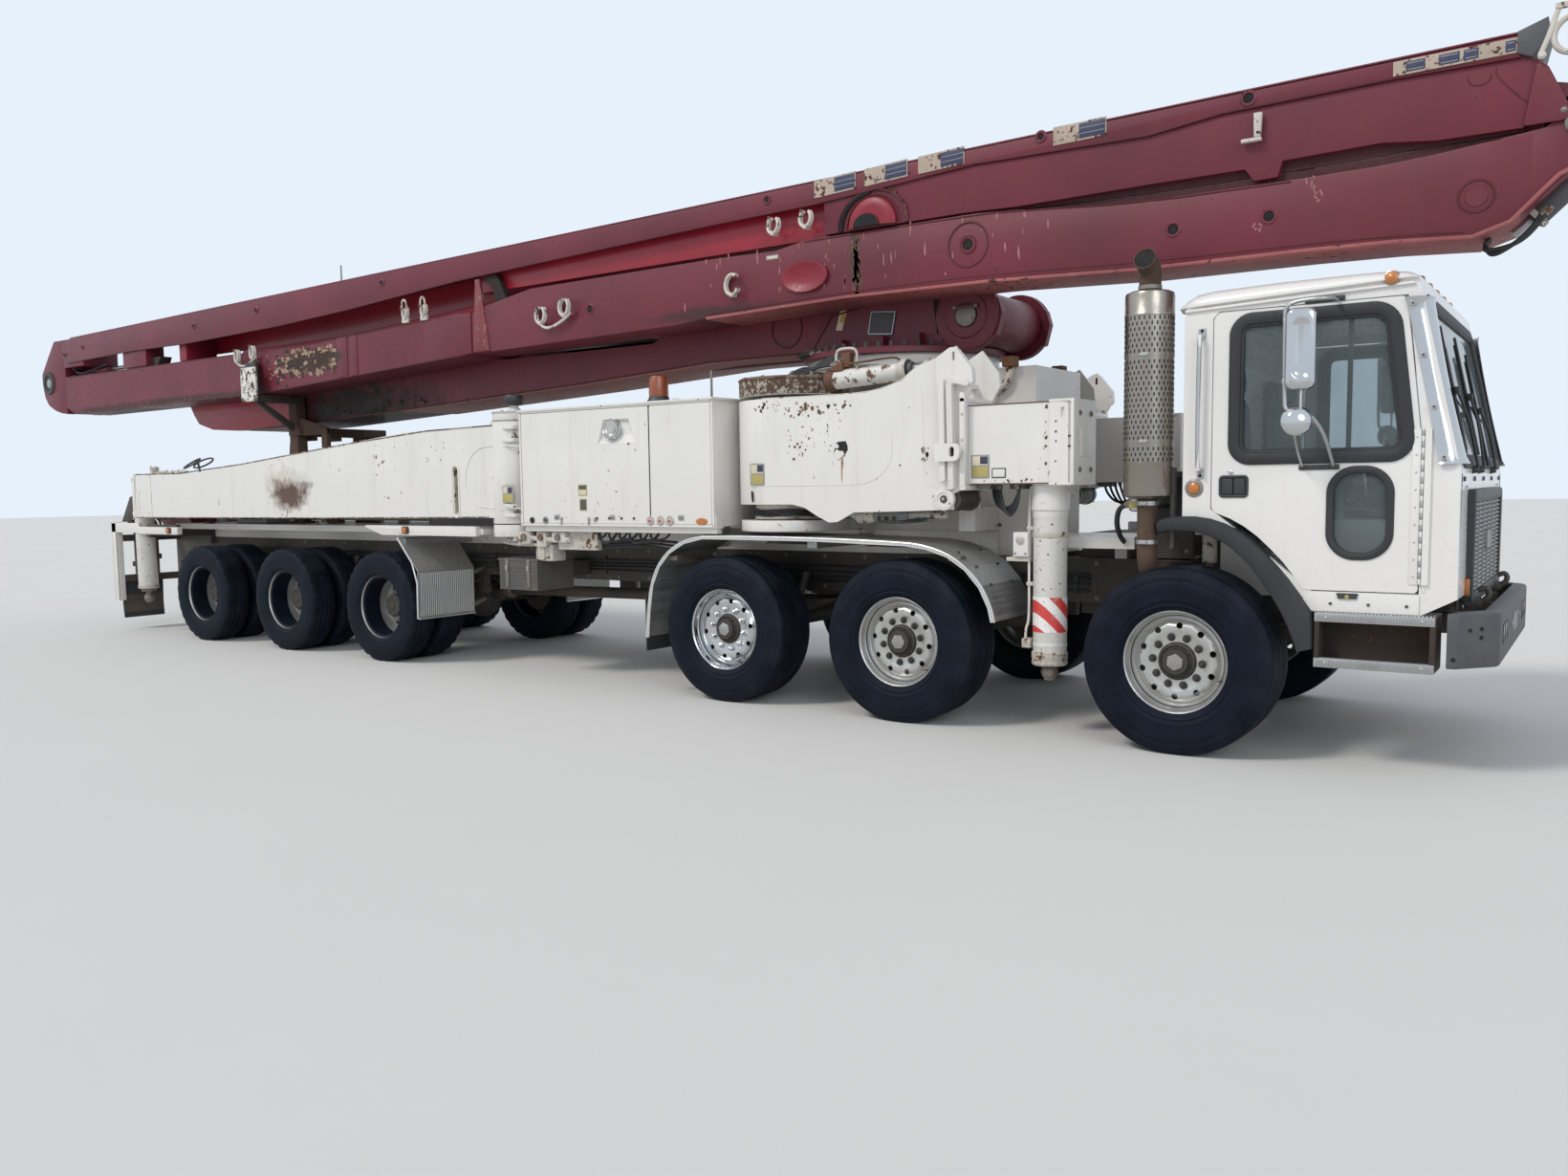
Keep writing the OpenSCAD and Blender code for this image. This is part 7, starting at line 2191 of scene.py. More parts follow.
def three_windows(p):
    """What shows in the rear windows: cylinder, hoses, a closing plate, an edge in lighter red painted as
    light, and near-black sheets painted as shadow.
    """
    p.rod((-14.0, -0.7, 3.135), (-13.25, -0.7, 3.142), 0.048, "red", 24)
    p.rod((-13.25, -0.7, 3.142), (-12.75, -0.7, 3.146), 0.024, "steel", 16)
    strap(p, (-13.3, -0.7, 3.142), FORE, 0.048, 0.04, "dark_red", 0.007)
    for k in range(3):
        hose(p, [(-14.02, -0.8 + 0.03 * k, 3.19), (-13.9, -0.82 + 0.03 * k, 3.12), (-13.7, -0.8, 3.11),
            (-13.5, -0.78, 3.16), (-13.3, -0.76, 3.19)], 0.012)
    p.box(-12.62, -12.08, -0.876, -0.66, 3.09, 3.385, "red", 0.006)
    # edge in the lighter red, painted as light on it
    p.box(-11.4, -11.25, -0.84, -0.48, 3.092, 3.41, "half_lit_red", 0.006)
    # near-black sheets painted as shadow in the window gaps
    p.slab([(-12.1, 3.19), (-11.9, 3.19), (-11.97, 3.092), (-12.1, 3.092)], -0.8, -0.66, "frame_black",
        0.005)
    p.slab([(-6.215, 3.455), (-6.04, 3.462), (-5.985, 3.37), (-5.9, 3.2), (-6.04, 3.2), (-6.1, 3.36),
        (-6.18, 3.425)], -0.864, -0.805, "painted_shade_dark", 0.005)


def three_stickers(p):
    """Holes in the strip, a hook and the blank stickers."""
    for x, z, r in ((-13.571, 3.415, 0.014), (-14.05, 3.36, 0.013), (-10.972, 3.445, 0.018),
            (-9.727, 3.503, 0.018), (-7.599, 3.554, 0.018), (-3.085, 3.658, 0.02), (-0.973, 3.731, 0.02),
            (0.27, 3.722, 0.027)):
        ragged_hole(p, x, z, STRIP_FACE, r)
    x, z = 0.33, 3.5
    p.slab([(x - 0.026, z + 0.13), (x - 0.022, z - 0.004), (x + 0.014, z - 0.004),
        (x + 0.022, z + 0.13)], -0.925, -0.893, "dirty_white", 0.008)
    p.box(x - 0.09, x + 0.02, -0.93, -0.9, z - 0.026, z - 0.006, "dirty_white", 0.005)
    # near-black disc painted as the shade in the hook's hole
    p.disc((x, -0.925, z + 0.02), OUT, 0.008, 0.003, "hole", 12)
    for x0, x1, z0, z1, slope in ((-2.669, -2.327, 3.605, 3.722, 0.05), (-2.257, -1.919, 3.623, 3.738,
            0.05), (-1.838, -1.498, 3.64, 3.752, 0.04), (-0.89, -0.551, 3.66, 3.77, 0.02)):
        blank_sticker(p, x0, x1, z0, z1, slope)
    blank_sticker(p, 1.002, 1.56, 3.69, 3.764, 0.008, fields=((0.11, 0.27), (0.38, 0.55), (0.58, 0.7),
        (0.91, 0.99)))


def three_end(p):
    """Dark end plate with the ring of the pipe holder, welds, clamp halves and the rod on top."""
    p.slab([(1.56, 3.69), (1.56, 3.795), (1.69, 3.84), (1.66, 3.7), (1.625, 3.66)], -0.905, -0.45,
        "charcoal", 0.005)
    ring_mid = (1.8, -0.905, 3.735)
    p.ring(ring_mid, (0.15, 1, 0), 0.088, 0.015, "dirty_white", 36, 1.3)
    p.tube([(1.66, -0.905, 3.66), (1.7, -0.905, 3.76), (1.725, -0.905, 3.86), (1.745, -0.905, 3.885)],
        0.013, "dirty_white", 8, 2)
    p.box(1.715, 1.775, -0.92, -0.89, 3.862, 3.89, "dirty_white", 0.006)
    p.bolt((1.668, -0.92, 3.652), OUT, 0.013, 0.012, "dirty_white")
    # welds and faint shapes near the front pivot
    arc = [(1.4 + 0.052 * math.cos(math.radians(t)), 3.61 + 0.04 * math.sin(math.radians(t)))
        for t in range(160, 371, 21)]
    bead(p, arc, NEAR_FACE, 0.004, "dark_red", 1)
    bead(p, [(1.47, 3.64), (1.475, 3.6), (1.56, 3.5), (1.6, 3.455), (1.63, 3.44)], NEAR_FACE, 0.004,
        "dark_red", 1)
    # clamp halves left on the face
    for x, z in ((-3.013, 3.462), (-2.731, 3.472)):
        clamp_ring(p, x, z, NEAR_FACE, 0.058, 70)
    # rod that stands on top near the middle
    p.rod((-8.56, -0.66, 3.6), (-8.56, -0.66, 3.86), 0.008, "worn_steel", 8)
    p.box(-8.59, -8.53, -0.69, -0.63, 3.6, 3.64, "dark_red", 0.005)


def section_three():
    """Third boom section: long box with a fork at the far end and plates at its front."""
    p = Piece("section_3", "boom_section_3")
    low = [(1.6, 3.326), (1.215, 3.33), (0.95, 3.363), (0.455, 3.352), (0.43, 3.268), (0.305, 3.265),
        (0.252, 3.337), (-0.304, 3.338), (-1.143, 3.332), (-1.5, 3.345), (-2.6, 3.345), (-2.602, 3.6),
        (-6.3, 3.56), (-8.2, 3.49), (-11.2, 3.4), (-13.6, 3.38), (-13.602, 3.195), (-14.1, 3.2)]
    top = [(-14.15, 3.5), (-13.9, 3.545), (1.645, 3.786), (1.622, 3.64), (1.696, 3.6), (1.65, 3.46)]
    p.slab(low + top, NEAR_FACE, FAR_FACE, "red", 0.006)
    # recessed web and the far plate, whose inner faces show through the gap in a lighter red painted as
    # sunlight on them
    p.slab([(-6.3, 3.335), (-2.59, 3.345), (-2.59, 3.61), (-6.3, 3.57)], -0.8, -0.478, "sunlit_red",
        0.003)
    far = [(-11.95, 3.19), (-8.86, 3.19), (-6.3, 3.325), (-2.59, 3.345), (-2.59, 3.61), (-6.3, 3.57),
        (-8.2, 3.5), (-11.2, 3.41), (-11.95, 3.4)]
    p.slab(far, -0.4785, -0.469, "sunlit_red", 0.001)
    p.slab(far, -0.4685, -0.4605, "red", 0.002)
    # flange plates that close the box above and below
    p.slab([(-13.9, 3.545), (1.64, 3.787), (1.64, 3.798), (-13.9, 3.557)], NEAR_FACE - 0.01,
        FAR_FACE + 0.01, "red", 0.003)
    three_strip(p)
    three_front(p)
    three_fork(p)
    three_windows(p)
    three_stickers(p)
    three_end(p)
    p.done(("boom_section_3",))


def boss():
    """Round barrel that shows in the upper plate above the second section, in a lighter red painted as
    light, with near-black painted shade in its hollow and trough.
    """
    p = Piece("section_3_boss", "boom_section_3")
    x, z, y = -2.2, 3.36, -0.881
    cut = 3.348

    def arc(r, grow=1.0, start=-4.0, stop=184.0, count=26):
        pts = []
        for k in range(count + 1):
            a = math.radians(start + (stop - start) * k / count)
            pts.append((x + r * grow * math.cos(a), max(cut, z + r * math.sin(a))))
        return pts

    rings = []
    for r, off in ((0.19, 0.004), (0.186, 0.02), (0.174, 0.03), (0.12, 0.034), (0.06, 0.026),
            (0.004, 0.022)):
        rings.append([(u, y - off, w) for u, w in arc(r)])
    p.loft(rings, "half_lit_red", closed=False, caps=False)
    # near-black sheet painted as the shade inside the barrel
    dark = [(u - 0.04, cut + (w - cut) * 0.8) for u, w in arc(0.1)]
    p.slab(dark, y - 0.0375, y - 0.02, "hole", 0.001)
    # rims: a trough at the left drawn near-black as painted shade, raised lip at the right
    lip_line = arc(0.238, 1.12, -3.0, 120.0, 20)
    bead(p, lip_line, y - 0.003, 0.012, "dark_red", 1)
    trough = arc(0.225, 1.14, 95.0, 183.0, 16)
    bead(p, trough, y - 0.001, 0.017, "hole", 1)
    bead(p, [(u - 0.026, w + 0.004) for u, w in trough], y - 0.004, 0.01, "dark_red", 1)
    bead(p, arc(0.202, 1.04, 0.0, 180.0, 20), y - 0.002, 0.006, "dark_red", 1)
    for k in range(16):
        a = math.radians(10 + 60 * random.random())
        r = 0.235 + 0.02 * random.random()
        flake(p, x + r * 1.12 * math.cos(a), z + r * math.sin(a), y - 0.013, 0.006, "chip", 0.8, 7,
            tall=1.6)
    p.done(())


def two_crank(p):
    """Crank to the near layer, sleeve at the joint with the last sections, and the near box."""
    p.slab([(-6.1, 2.86), (-6.1, 3.2), (-5.6, 3.278), (-4.8, 3.28), (-4.8, 2.86)], NEAR_FACE + 0.04,
        0.355, "red_drip", 0.01)
    p.slab([(-6.362, 2.806), (-6.362, 3.15), (-6.23, 3.198), (-6.1, 3.204), (-6.1, 2.806)],
        NEAR_FACE + 0.0015, FAR_FACE - 0.0015, "red_drip", 0.006)
    p.box(-6.3, -6.2, NEAR_FACE - 0.004, NEAR_FACE + 0.004, 2.806, 3.17, "red_drip", 0.003)
    p.slab([(-6.345, 2.812), (-6.29, 3.44), (-6.235, 3.44), (-6.13, 2.812)], NEAR_FACE - 0.0075,
        NEAR_FACE + 0.02, "scuffed", 0.003)
    low = [(-6.12, 2.8), (-4.0, 2.84), (-3.671, 2.866), (-2.317, 2.905), (-1.298, 2.897),
        (-0.345, 2.858), (0.569, 2.855), (1.018, 2.842), (1.38, 2.818), (1.56, 2.87), (1.64, 2.94)]
    top = [(1.64, 3.296), (1.406, 3.281), (1.215, 3.262), (0.953, 3.246), (0.516, 3.241),
        (-0.418, 3.247), (-1.143, 3.312), (-1.418, 3.33), (-2.772, 3.33), (-3.032, 3.288), (-3.6, 3.3),
        (-5.6, 3.29), (-6.12, 3.21)]
    p.slab(low + top, NEAR_FACE, FAR_FACE, "red_drip", 0.006)


def two_fork(p):
    """Fork round the front pivot."""
    fork = [(1.5, 2.85), (1.5, 3.29), (1.7, 3.312), (1.85, 3.5), (2.035, 3.33), (1.99, 3.19),
        (1.85, 3.12), (1.76, 3.04), (1.62, 2.905)]
    fork = rounded(fork, [0.01, 0.01, 0.06, 0.19, 0.15, 0.1, 0.1, 0.1, 0.06], 4)
    for y0, y1 in ((NEAR_FACE + 0.002, -0.782), (-0.558, FAR_FACE - 0.002)):
        p.slab(fork, y0, y1, "red_drip", 0.006)
    pin_end(p, PIVOT_C, NEAR_FACE, -1, 0.078)


def two_flanges(p):
    """Flanges above and below the web; the lower one wraps round the nose."""
    wrap = [(-3.671, 2.86), (-2.4, 2.894), (-1.298, 2.884), (-0.345, 2.846), (0.569, 2.843),
        (1.018, 2.834), (1.39, 2.812), (1.56, 2.868), (1.68, 2.99), (1.762, 3.07), (1.85, 3.11)]
    rings = []
    for i, (x, z) in enumerate(wrap):
        before = Vector(wrap[max(i - 1, 0)])
        after = Vector(wrap[min(i + 1, len(wrap) - 1)])
        d = (after - before).normalized()
        n = Vector((-d.y, d.x))
        o = Vector((x, z)) - n * 0.008
        q = Vector((x, z)) + n * 0.012
        rings.append([(o.x, NEAR_FACE - 0.022, o.y), (q.x, NEAR_FACE - 0.022, q.y),
            (q.x, FAR_FACE + 0.022, q.y), (o.x, FAR_FACE + 0.022, o.y)])
    p.loft(rings, "flange_pink", bevel=0.003)
    bead(p, [(-3.669, 2.896), (-2.317, 2.933), (-1.298, 2.93), (-0.298, 2.887), (0.6, 2.88),
        (1.05, 2.866), (1.35, 2.846)], NEAR_FACE - 0.0005, 0.0035, "dark_red", 1)
    bead(p, [(-2.772, 3.32), (-1.418, 3.322), (-1.143, 3.306), (-0.35, 3.24), (0.5, 3.232)],
        NEAR_FACE - 0.0005, 0.0045, "dark_red", 1)


def two_face(p):
    """Dished oval in a lighter red painted as light, ring bosses and holes of the near face, and the
    recessed webs behind the gap in dark red painted as shade.
    """
    profile = [(1.06, 0.0), (1.0, 0.006), (0.93, 0.004), (0.7, -0.012), (0.35, -0.02), (0.0, -0.022)]
    rings = []
    for u, h in profile:
        rings.append([(-2.763 + 0.185 * u * dx, NEAR_FACE - 0.022 - h, 3.072 + 0.105 * u * dz) for dz,
            dx in spokes(40, 1.0)])
    p.loft(rings, "half_lit_red", caps=False)
    p.loft([[(q[0], NEAR_FACE + 0.002, q[2]) for q in rings[0]], rings[0]], "red_drip", caps=False)
    p.lathe([(0.15, 0.0), (0.146, 0.006), (0.138, 0.006), (0.134, 0.0)], (-1.482, NEAR_FACE, 3.139), OUT,
        "dark_red", 48)
    ragged_hole(p, -1.482, 3.139, NEAR_FACE, 0.036)
    p.lathe([(0.062, 0.0), (0.058, 0.008), (0.052, 0.008), (0.05, 0.0)], (-1.482, NEAR_FACE, 3.139), OUT,
        "red_drip", 32)
    for x, z, r in ((-0.148, 3.058, 0.03), (0.389, 3.059, 0.028), (-4.9, 3.05, 0.028)):
        ragged_hole(p, x, z, NEAR_FACE, r)
    p.lathe([(0.088, 0.0), (0.084, 0.005), (0.078, 0.005), (0.074, 0.0)], (1.403, NEAR_FACE, 3.02), OUT,
        "dark_red", 36)
    p.lathe([(0.056, 0.0), (0.052, 0.004), (0.046, 0.004), (0.0, 0.001)], (1.403, NEAR_FACE, 3.02), OUT,
        "red_drip", 28)
    for x0, x1 in ((-1.45, 0.2), (0.2, 1.6)):
        line = [(x0 + (x1 - x0) * k / 8) for k in range(9)]
        p.slab([(x, 3.2) for x in line] + [(x, lens_middle(x) - 0.003) for x in reversed(line)], -0.835,
            -0.815, "shaded_gap_red", 0.0)
    # lens shaped socket behind the step block
    p.lathe([(0.045, 0.0), (0.045, 0.1), (0.0, 0.1)], (0.56, -0.72, 3.285), OUT, "dark_red", 24)


def two_paint(p):
    """Runs, chips, clamp halves and a blank plate."""
    for _ in range(46):
        x = random.uniform(-3.9, -0.9)
        z = 3.3 - 0.34 * random.random() ** 1.5
        flake(p, x, z, NEAR_FACE - 0.0004, 0.0035 + 0.004 * random.random(), "faded", 0.7, 8, 0.0005,
            2.0 + 6.0 * random.random())
    for _ in range(60):
        x = -2.335 + 0.05 * (random.random() + random.random() - 1.0)
        z = 3.3 - 0.4 * random.random()
        flake(p, x, z, NEAR_FACE - 0.0004, 0.006 + 0.008 * random.random(), "chip", 0.9, 8, 0.0006,
            1.0 + 2.5 * random.random())
    for x0, z0 in ((0.3, 2.98), (0.62, 3.1), (0.58, 3.16)):
        for _ in range(9):
            flake(p, x0 + 0.05 * random.random(), z0 + 0.08 * random.random(), NEAR_FACE - 0.0004, 0.005,
                "faded", 0.8, 7, 0.0005, 2.0)
    clamp_ring(p, -3.397, 3.082, NEAR_FACE, 0.074, 80, 10)
    clamp_pair(p, (-5.44, 3.05), (-5.16, 3.09), NEAR_FACE, 0.07, 0.105)
    tag(p, -3.11, -3.0, 3.23, 3.262, NEAR_FACE, "grey", "cream")


def two_nose(p):
    """Cylinder behind the nose and its hoses."""
    p.rod((1.86, -0.67, 3.12), (1.64, -0.67, 2.905), 0.062, "charcoal", 28)
    p.rod((1.64, -0.67, 2.905), (1.56, -0.67, 2.835), 0.034, "steel", 18)
    strap(p, (1.655, -0.67, 2.92), (0.72, 0, 0.7), 0.062, 0.03, "dirty_white", 0.008)
    for k in range(2):
        hose(p, [(1.7 + 0.02 * k, -0.78, 2.93), (1.64, -0.8, 2.83 - 0.02 * k), (1.56, -0.8, 2.76),
            (1.47 - 0.03 * k, -0.78, 2.72 + 0.03 * k), (1.44, -0.76, 2.78), (1.45, -0.74, 2.812)], 0.012)


def section_two():
    """Second boom section: it crosses from the middle layer to the near layer."""
    p = Piece("section_2", "boom_section_2")
    # rear half in the middle layer with its lug, in a lighter red painted as sunlight on it
    p.slab([(-11.33, 2.86), (-11.33, 3.26), (-11.0, 3.43), (-6.3, 3.5), (-5.2, 3.33), (-4.79, 3.29),
        (-4.79, 2.86)], -0.12, 0.36, "sunlit_red", 0.008)
    p.slab([(-11.6, 2.86), (-11.6, 3.07), (-11.32, 3.18), (-11.32, 2.86)], -0.022, 0.242, "sunlit_red",
        0.005)
    hub(p, PIVOT_B, -0.022, 0.242, 0.24, "sunlit_red")
    two_crank(p)
    two_fork(p)
    two_flanges(p)
    two_face(p)
    two_paint(p)
    two_nose(p)
    p.done(("boom_section_2",))


def section_four():
    """What lies on the fourth section's box: plate edges, clamps and torn paint."""
    p = Piece("section_4_detail", "boom_section_4")
    a = -0.8805
    # edges of the plates that wrap the box, and the dotted seam
    top = [(-14.05, 3.072), (-12.613, 3.074), (-10.199, 3.074), (-8.9, 3.074), (-6.95, 3.15),
        (-6.52, 3.126)]
    bead(p, top, a, 0.005, "dark_red", 0)
    low = [(-13.9, 2.618), (-11.202, 2.632), (-9.75, 2.64), (-7.823, 2.73), (-6.52, 2.796)]
    bead(p, low, a, 0.006, "dark_red", 0)
    for k in range(9):
        z = 2.7 + 0.036 * k
        p.slab(rect(-11.724, -11.712, z, z + 0.02), a - 0.003, a, "faded", 0.001)
    p.box(-8.36, -8.2, a - 0.005, a + 0.004, 2.715, 3.098, "red_low", 0.003)
    p.box(-8.14, -8.04, a - 0.005, a + 0.004, 2.725, 3.102, "red_low", 0.003)
    clamp_pair(p, (-10.081, 3.05), (-9.79, 3.071), a, 0.066, 0.1)
    for x in (-7.27, -7.001):
        clamp_ring(p, x, 3.245, a + 0.03, 0.052, 90, 90)
        p.tube([(x - 0.036, a - 0.02, 3.285), (x - 0.03, a - 0.02, 3.345), (x, a - 0.02, 3.365),
            (x + 0.026, a - 0.02, 3.34), (x + 0.034, a - 0.02, 3.285)], 0.009, "dirty_white", 8, 2)
        p.box(x - 0.045, x + 0.045, a - 0.02, a + 0.004, 3.15, 3.195, "dirty_white", 0.004)
    # torn paint over bare metal: dark flakes thick in the middle, tan ones towards the edge
    for _ in range(520):
        u = random.gauss(0.0, 1.0)
        v = random.gauss(0.0, 1.0)
        x = -8.82 + 0.34 * u
        z = 2.905 + 0.068 * v + 0.04 * (x + 8.82)
        if not -9.6 < x < -8.42 or not 2.68 < z < 3.06:
            continue
        far = math.hypot(u, v)
        mat = "tan" if far > 1.15 and random.random() < 0.55 or random.random() < 0.06 else "scorch"
        flake(p, x, z, a - 0.0004 * random.random(), 0.01 + 0.03 * random.random() ** 2, mat, 0.9, 9,
            0.0006, 0.7)
    for _ in range(60):
        x = random.uniform(-13.9, -10.2)
        flake(p, x, 2.615 + 0.03 * random.random() ** 2 + (x + 13.9) * 0.004, a - 0.0004,
            0.006 + 0.012 * random.random(), "chip", 0.9, 8, 0.0006, 0.9)
    p.slab([(-7.02, 2.772), (-7.02, 3.142), (-6.56, 3.168), (-6.368, 3.16), (-6.368, 2.806),
        (-6.56, 2.792)], a - 0.004, a + 0.03, "red_low", 0.002)
    p.done(())


def section_one():
    """What lies on the first section's box: nose plate, welds and near-black flakes of painted shade."""
    p = Piece("section_1_detail", "boom_section_1")
    # nose plate at the rear end in the lighter red painted as sunlight, and welded edges
    nose = [(-12.018, 2.69), (-11.9, 2.52), (-11.8, 2.412), (-11.505, 2.336), (-11.0, 2.306),
        (-9.93, 2.334), (-9.93, 2.8), (-11.98, 2.8)]
    p.slab(rounded(nose, [0.05, 0.1, 0.08, 0.1, 0, 0, 0, 0.02], 3), -0.438, -0.362, "sunlit_red", 0.008)
    p.slab(rounded([(-12.0, 2.7), (-11.8, 2.43), (-11.5, 2.345), (-11.44, 2.345), (-11.44, 2.55),
        (-11.86, 2.72)], 0.03, 3), -0.362, -0.14, "sunlit_red", 0.006)
    bead(p, [(-10.85, 2.312), (-9.9, 2.334), (-8.4, 2.394), (-5.6, 2.514), (-4.05, 2.602),
        (-2.8, 2.602)], -0.361, 0.007, "dark_red", 0)
    bead(p, [(-4.7, 2.79), (-4.0, 3.01), (-2.2, 3.01)], -0.361, 0.006, "dark_red", 0)
    # faded plate along the underside
    under = [(-8.1, 2.401), (-5.6, 2.509), (-4.0, 2.599), (-3.05, 2.599)]
    p.slab(under + [(x, z - 0.008) for x, z in reversed(under)], -0.352, 0.352, "pink", 0.002)
    p.lathe([(0.15, 0.0), (0.146, 0.008), (0.136, 0.008), (0.132, 0.0)], (-3.3, -0.361, 2.8), OUT,
        "dark_red", 40)
    # near-black flakes along the lower edge, painted shade under the sections above
    for _ in range(36):
        u = random.gauss(0.0, 1.0)
        x = -9.1 + 0.8 * u
        if not -10.6 < x < -7.0:
            continue
        z = near_height(x, [(-11.0, 2.32), (-9.9, 2.335), (-8.4, 2.395), (-5.6,
            2.515)]) + 0.1 * random.random()
        flake(p, x, z + 0.01, -0.3612, 0.012 + 0.03 * random.random() ** 2, "painted_shade_dark", 0.9, 9, 0.0006, 0.8)
    p.done(())


def turret_details():
    """Bolted ring, pins and blank plates of the turret."""
    p = Piece("turret_detail", "turret")
    # bolted ring, stiff edges and doubler on the side plates
    for k in range(48):
        t = 2 * math.pi * k / 48
        c = (-2.46 + 0.715 * math.cos(t), 0.715 * math.sin(t), 2.56)
        p.rod(c, (c[0], c[1], 2.572), 0.02, "cast", 12, 0.001)
        p.lathe([(0.0, 0.03), (0.012, 0.03), (0.015, 0.024), (0.015, 0.0)], (c[0], c[1], 2.57), UP,
            "cast", 6)
    p.lathe([(0.752, 2.512), (0.768, 2.516), (0.768, 2.552), (0.752, 2.558)], (-2.46, 0, 0), UP, "red",
        96)
    for s in BOTH:
        y = s * 0.446
        outline = [(-3.0, 2.556), (-2.978, 2.64), (-2.82, 2.848), (-1.98, 2.982), (-1.936, 2.64)]
        p.tube([(x, y, z) for x, z in outline], 0.008, "dark_red", 6, 0)
        for x in (-2.7, -2.35, -2.05):
            p.slab(rect(x - 0.006, x + 0.006, 2.566, 2.66), *sorted((y, y + s * 0.07)), "red", 0.002)
        p.lathe([(0.242, 0.0), (0.24, 0.01), (0.226, 0.014), (0.16, 0.014), (0.152, 0.022),
            (0.086, 0.022)], (-1.7, s * 0.452, 2.75), (0, s, 0), "red", 48)
        pin_end(p, (-1.7, 2.75), s * 0.472, s, 0.078)
    # near-black sheet painted as shade on the near side plate
    p.slab([(-1.972, 2.905), (-1.82, 2.925), (-1.905, 2.83), (-1.925, 2.7), (-1.938, 2.66)], -0.4485,
        -0.44, "hole", 0.001)
    # blank badge plate and a small label
    badge = [(-2.483, 2.857), (-2.265, 2.838), (-2.297, 2.663), (-2.515, 2.681)]
    p.slab(rounded(badge, 0.008, 2), -0.452, -0.445, "charcoal", 0.001)
    p.sweep(rounded(outward(badge, -0.01), 0.006, 2), rect(-0.002, 0.003, -0.4515, -0.4545), "steel")
    p.slab([(-2.684, 2.895), (-2.735, 2.735), (-2.79, 2.74), (-2.742, 2.9)], -0.4475, -0.445, "cream",
        0.0005)
    p.slab([(-2.69, 2.862), (-2.715, 2.79), (-2.76, 2.792), (-2.734, 2.864)], -0.4482, -0.447,
        "amber_tag", 0.0004)
    # rubber lines that leave the ring
    for k in range(4):
        hose(p, [(-3.02, -0.42 - 0.02 * k, 2.6), (-3.1, -0.5, 2.575 - 0.012 * k),
            (-3.02 + 0.05 * k, -0.6, 2.56), (-2.85 + 0.06 * k, -0.66, 2.556)], 0.012)
    p.done(())


section_three()
boss()
section_two()
section_four()
section_one()
turret_details()


# Exhaust, boom rest, cab interior, tanks and what lies under the frame

STACK_X, STACK_Y = -0.19, -1.15
STACK_BANDS = (1.811, 2.302)


def heat_shield(p):
    """Slots of the heat shield, as near-black boxes painted as the shade in them."""
    verts = []
    faces = []
    rows = 27
    for row in range(rows):
        z = 1.706 + row * (2.508 - 1.706) / (rows - 1)
        if min(abs(z - band) for band in STACK_BANDS) < 0.018:
            continue
        for k in range(30):
            t = 2 * math.pi * (k + 0.5 * (row % 2)) / 30
            base = len(verts)
            for r in (0.137, 0.1392):
                for u, h in ((-0.0038, -0.01), (-0.0038, 0.01), (0.0038, 0.01), (0.0038, -0.01)):
                    s = t + u / 0.138
                    verts.append((STACK_X + r * math.cos(s), STACK_Y + r * math.sin(s), z + h))
            faces += [[base + j for j in f] for f in ((4, 5, 6, 7), (0, 1, 5, 4), (1, 2, 6, 5),
                (2, 3, 7, 6), (3, 0, 4, 7), (3, 2, 1, 0))]
    p.add(verts, faces, "hole")


def exhaust_mouth(p):
    """Neck, bend and open mouth of the pipe."""
    p.rod((STACK_X, STACK_Y, 2.66), (STACK_X, STACK_Y, 2.735), 0.062, "deep_rust", 32)
    strap(p, (STACK_X, STACK_Y, 2.69), UP, 0.062, 0.022, "worn_steel", 0.004)
    path = [Vector((STACK_X, STACK_Y, 2.72)), Vector((STACK_X, STACK_Y, 2.76))]
    out = Vector((0.0, -0.927, 0.375))
    mouth = Vector((STACK_X, -1.247, 2.839))
    path += [Vector((STACK_X, STACK_Y - 0.006, 2.79)), Vector((STACK_X, STACK_Y - 0.026, 2.812)),
        mouth - out * 0.035, mouth]
    p.tube([tuple(v) for v in path], 0.062, "deep_rust", 28, 3)
    p.lathe([(0.0625, -0.012), (0.0655, 0.0), (0.0645, 0.008), (0.058, 0.008), (0.0565, 0.001)], mouth,
        out, "deep_rust", 32)
    # near-black disc painted as the shade inside the open mouth
    p.lathe([(0.057, 0.0015), (0.03, 0.0025), (0.0, 0.003)], mouth, out, "hole", 32)


def exhaust_foot(p):
    """Pipe below, its clamps and the black brackets."""
    p.rod((STACK_X, STACK_Y, 1.18), (STACK_X, STACK_Y, 1.486), 0.058, "deep_rust", 32)
    p.tube([(STACK_X, STACK_Y, 1.2), (STACK_X, STACK_Y, 1.13), (STACK_X, STACK_Y + 0.05, 1.06),
        (STACK_X, STACK_Y + 0.16, 1.03), (STACK_X, STACK_Y + 0.36, 1.03)], 0.058, "deep_rust", 20, 3)
    for z in (1.455, 1.23):
        strap(p, (STACK_X, STACK_Y, z), UP, 0.059, 0.024, "steel", 0.004)
        p.box(STACK_X - 0.02, STACK_X + 0.02, STACK_Y - 0.078, STACK_Y - 0.06, z - 0.01, z + 0.01,
            "steel", 0.003)
    p.box(-0.33, -0.06, -1.15, -0.645, 1.602, 1.638, "frame_black", 0.005)
    p.box(-0.33, -0.06, -0.69, -0.64, 1.09, 1.64, "frame_black", 0.006)
    p.box(-0.33, -0.06, -0.69, -0.39, 1.081, 1.11, "frame_black", 0.005)
    for z in (1.15, 1.45):
        for q in (-0.295, -0.095):
            p.bolt((q, -0.69, z), OUT, 0.011, 0.01, "worn_steel")


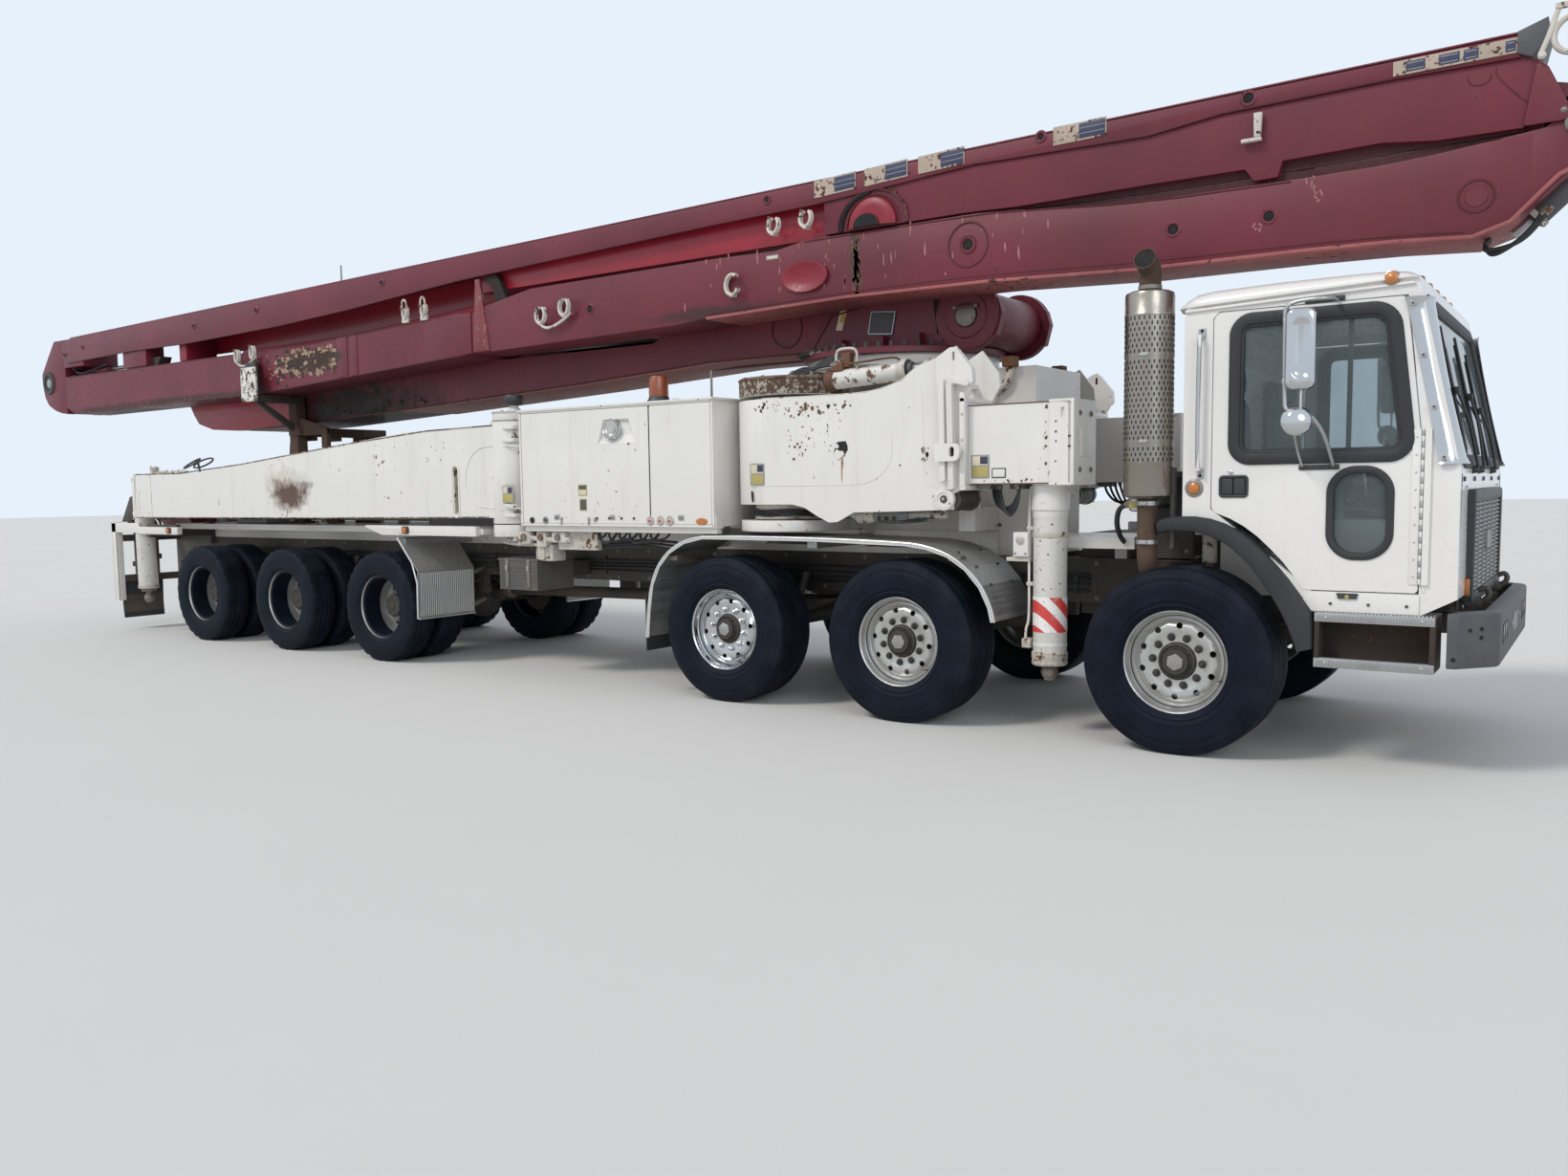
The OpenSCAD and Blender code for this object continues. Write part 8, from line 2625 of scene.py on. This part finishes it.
def canister(p):
    """Canister with a plain label, and the hoses beside it."""
    p.lathe([(0.0, 1.404), (0.05, 1.404), (0.066, 1.412), (0.067, 1.48), (0.062, 1.49), (0.03, 1.494),
        (0.0, 1.494)], (-0.256, -1.07, 0), UP, "steel", 36)
    strap(p, (-0.256, -1.07, 1.446), UP, 0.067, 0.04, "yellow", 0.0012)
    p.box(-0.31, -0.2, -1.02, -0.66, 1.42, 1.44, "frame_black", 0.004)
    hose(p, [(-0.256, -1.07, 1.404), (-0.256, -1.07, 1.33), (-0.27, -1.04, 1.24), (-0.3, -0.95, 1.18),
        (-0.32, -0.8, 1.16)], 0.014)
    hose(p, [(-0.32, -1.06, 1.45), (-0.4, -1.04, 1.43), (-0.43, -1.0, 1.32), (-0.42, -0.92, 1.22),
        (-0.4, -0.8, 1.18)], 0.016)
    p.box(-0.06, -0.036, -1.15, -1.1, 1.19, 1.66, "frame_black", 0.005)
    p.rod((0.1, -0.9, 1.1), (0.1, -0.9, 1.27), 0.042, "dirty_white", 28)
    p.rod((0.1, -0.9, 1.03), (0.1, -0.9, 1.1), 0.02, "worn_steel", 16)


def exhaust():
    """Upright silencer behind the cab with its shield and pipes."""
    p = Piece("exhaust", "chassis")
    p.lathe([(0.0, 1.482), (0.06, 1.482), (0.11, 1.486), (0.134, 1.497), (0.139, 1.512), (0.139, 1.68),
        (0.1415, 1.684), (0.1415, 1.69), (0.138, 1.692), (0.138, 2.522), (0.1415, 2.524),
        (0.1415, 2.532), (0.139, 2.536), (0.139, 2.64), (0.134, 2.656), (0.112, 2.666), (0.0, 2.668)],
        (STACK_X, STACK_Y, 0), UP, "stainless", 64)
    for z in STACK_BANDS:
        strap(p, (STACK_X, STACK_Y, z), UP, 0.137, 0.02, "stainless", 0.0035)
        a = Vector((STACK_X + 0.02, STACK_Y - 0.142, z))
        p.box(a.x - 0.018, a.x + 0.018, a.y - 0.008, a.y + 0.004, z - 0.009, z + 0.009, "steel", 0.002)
        p.rod((a.x - 0.026, a.y - 0.004, z), (a.x + 0.026, a.y - 0.004, z), 0.004, "steel", 8)
    heat_shield(p)
    exhaust_mouth(p)
    exhaust_foot(p)
    canister(p)
    p.done(("exhaust_stack",))


exhaust()


def boom_rest():
    """Rusty frame on the deck and the pad that the boom lies against."""
    p = Piece("rest_frame", "chassis")
    for y0, y1 in ((-0.5, -0.38), (0.4, 0.52)):
        p.box(-9.85, -9.7, y0, y1, 1.2505, 2.201, "deep_rust", 0.008)
        p.box(-9.88, -9.67, y0 - 0.02, y1 + 0.02, 1.2505, 1.27, "deep_rust", 0.004)
        for x in (-9.865, -9.685):
            for q in (y0 - 0.008, y1 + 0.008):
                p.bolt((x, q, 1.27), UP, 0.012, 0.01, "worn_steel")
    p.box(-9.85, -9.65, -0.51, 0.6, 2.2, 2.29, "deep_rust", 0.01)
    for y in (-0.3, 0.0, 0.3):
        p.box(-9.855, -9.645, y - 0.006, y + 0.006, 2.15, 2.29, "rust", 0.002)
    for y0, y1 in ((-0.48, -0.4), (0.42, 0.5)):
        p.slab([(-9.701, 1.7), (-9.25, 1.2505), (-9.13, 1.2505), (-9.701, 1.83)], y0, y1, "deep_rust",
            0.006)
    p.box(-9.84, -9.71, -0.96, -0.385, 2.548, 2.616, "frame_black", 0.008)
    p.box(-9.845, -9.705, -0.5, -0.385, 2.2, 2.56, "deep_rust", 0.008)
    p.slab([(-0.93, 2.548), (-0.84, 2.548), (-0.5, 2.33), (-0.5, 2.25)], -9.8, -9.75, "frame_black",
        0.005, "yz")
    p.slab([(-9.705, 2.4), (-9.705, 2.2), (-9.2, 2.2), (-9.2, 2.27)], -0.47, -0.44, "deep_rust", 0.005)
    p.box(-9.3, -9.2, -0.48, -0.43, 2.05, 2.27, "deep_rust", 0.006)
    # pad that the boom lies against: chipped plate with a rubber face and bolts
    pad = rect(-9.89, -9.61, 2.545, 2.9)
    p.slab(rounded(pad, [0.03, 0.02, 0.02, 0.03], 3), -1.01, -0.99, "peeling", 0.003)
    p.slab(rounded(rect(-9.87, -9.63, 2.57, 2.88), 0.012, 3), -0.995, -0.952, "rubber", 0.006)
    p.box(-9.9, -9.7, -0.951, -0.908, 2.7, 2.96, "frame_black", 0.008)
    for x, z in ((-9.86, 2.87), (-9.64, 2.87), (-9.86, 2.575), (-9.64, 2.575)):
        p.bolt((x, -1.01, z), OUT, 0.012, 0.009, "worn_steel")
    flakes(p, 40, -9.88, -9.62, 2.56, 2.89, -1.0105, 0.004, 0.02, "chip")
    for k in range(3):
        hose(p, [(-9.88, -0.45 + 0.04 * k, 2.24), (-9.95, -0.44 + 0.04 * k, 2.0),
            (-9.93, -0.44 + 0.04 * k, 1.6), (-9.9, -0.42 + 0.04 * k, 1.32)], 0.013)
    p.done(("boom_rest",))


boom_rest()


# Cab interior

def cushion(name, center, size, lean, grooves, crown=0.022):
    """A stuffed pad: crowned on its face, flat where it rests, sides drawn in between the corners."""
    wide, deep, tall = size
    turn = Matrix.Rotation(lean, 3, "Y")
    p = Piece(name, "chassis")
    n = 26

    def place(i, j, top):
        u = math.sin(math.pi / 2 * (2.0 * i / n - 1.0)) if i not in (0, n) else (-1.0 if i == 0 else 1.0)
        v = math.sin(math.pi / 2 * (2.0 * j / n - 1.0)) if j not in (0, n) else (-1.0 if j == 0 else 1.0)
        drawn_u = 1.0 - 0.045 * (1.0 - v * v) * u * u
        drawn_v = 1.0 - 0.045 * (1.0 - u * u) * v * v
        corner = 1.0 - 0.1 * (abs(u) * abs(v)) ** 6
        edge = (max(0.0, 1.0 - abs(u) ** 7) * max(0.0, 1.0 - abs(v) ** 7)) ** 0.42
        h = tall / 2 * edge
        if top:
            h += crown * (1.0 - u * u) * (1.0 - v * v)
            for g in grooves:
                h -= 0.01 * math.exp(-((v - g) / 0.045) ** 2) * edge
                h -= 0.006 * math.exp(-((abs(u) - 0.86) / 0.05) ** 2) * edge
        else:
            h = -min(h, tall * 0.46)
        q = turn @ Vector((deep / 2 * u * drawn_u * corner, wide / 2 * v * drawn_v * corner, h))
        return (center[0] + q.x, center[1] + q.y, center[2] + q.z)

    verts = []
    where = {}
    for top in (True, False):
        for i in range(n + 1):
            for j in range(n + 1):
                rim = i in (0, n) or j in (0, n)
                if rim and not top:
                    where[(i, j, False)] = where[(i, j, True)]
                    continue
                where[(i, j, top)] = len(verts)
                verts.append(place(i, j, top))
    faces = []
    for i in range(n):
        for j in range(n):
            a = [where[(i, j, True)], where[(i + 1, j, True)], where[(i + 1, j + 1, True)],
                where[(i, j + 1, True)]]
            b = [where[(i, j, False)], where[(i, j + 1, False)], where[(i + 1, j + 1, False)],
                where[(i + 1, j, False)]]
            faces += [a, b]
    p.add(verts, faces, "seat_cloth")
    obj = p.done(())[0]
    return obj


def dashboard(p):
    """Dashboard with a hooded top and a foot panel."""
    line = rounded([(1.355, 1.345), (1.36, 1.585), (1.33, 1.622), (1.235, 1.64), (1.12, 1.6),
        (1.085, 1.555), (1.105, 1.47), (1.15, 1.345)], [0, 0.02, 0.03, 0.04, 0.03, 0.03, 0.03, 0], 3)
    p.slab(line, -1.088, 1.088, "dash", 0.01)
    hood = rounded([(1.25, 1.63), (1.19, 1.672), (1.075, 1.65), (1.05, 1.56), (1.12, 1.54)], 0.02, 3)
    p.slab(hood, 0.42, 0.9, "dash", 0.012)
    for y in (0.52, 0.62, 0.71, 0.8):
        p.lathe([(0.04, 0.0), (0.042, 0.006), (0.036, 0.008), (0.034, 0.003), (0.0, 0.003)],
            (1.062, y, 1.605), (-0.96, 0, 0.26), "plastic", 24)
    for y in (-0.95, -0.55, 0.05, 0.3, 1.0):
        p.box(1.098, 1.112, y - 0.055, y + 0.055, 1.545, 1.59, "plastic", 0.004)
        for k in range(4):
            p.box(1.092, 1.1, y - 0.05, y + 0.05, 1.549 + 0.011 * k, 1.553 + 0.011 * k, "dash", 0.001)
    p.box(1.08, 1.12, -0.2, 0.2, 1.38, 1.53, "plastic", 0.008)
    for k in range(5):
        p.box(1.074, 1.084, -0.17 + 0.07 * k, -0.12 + 0.07 * k, 1.42, 1.45, "grey", 0.002)
    for k in range(3):
        p.lathe([(0.02, 0.0), (0.018, 0.016), (0.0, 0.018)], (1.08, -0.12 + 0.12 * k, 1.49), BACK,
            "plastic", 20)
    p.slab(rounded(rect(-0.95, -0.45, 1.4, 1.52), 0.012, 3), 1.108, 1.13, "plastic", 0.004, "yz")


def steering(p):
    """Steering wheel on its column."""
    lean = math.radians(-35)
    axis = Vector((math.sin(lean), 0.0, math.cos(lean)))
    mid = Vector((0.98, 0.66, 1.74))
    p.ring(mid, axis, 0.215, 0.016, "plastic", 56)
    p.lathe([(0.0, -0.02), (0.04, -0.02), (0.052, -0.008), (0.05, 0.01), (0.03, 0.02), (0.0, 0.022)],
        mid, axis, "plastic", 32)
    along = axis.cross(Vector(LEFT))
    for t in (20, 160, 270):
        d = Vector(LEFT) * math.cos(math.radians(t)) + along * math.sin(math.radians(t))
        p.rod(mid + d * 0.035, mid + d * 0.208, 0.013, "plastic", 12)
    p.rod(mid - axis * 0.012, mid - axis * 0.215, 0.028, "plastic", 20)
    p.rod(mid - axis * 0.05 + Vector((0, 0.02, 0)), mid - axis * 0.06 + Vector((0, 0.17, 0.01)), 0.008,
        "plastic", 10)


def seats(p):
    """Seat bases, back shells, slides and belts, and the lever between the seats."""
    for s in BOTH:
        a, b = span(s, 0.88, 0.44)
        p.box(0.23, 0.64, a, b, 1.3405, 1.42, "dash", 0.012)
        p.box(0.26, 0.6, a + 0.03, b - 0.03, 1.415, 1.5, "plastic", 0.01)
        for k in range(4):
            z = 1.425 + 0.017 * k
            p.box(0.25, 0.61, a + 0.02, b - 0.02, z, z + 0.007, "rubber", 0.003)
        p.box(0.15, 0.655, a, b, 1.495, 1.512, "dash", 0.006)
        p.slab(rounded([(0.085, 1.6), (0.12, 1.6), (0.118, 2.24), (0.088, 2.24)], 0.012, 3), a, b,
            "dash", 0.01)
        p.tube([(0.1, s * 0.93, 2.2), (0.12, s * 0.935, 1.9), (0.18, s * 0.935, 1.66),
            (0.3, s * 0.93, 1.53)], 0.009, "plastic", 8, 2)
        p.box(0.4, 0.6, s * 0.4 - 0.012, s * 0.4 + 0.012, 1.6, 1.64, "plastic", 0.008)
    p.box(0.45, 0.95, -0.14, 0.14, 1.3405, 1.4, "dash", 0.02)
    p.rod((0.78, 0.12, 1.38), (0.74, 0.12, 1.66), 0.009, "steel", 12)
    p.lathe([(0.0, -0.025), (0.018, -0.02), (0.024, 0.0), (0.018, 0.022), (0.0, 0.026)],
        (0.738, 0.12, 1.675), UP, "plastic", 20)


def interior():
    """What shows through the cab's windows."""
    p = Piece("cab_inside", "chassis")
    dashboard(p)
    steering(p)
    seats(p)
    p.done(("cab_interior",))
    for side, s in (("r", -1), ("l", 1)):
        cushion("seat_pad_" + side, (0.405, s * 0.66, 1.565), (0.5, 0.53, 0.105), 0.0, (-0.55, 0.55))
        cushion("back_pad_" + side, (0.168, s * 0.66, 1.85), (0.47, 0.46, 0.09), math.radians(87),
            (-0.55, 0.55))
        cushion("head_pad_" + side, (0.16, s * 0.66, 2.165), (0.3, 0.14, 0.08), math.radians(88), (),
            0.012)


interior()


# Lids on the front posts, tanks beside the frame, pump and hopper details

def post_tops():
    """Lids of the front outriggers' posts."""
    p = Piece("post_lid", "chassis", mirror=True)
    c = POST
    p.lathe([(0.4, 2.336), (0.41, 2.341), (0.41, 2.352), (0.4, 2.358), (0.385, 2.356), (0.372, 2.35),
        (0.18, 2.353), (0.0, 2.354)], c, UP, "crust", 64)
    p.lathe([(0.398, 2.228), (0.4045, 2.232), (0.4045, 2.338)], c, UP, "edge_grime", 64)
    for dy, dx in spokes(12, 0.388):
        p.bolt((c[0] + dx, c[1] + dy, 2.356), UP, 0.012, 0.008, "worn_steel")
    for k in range(40):
        a = 2 * math.pi * random.random()
        r = 0.36 * math.sqrt(random.random())
        s = 0.006 + 0.014 * random.random()
        p.lathe([(0.0, 0.006), (s * 0.7, 0.005), (s, 0.0)], (c[0] + r * math.cos(a),
            c[1] + r * math.sin(a), 2.351), UP, "deep_rust" if k % 3 else "crust", 7)
    p.done(())


def low_parts():
    """Driveline, springs, air lines and bolts of the frame."""
    p = Piece("under_frame", "chassis")
    # driveline
    for x0, x1 in ((-2.6, -6.95), (-7.8, -8.55), (-9.35, -10.1)):
        p.rod((x0, 0, 0.66), (x1, 0, 0.6), 0.052, "frame_black", 24)
        for x, z in ((x0, 0.66), (x1, 0.6)):
            p.lathe([(0.052, -0.05), (0.085, -0.03), (0.085, 0.03), (0.052, 0.05)], (x, 0, z), FORE,
                "worn_steel", 24)
    # leaf packs with shackles and clamp bolts
    for _, x in AXLES:
        for s in BOTH:
            y = s * (0.49 if x > -2.0 else 0.53)
            for k in range(6):
                half = (0.36 if x > -2.0 else 0.56) - 0.045 * k
                z = 0.7 - 0.013 * k
                line = [(x - half, z + 0.035 * (half / 0.56) ** 2), (x - half / 2, z + 0.01), (x, z),
                    (x + half / 2, z + 0.01), (x + half, z + 0.035 * (half / 0.56) ** 2)]
                low = [(q[0], q[1] - 0.011) for q in reversed(line)]
                p.slab(line + low, y - 0.04, y + 0.04, "frame_black", 0.002)
            for q in (-0.07, 0.07):
                for side in (-0.048, 0.048):
                    p.rod((x + q, y + side, 0.6), (x + q, y + side, 0.725), 0.01, "worn_steel", 10)
            p.box(x - 0.1, x + 0.1, y - 0.06, y + 0.06, 0.702, 0.72, "frame_black", 0.004)
            if x < -2.0:
                p.rod((x + 0.2, s * 0.62, 0.56), (x + 0.3, s * 0.56, 0.93), 0.03, "frame_black", 18)
    # air lines and cable bundle on the rails
    for s in BOTH:
        for k in range(4):
            z = 0.86 + 0.035 * k
            pts = [(-0.8 - 0.9 * j, s * (0.438 + 0.006 * (k % 2)), z + 0.012 * math.sin(j * 1.7 + k))
                for j in range(12)]
            p.tube(pts, 0.01, "rubber", 6, 2)
        for j in range(14):
            x = -0.9 - 0.72 * j
            p.box(x - 0.012, x + 0.012, s * 0.432 - 0.016, s * 0.432 + 0.016, 0.84, 0.99, "plastic",
                0.003)
        for j in range(30):
            x = -0.4 - 0.36 * j
            p.bolt((x, s * 0.431, 0.815), (0, s, 0), 0.012, 0.008, "worn_steel")
            p.bolt((x, s * 0.431, 1.045), (0, s, 0), 0.012, 0.008, "worn_steel")
    p.done(())


def tanks():
    """Battery box and tanks beside the frame."""
    p = Piece("tank_detail", "chassis")
    # battery box: lid, latch straps, step ribs
    p.box(-5.775, -5.285, -1.186, -0.755, 0.985, 1.004, "tank_grey", 0.006)
    for x in (-5.66, -5.4):
        p.box(x - 0.018, x + 0.018, -1.19, -1.178, 0.76, 1.0, "worn_steel", 0.003)
        p.box(x - 0.012, x + 0.012, -1.198, -1.186, 0.9, 0.945, "steel", 0.003)
    for k in range(6):
        z = 0.775 + 0.03 * k
        p.box(-5.745, -5.315, -1.184, -1.176, z, z + 0.01, "tank_grey", 0.003)
    # fuel tank: straps, cap, steps
    for x in (-5.75, -5.15, -4.55):
        line = rounded(rect(0.552, 1.158, 0.552, 1.108), 0.06, 4)
        p.slab(outward(line, 0.003), x - 0.026, x + 0.026, "steel", 0.001, "yz")
    p.lathe([(0.06, 0.0), (0.06, 0.02), (0.048, 0.034), (0.0, 0.036)], (-5.45, 0.9, 1.1), UP, "cast", 28)
    for z in (0.7, 0.93):
        p.box(-5.1, -4.6, 1.15, 1.159, z, z + 0.03, "tread", 0.004)
    for x in (-0.48, -0.2):
        strap(p, (x, 0.78, 1.165), FORE, 0.0855, 0.03, "steel", 0.003)
    p.done(())


def pump_parts():
    """Tie rods, clamps and hoses of the pump."""
    p = Piece("pump_detail", "chassis")
    for s in BOTH:
        y = s * 0.21
        for x in (-11.45, -10.6, -9.7, -8.8, -7.75):
            strap(p, (x, y, 1.43), FORE, 0.15, 0.06, "worn_steel", 0.008)
        for t in range(4):
            a = math.radians(45 + 90 * t)
            p.rod((-11.48, y + 0.185 * math.cos(a), 1.43 + 0.185 * math.sin(a)),
                (-7.62, y + 0.185 * math.cos(a), 1.43 + 0.185 * math.sin(a)), 0.016, "worn_steel", 10)
        for x in (-11.47, -7.64):
            p.slab(rounded(rect(y - 0.2, y + 0.2, 1.24, 1.62), 0.03, 3), x - 0.02, x + 0.02, "grey",
                0.004, "yz")
    p.box(-7.66, -6.64, -0.425, 0.425, 1.672, 1.69, "grey", 0.006)
    for k in range(5):
        p.rod((-7.5 + 0.18 * k, -0.3, 1.69), (-7.5 + 0.18 * k, -0.3, 1.74), 0.034, "cast", 20)
        hose(p, [(-7.5 + 0.18 * k, -0.3, 1.74), (-7.48 + 0.18 * k, -0.28, 1.8),
            (-7.36 + 0.18 * k, -0.1, 1.82), (-7.3 + 0.18 * k, 0.1, 1.78), (-7.3 + 0.18 * k, 0.18, 1.7)],
            0.016)
    p.done(())


def hopper_parts():
    """Mixing shaft and rim bolts of the hopper."""
    p = Piece("hopper_detail", "chassis")
    # mixing shaft with paddles inside, rim bolts
    p.rod((-12.1, -0.82, 1.32), (-12.1, 0.82, 1.32), 0.032, "rust", 20)
    for k in range(6):
        y = -0.62 + 0.25 * k
        a = math.radians(60 * k)
        d = Vector((math.cos(a), 0, math.sin(a)))
        c = Vector((-12.1, y, 1.32))
        p.rod(c, c + d * 0.2, 0.018, "rust", 12)
        q = c + d * 0.2
        p.box(q.x - 0.05, q.x + 0.05, q.y - 0.07, q.y + 0.07, q.z - 0.012, q.z + 0.012, "rust", 0.004)
    for s in BOTH:
        for k in range(7):
            p.bolt((-12.45 + 0.11 * k, s * 0.9, 1.776), UP, 0.01, 0.008, "worn_steel")
    p.done(())


def front_bits():
    """Small lamp box beside the jack and the bent pipe with a rusty cap behind the front outrigger."""
    p = Piece("front_bits", "chassis", mirror=True)
    p.box(-1.055, -0.955, -1.11, -1.01, 1.12, 1.275, "white", 0.008)
    p.lathe([(0.026, 0.0), (0.026, 0.008), (0.02, 0.012), (0.0, 0.013)], (-1.005, -1.11, 1.225), OUT,
        "pale_lens", 20)
    for x in (-1.04, -0.97):
        p.bolt((x, -1.11, 1.14), OUT, 0.007, 0.005, "worn_steel", False)
    p.box(-1.11, -0.955, -1.09, -0.76, 1.09, 1.116, "dirty_white", 0.005)
    p.box(-1.1, -1.06, -0.8, -0.4, 1.084, 1.11, "frame_black", 0.004)
    p.tube([(-1.52, -0.43, 2.17), (-1.5, -0.43, 2.215), (-1.43, -0.43, 2.25), (-1.39, -0.43, 2.31),
        (-1.385, -0.43, 2.38)], 0.03, "dirty_white", 16, 3)
    p.box(-1.43, -1.34, -0.475, -0.385, 2.375, 2.445, "rust", 0.008)
    p.box(-1.56, -1.48, -0.47, -0.39, 2.13, 2.18, "dirty_white", 0.006)
    p.done(())


post_tops()
front_bits()
low_parts()
tanks()
pump_parts()
hopper_parts()


# Camera, light and floor

LENS_MM = 27.24
SENSOR_MM = 36.0
CAMERA_SPOT = (8.412, -8.047, 1.581)
FAR_CLIP = 400.0
FLOOR_REACH = 90.0


def stage():
    """Camera, floor, sky and two lamps."""
    yaw, pitch, roll = (math.radians(v) for v in (-35.32, -4.89, -0.78))
    ahead = Vector((-math.sin(-yaw) * math.cos(pitch), math.cos(yaw) * math.cos(pitch), math.sin(pitch)))
    right = Vector((math.cos(yaw), -math.sin(yaw), 0.0))
    up = right.cross(ahead)
    side = right * math.cos(roll) + up * math.sin(roll)
    top = up * math.cos(roll) - right * math.sin(roll)
    cam = bpy.data.objects.new("camera", bpy.data.cameras.new("camera"))
    cam.data.lens = LENS_MM
    cam.data.sensor_width = SENSOR_MM
    cam.data.clip_end = FAR_CLIP
    turn = Matrix((side, top, -ahead)).transposed().to_4x4()
    cam.matrix_world = Matrix.Translation(CAMERA_SPOT) @ turn
    scene.collection.objects.link(cam)
    scene.camera = cam

    bm = bmesh.new()
    bmesh.ops.create_grid(bm, x_segments=2, y_segments=2, size=FLOOR_REACH)
    mesh = bpy.data.meshes.new("floor")
    bm.to_mesh(mesh)
    bm.free()
    floor = bpy.data.objects.new("floor", mesh)
    n = Nodes("floor_paint")
    n.bump(n.noise(4.0, 3.0), 0.002)
    n.out(n.mix(n.noise(0.4, 3.0), (0.66, 0.65, 0.63), (0.7, 0.69, 0.67)), 0.8, 0.0)
    mesh.materials.append(n.mat)
    scene.collection.objects.link(floor)

    world = bpy.data.worlds.new("sky")
    scene.world = world
    world.use_nodes = True
    tree = world.node_tree
    back = tree.nodes["Background"]
    back.inputs["Color"].default_value = (0.86, 0.92, 1.0, 1.0)
    back.inputs["Strength"].default_value = 0.62
    seen = tree.nodes.new("ShaderNodeBackground")
    seen.inputs["Color"].default_value = (0.8, 0.88, 0.97, 1.0)
    seen.inputs["Strength"].default_value = 1.0
    path = tree.nodes.new("ShaderNodeLightPath")
    total = path.outputs["Is Camera Ray"]
    for name in ("Is Glossy Ray", "Is Transmission Ray"):
        node = tree.nodes.new("ShaderNodeMath")
        node.operation = "MAXIMUM"
        tree.links.new(total, node.inputs[0])
        tree.links.new(path.outputs[name], node.inputs[1])
        total = node.outputs[0]
    mix = tree.nodes.new("ShaderNodeMixShader")
    tree.links.new(total, mix.inputs[0])
    tree.links.new(back.outputs[0], mix.inputs[1])
    tree.links.new(seen.outputs[0], mix.inputs[2])
    tree.links.new(mix.outputs[0], tree.nodes["World Output"].inputs[0])

    for name, direction, strength, color, angle in (("key", (0.35, 0.62, -0.72), 1.5, (1.0, 0.97, 0.92),
            14.0), ("fill", (-0.55, 0.5, -0.35), 0.6, (0.92, 0.96, 1.0), 30.0)):
        lamp = bpy.data.lights.new(name, "SUN")
        lamp.energy = strength
        lamp.color = color
        lamp.angle = math.radians(angle)
        obj = bpy.data.objects.new(name, lamp)
        obj.rotation_euler = Vector(direction).to_track_quat("-Z", "Y").to_euler()
        scene.collection.objects.link(obj)


stage()
scene.view_settings.view_transform = "Standard"
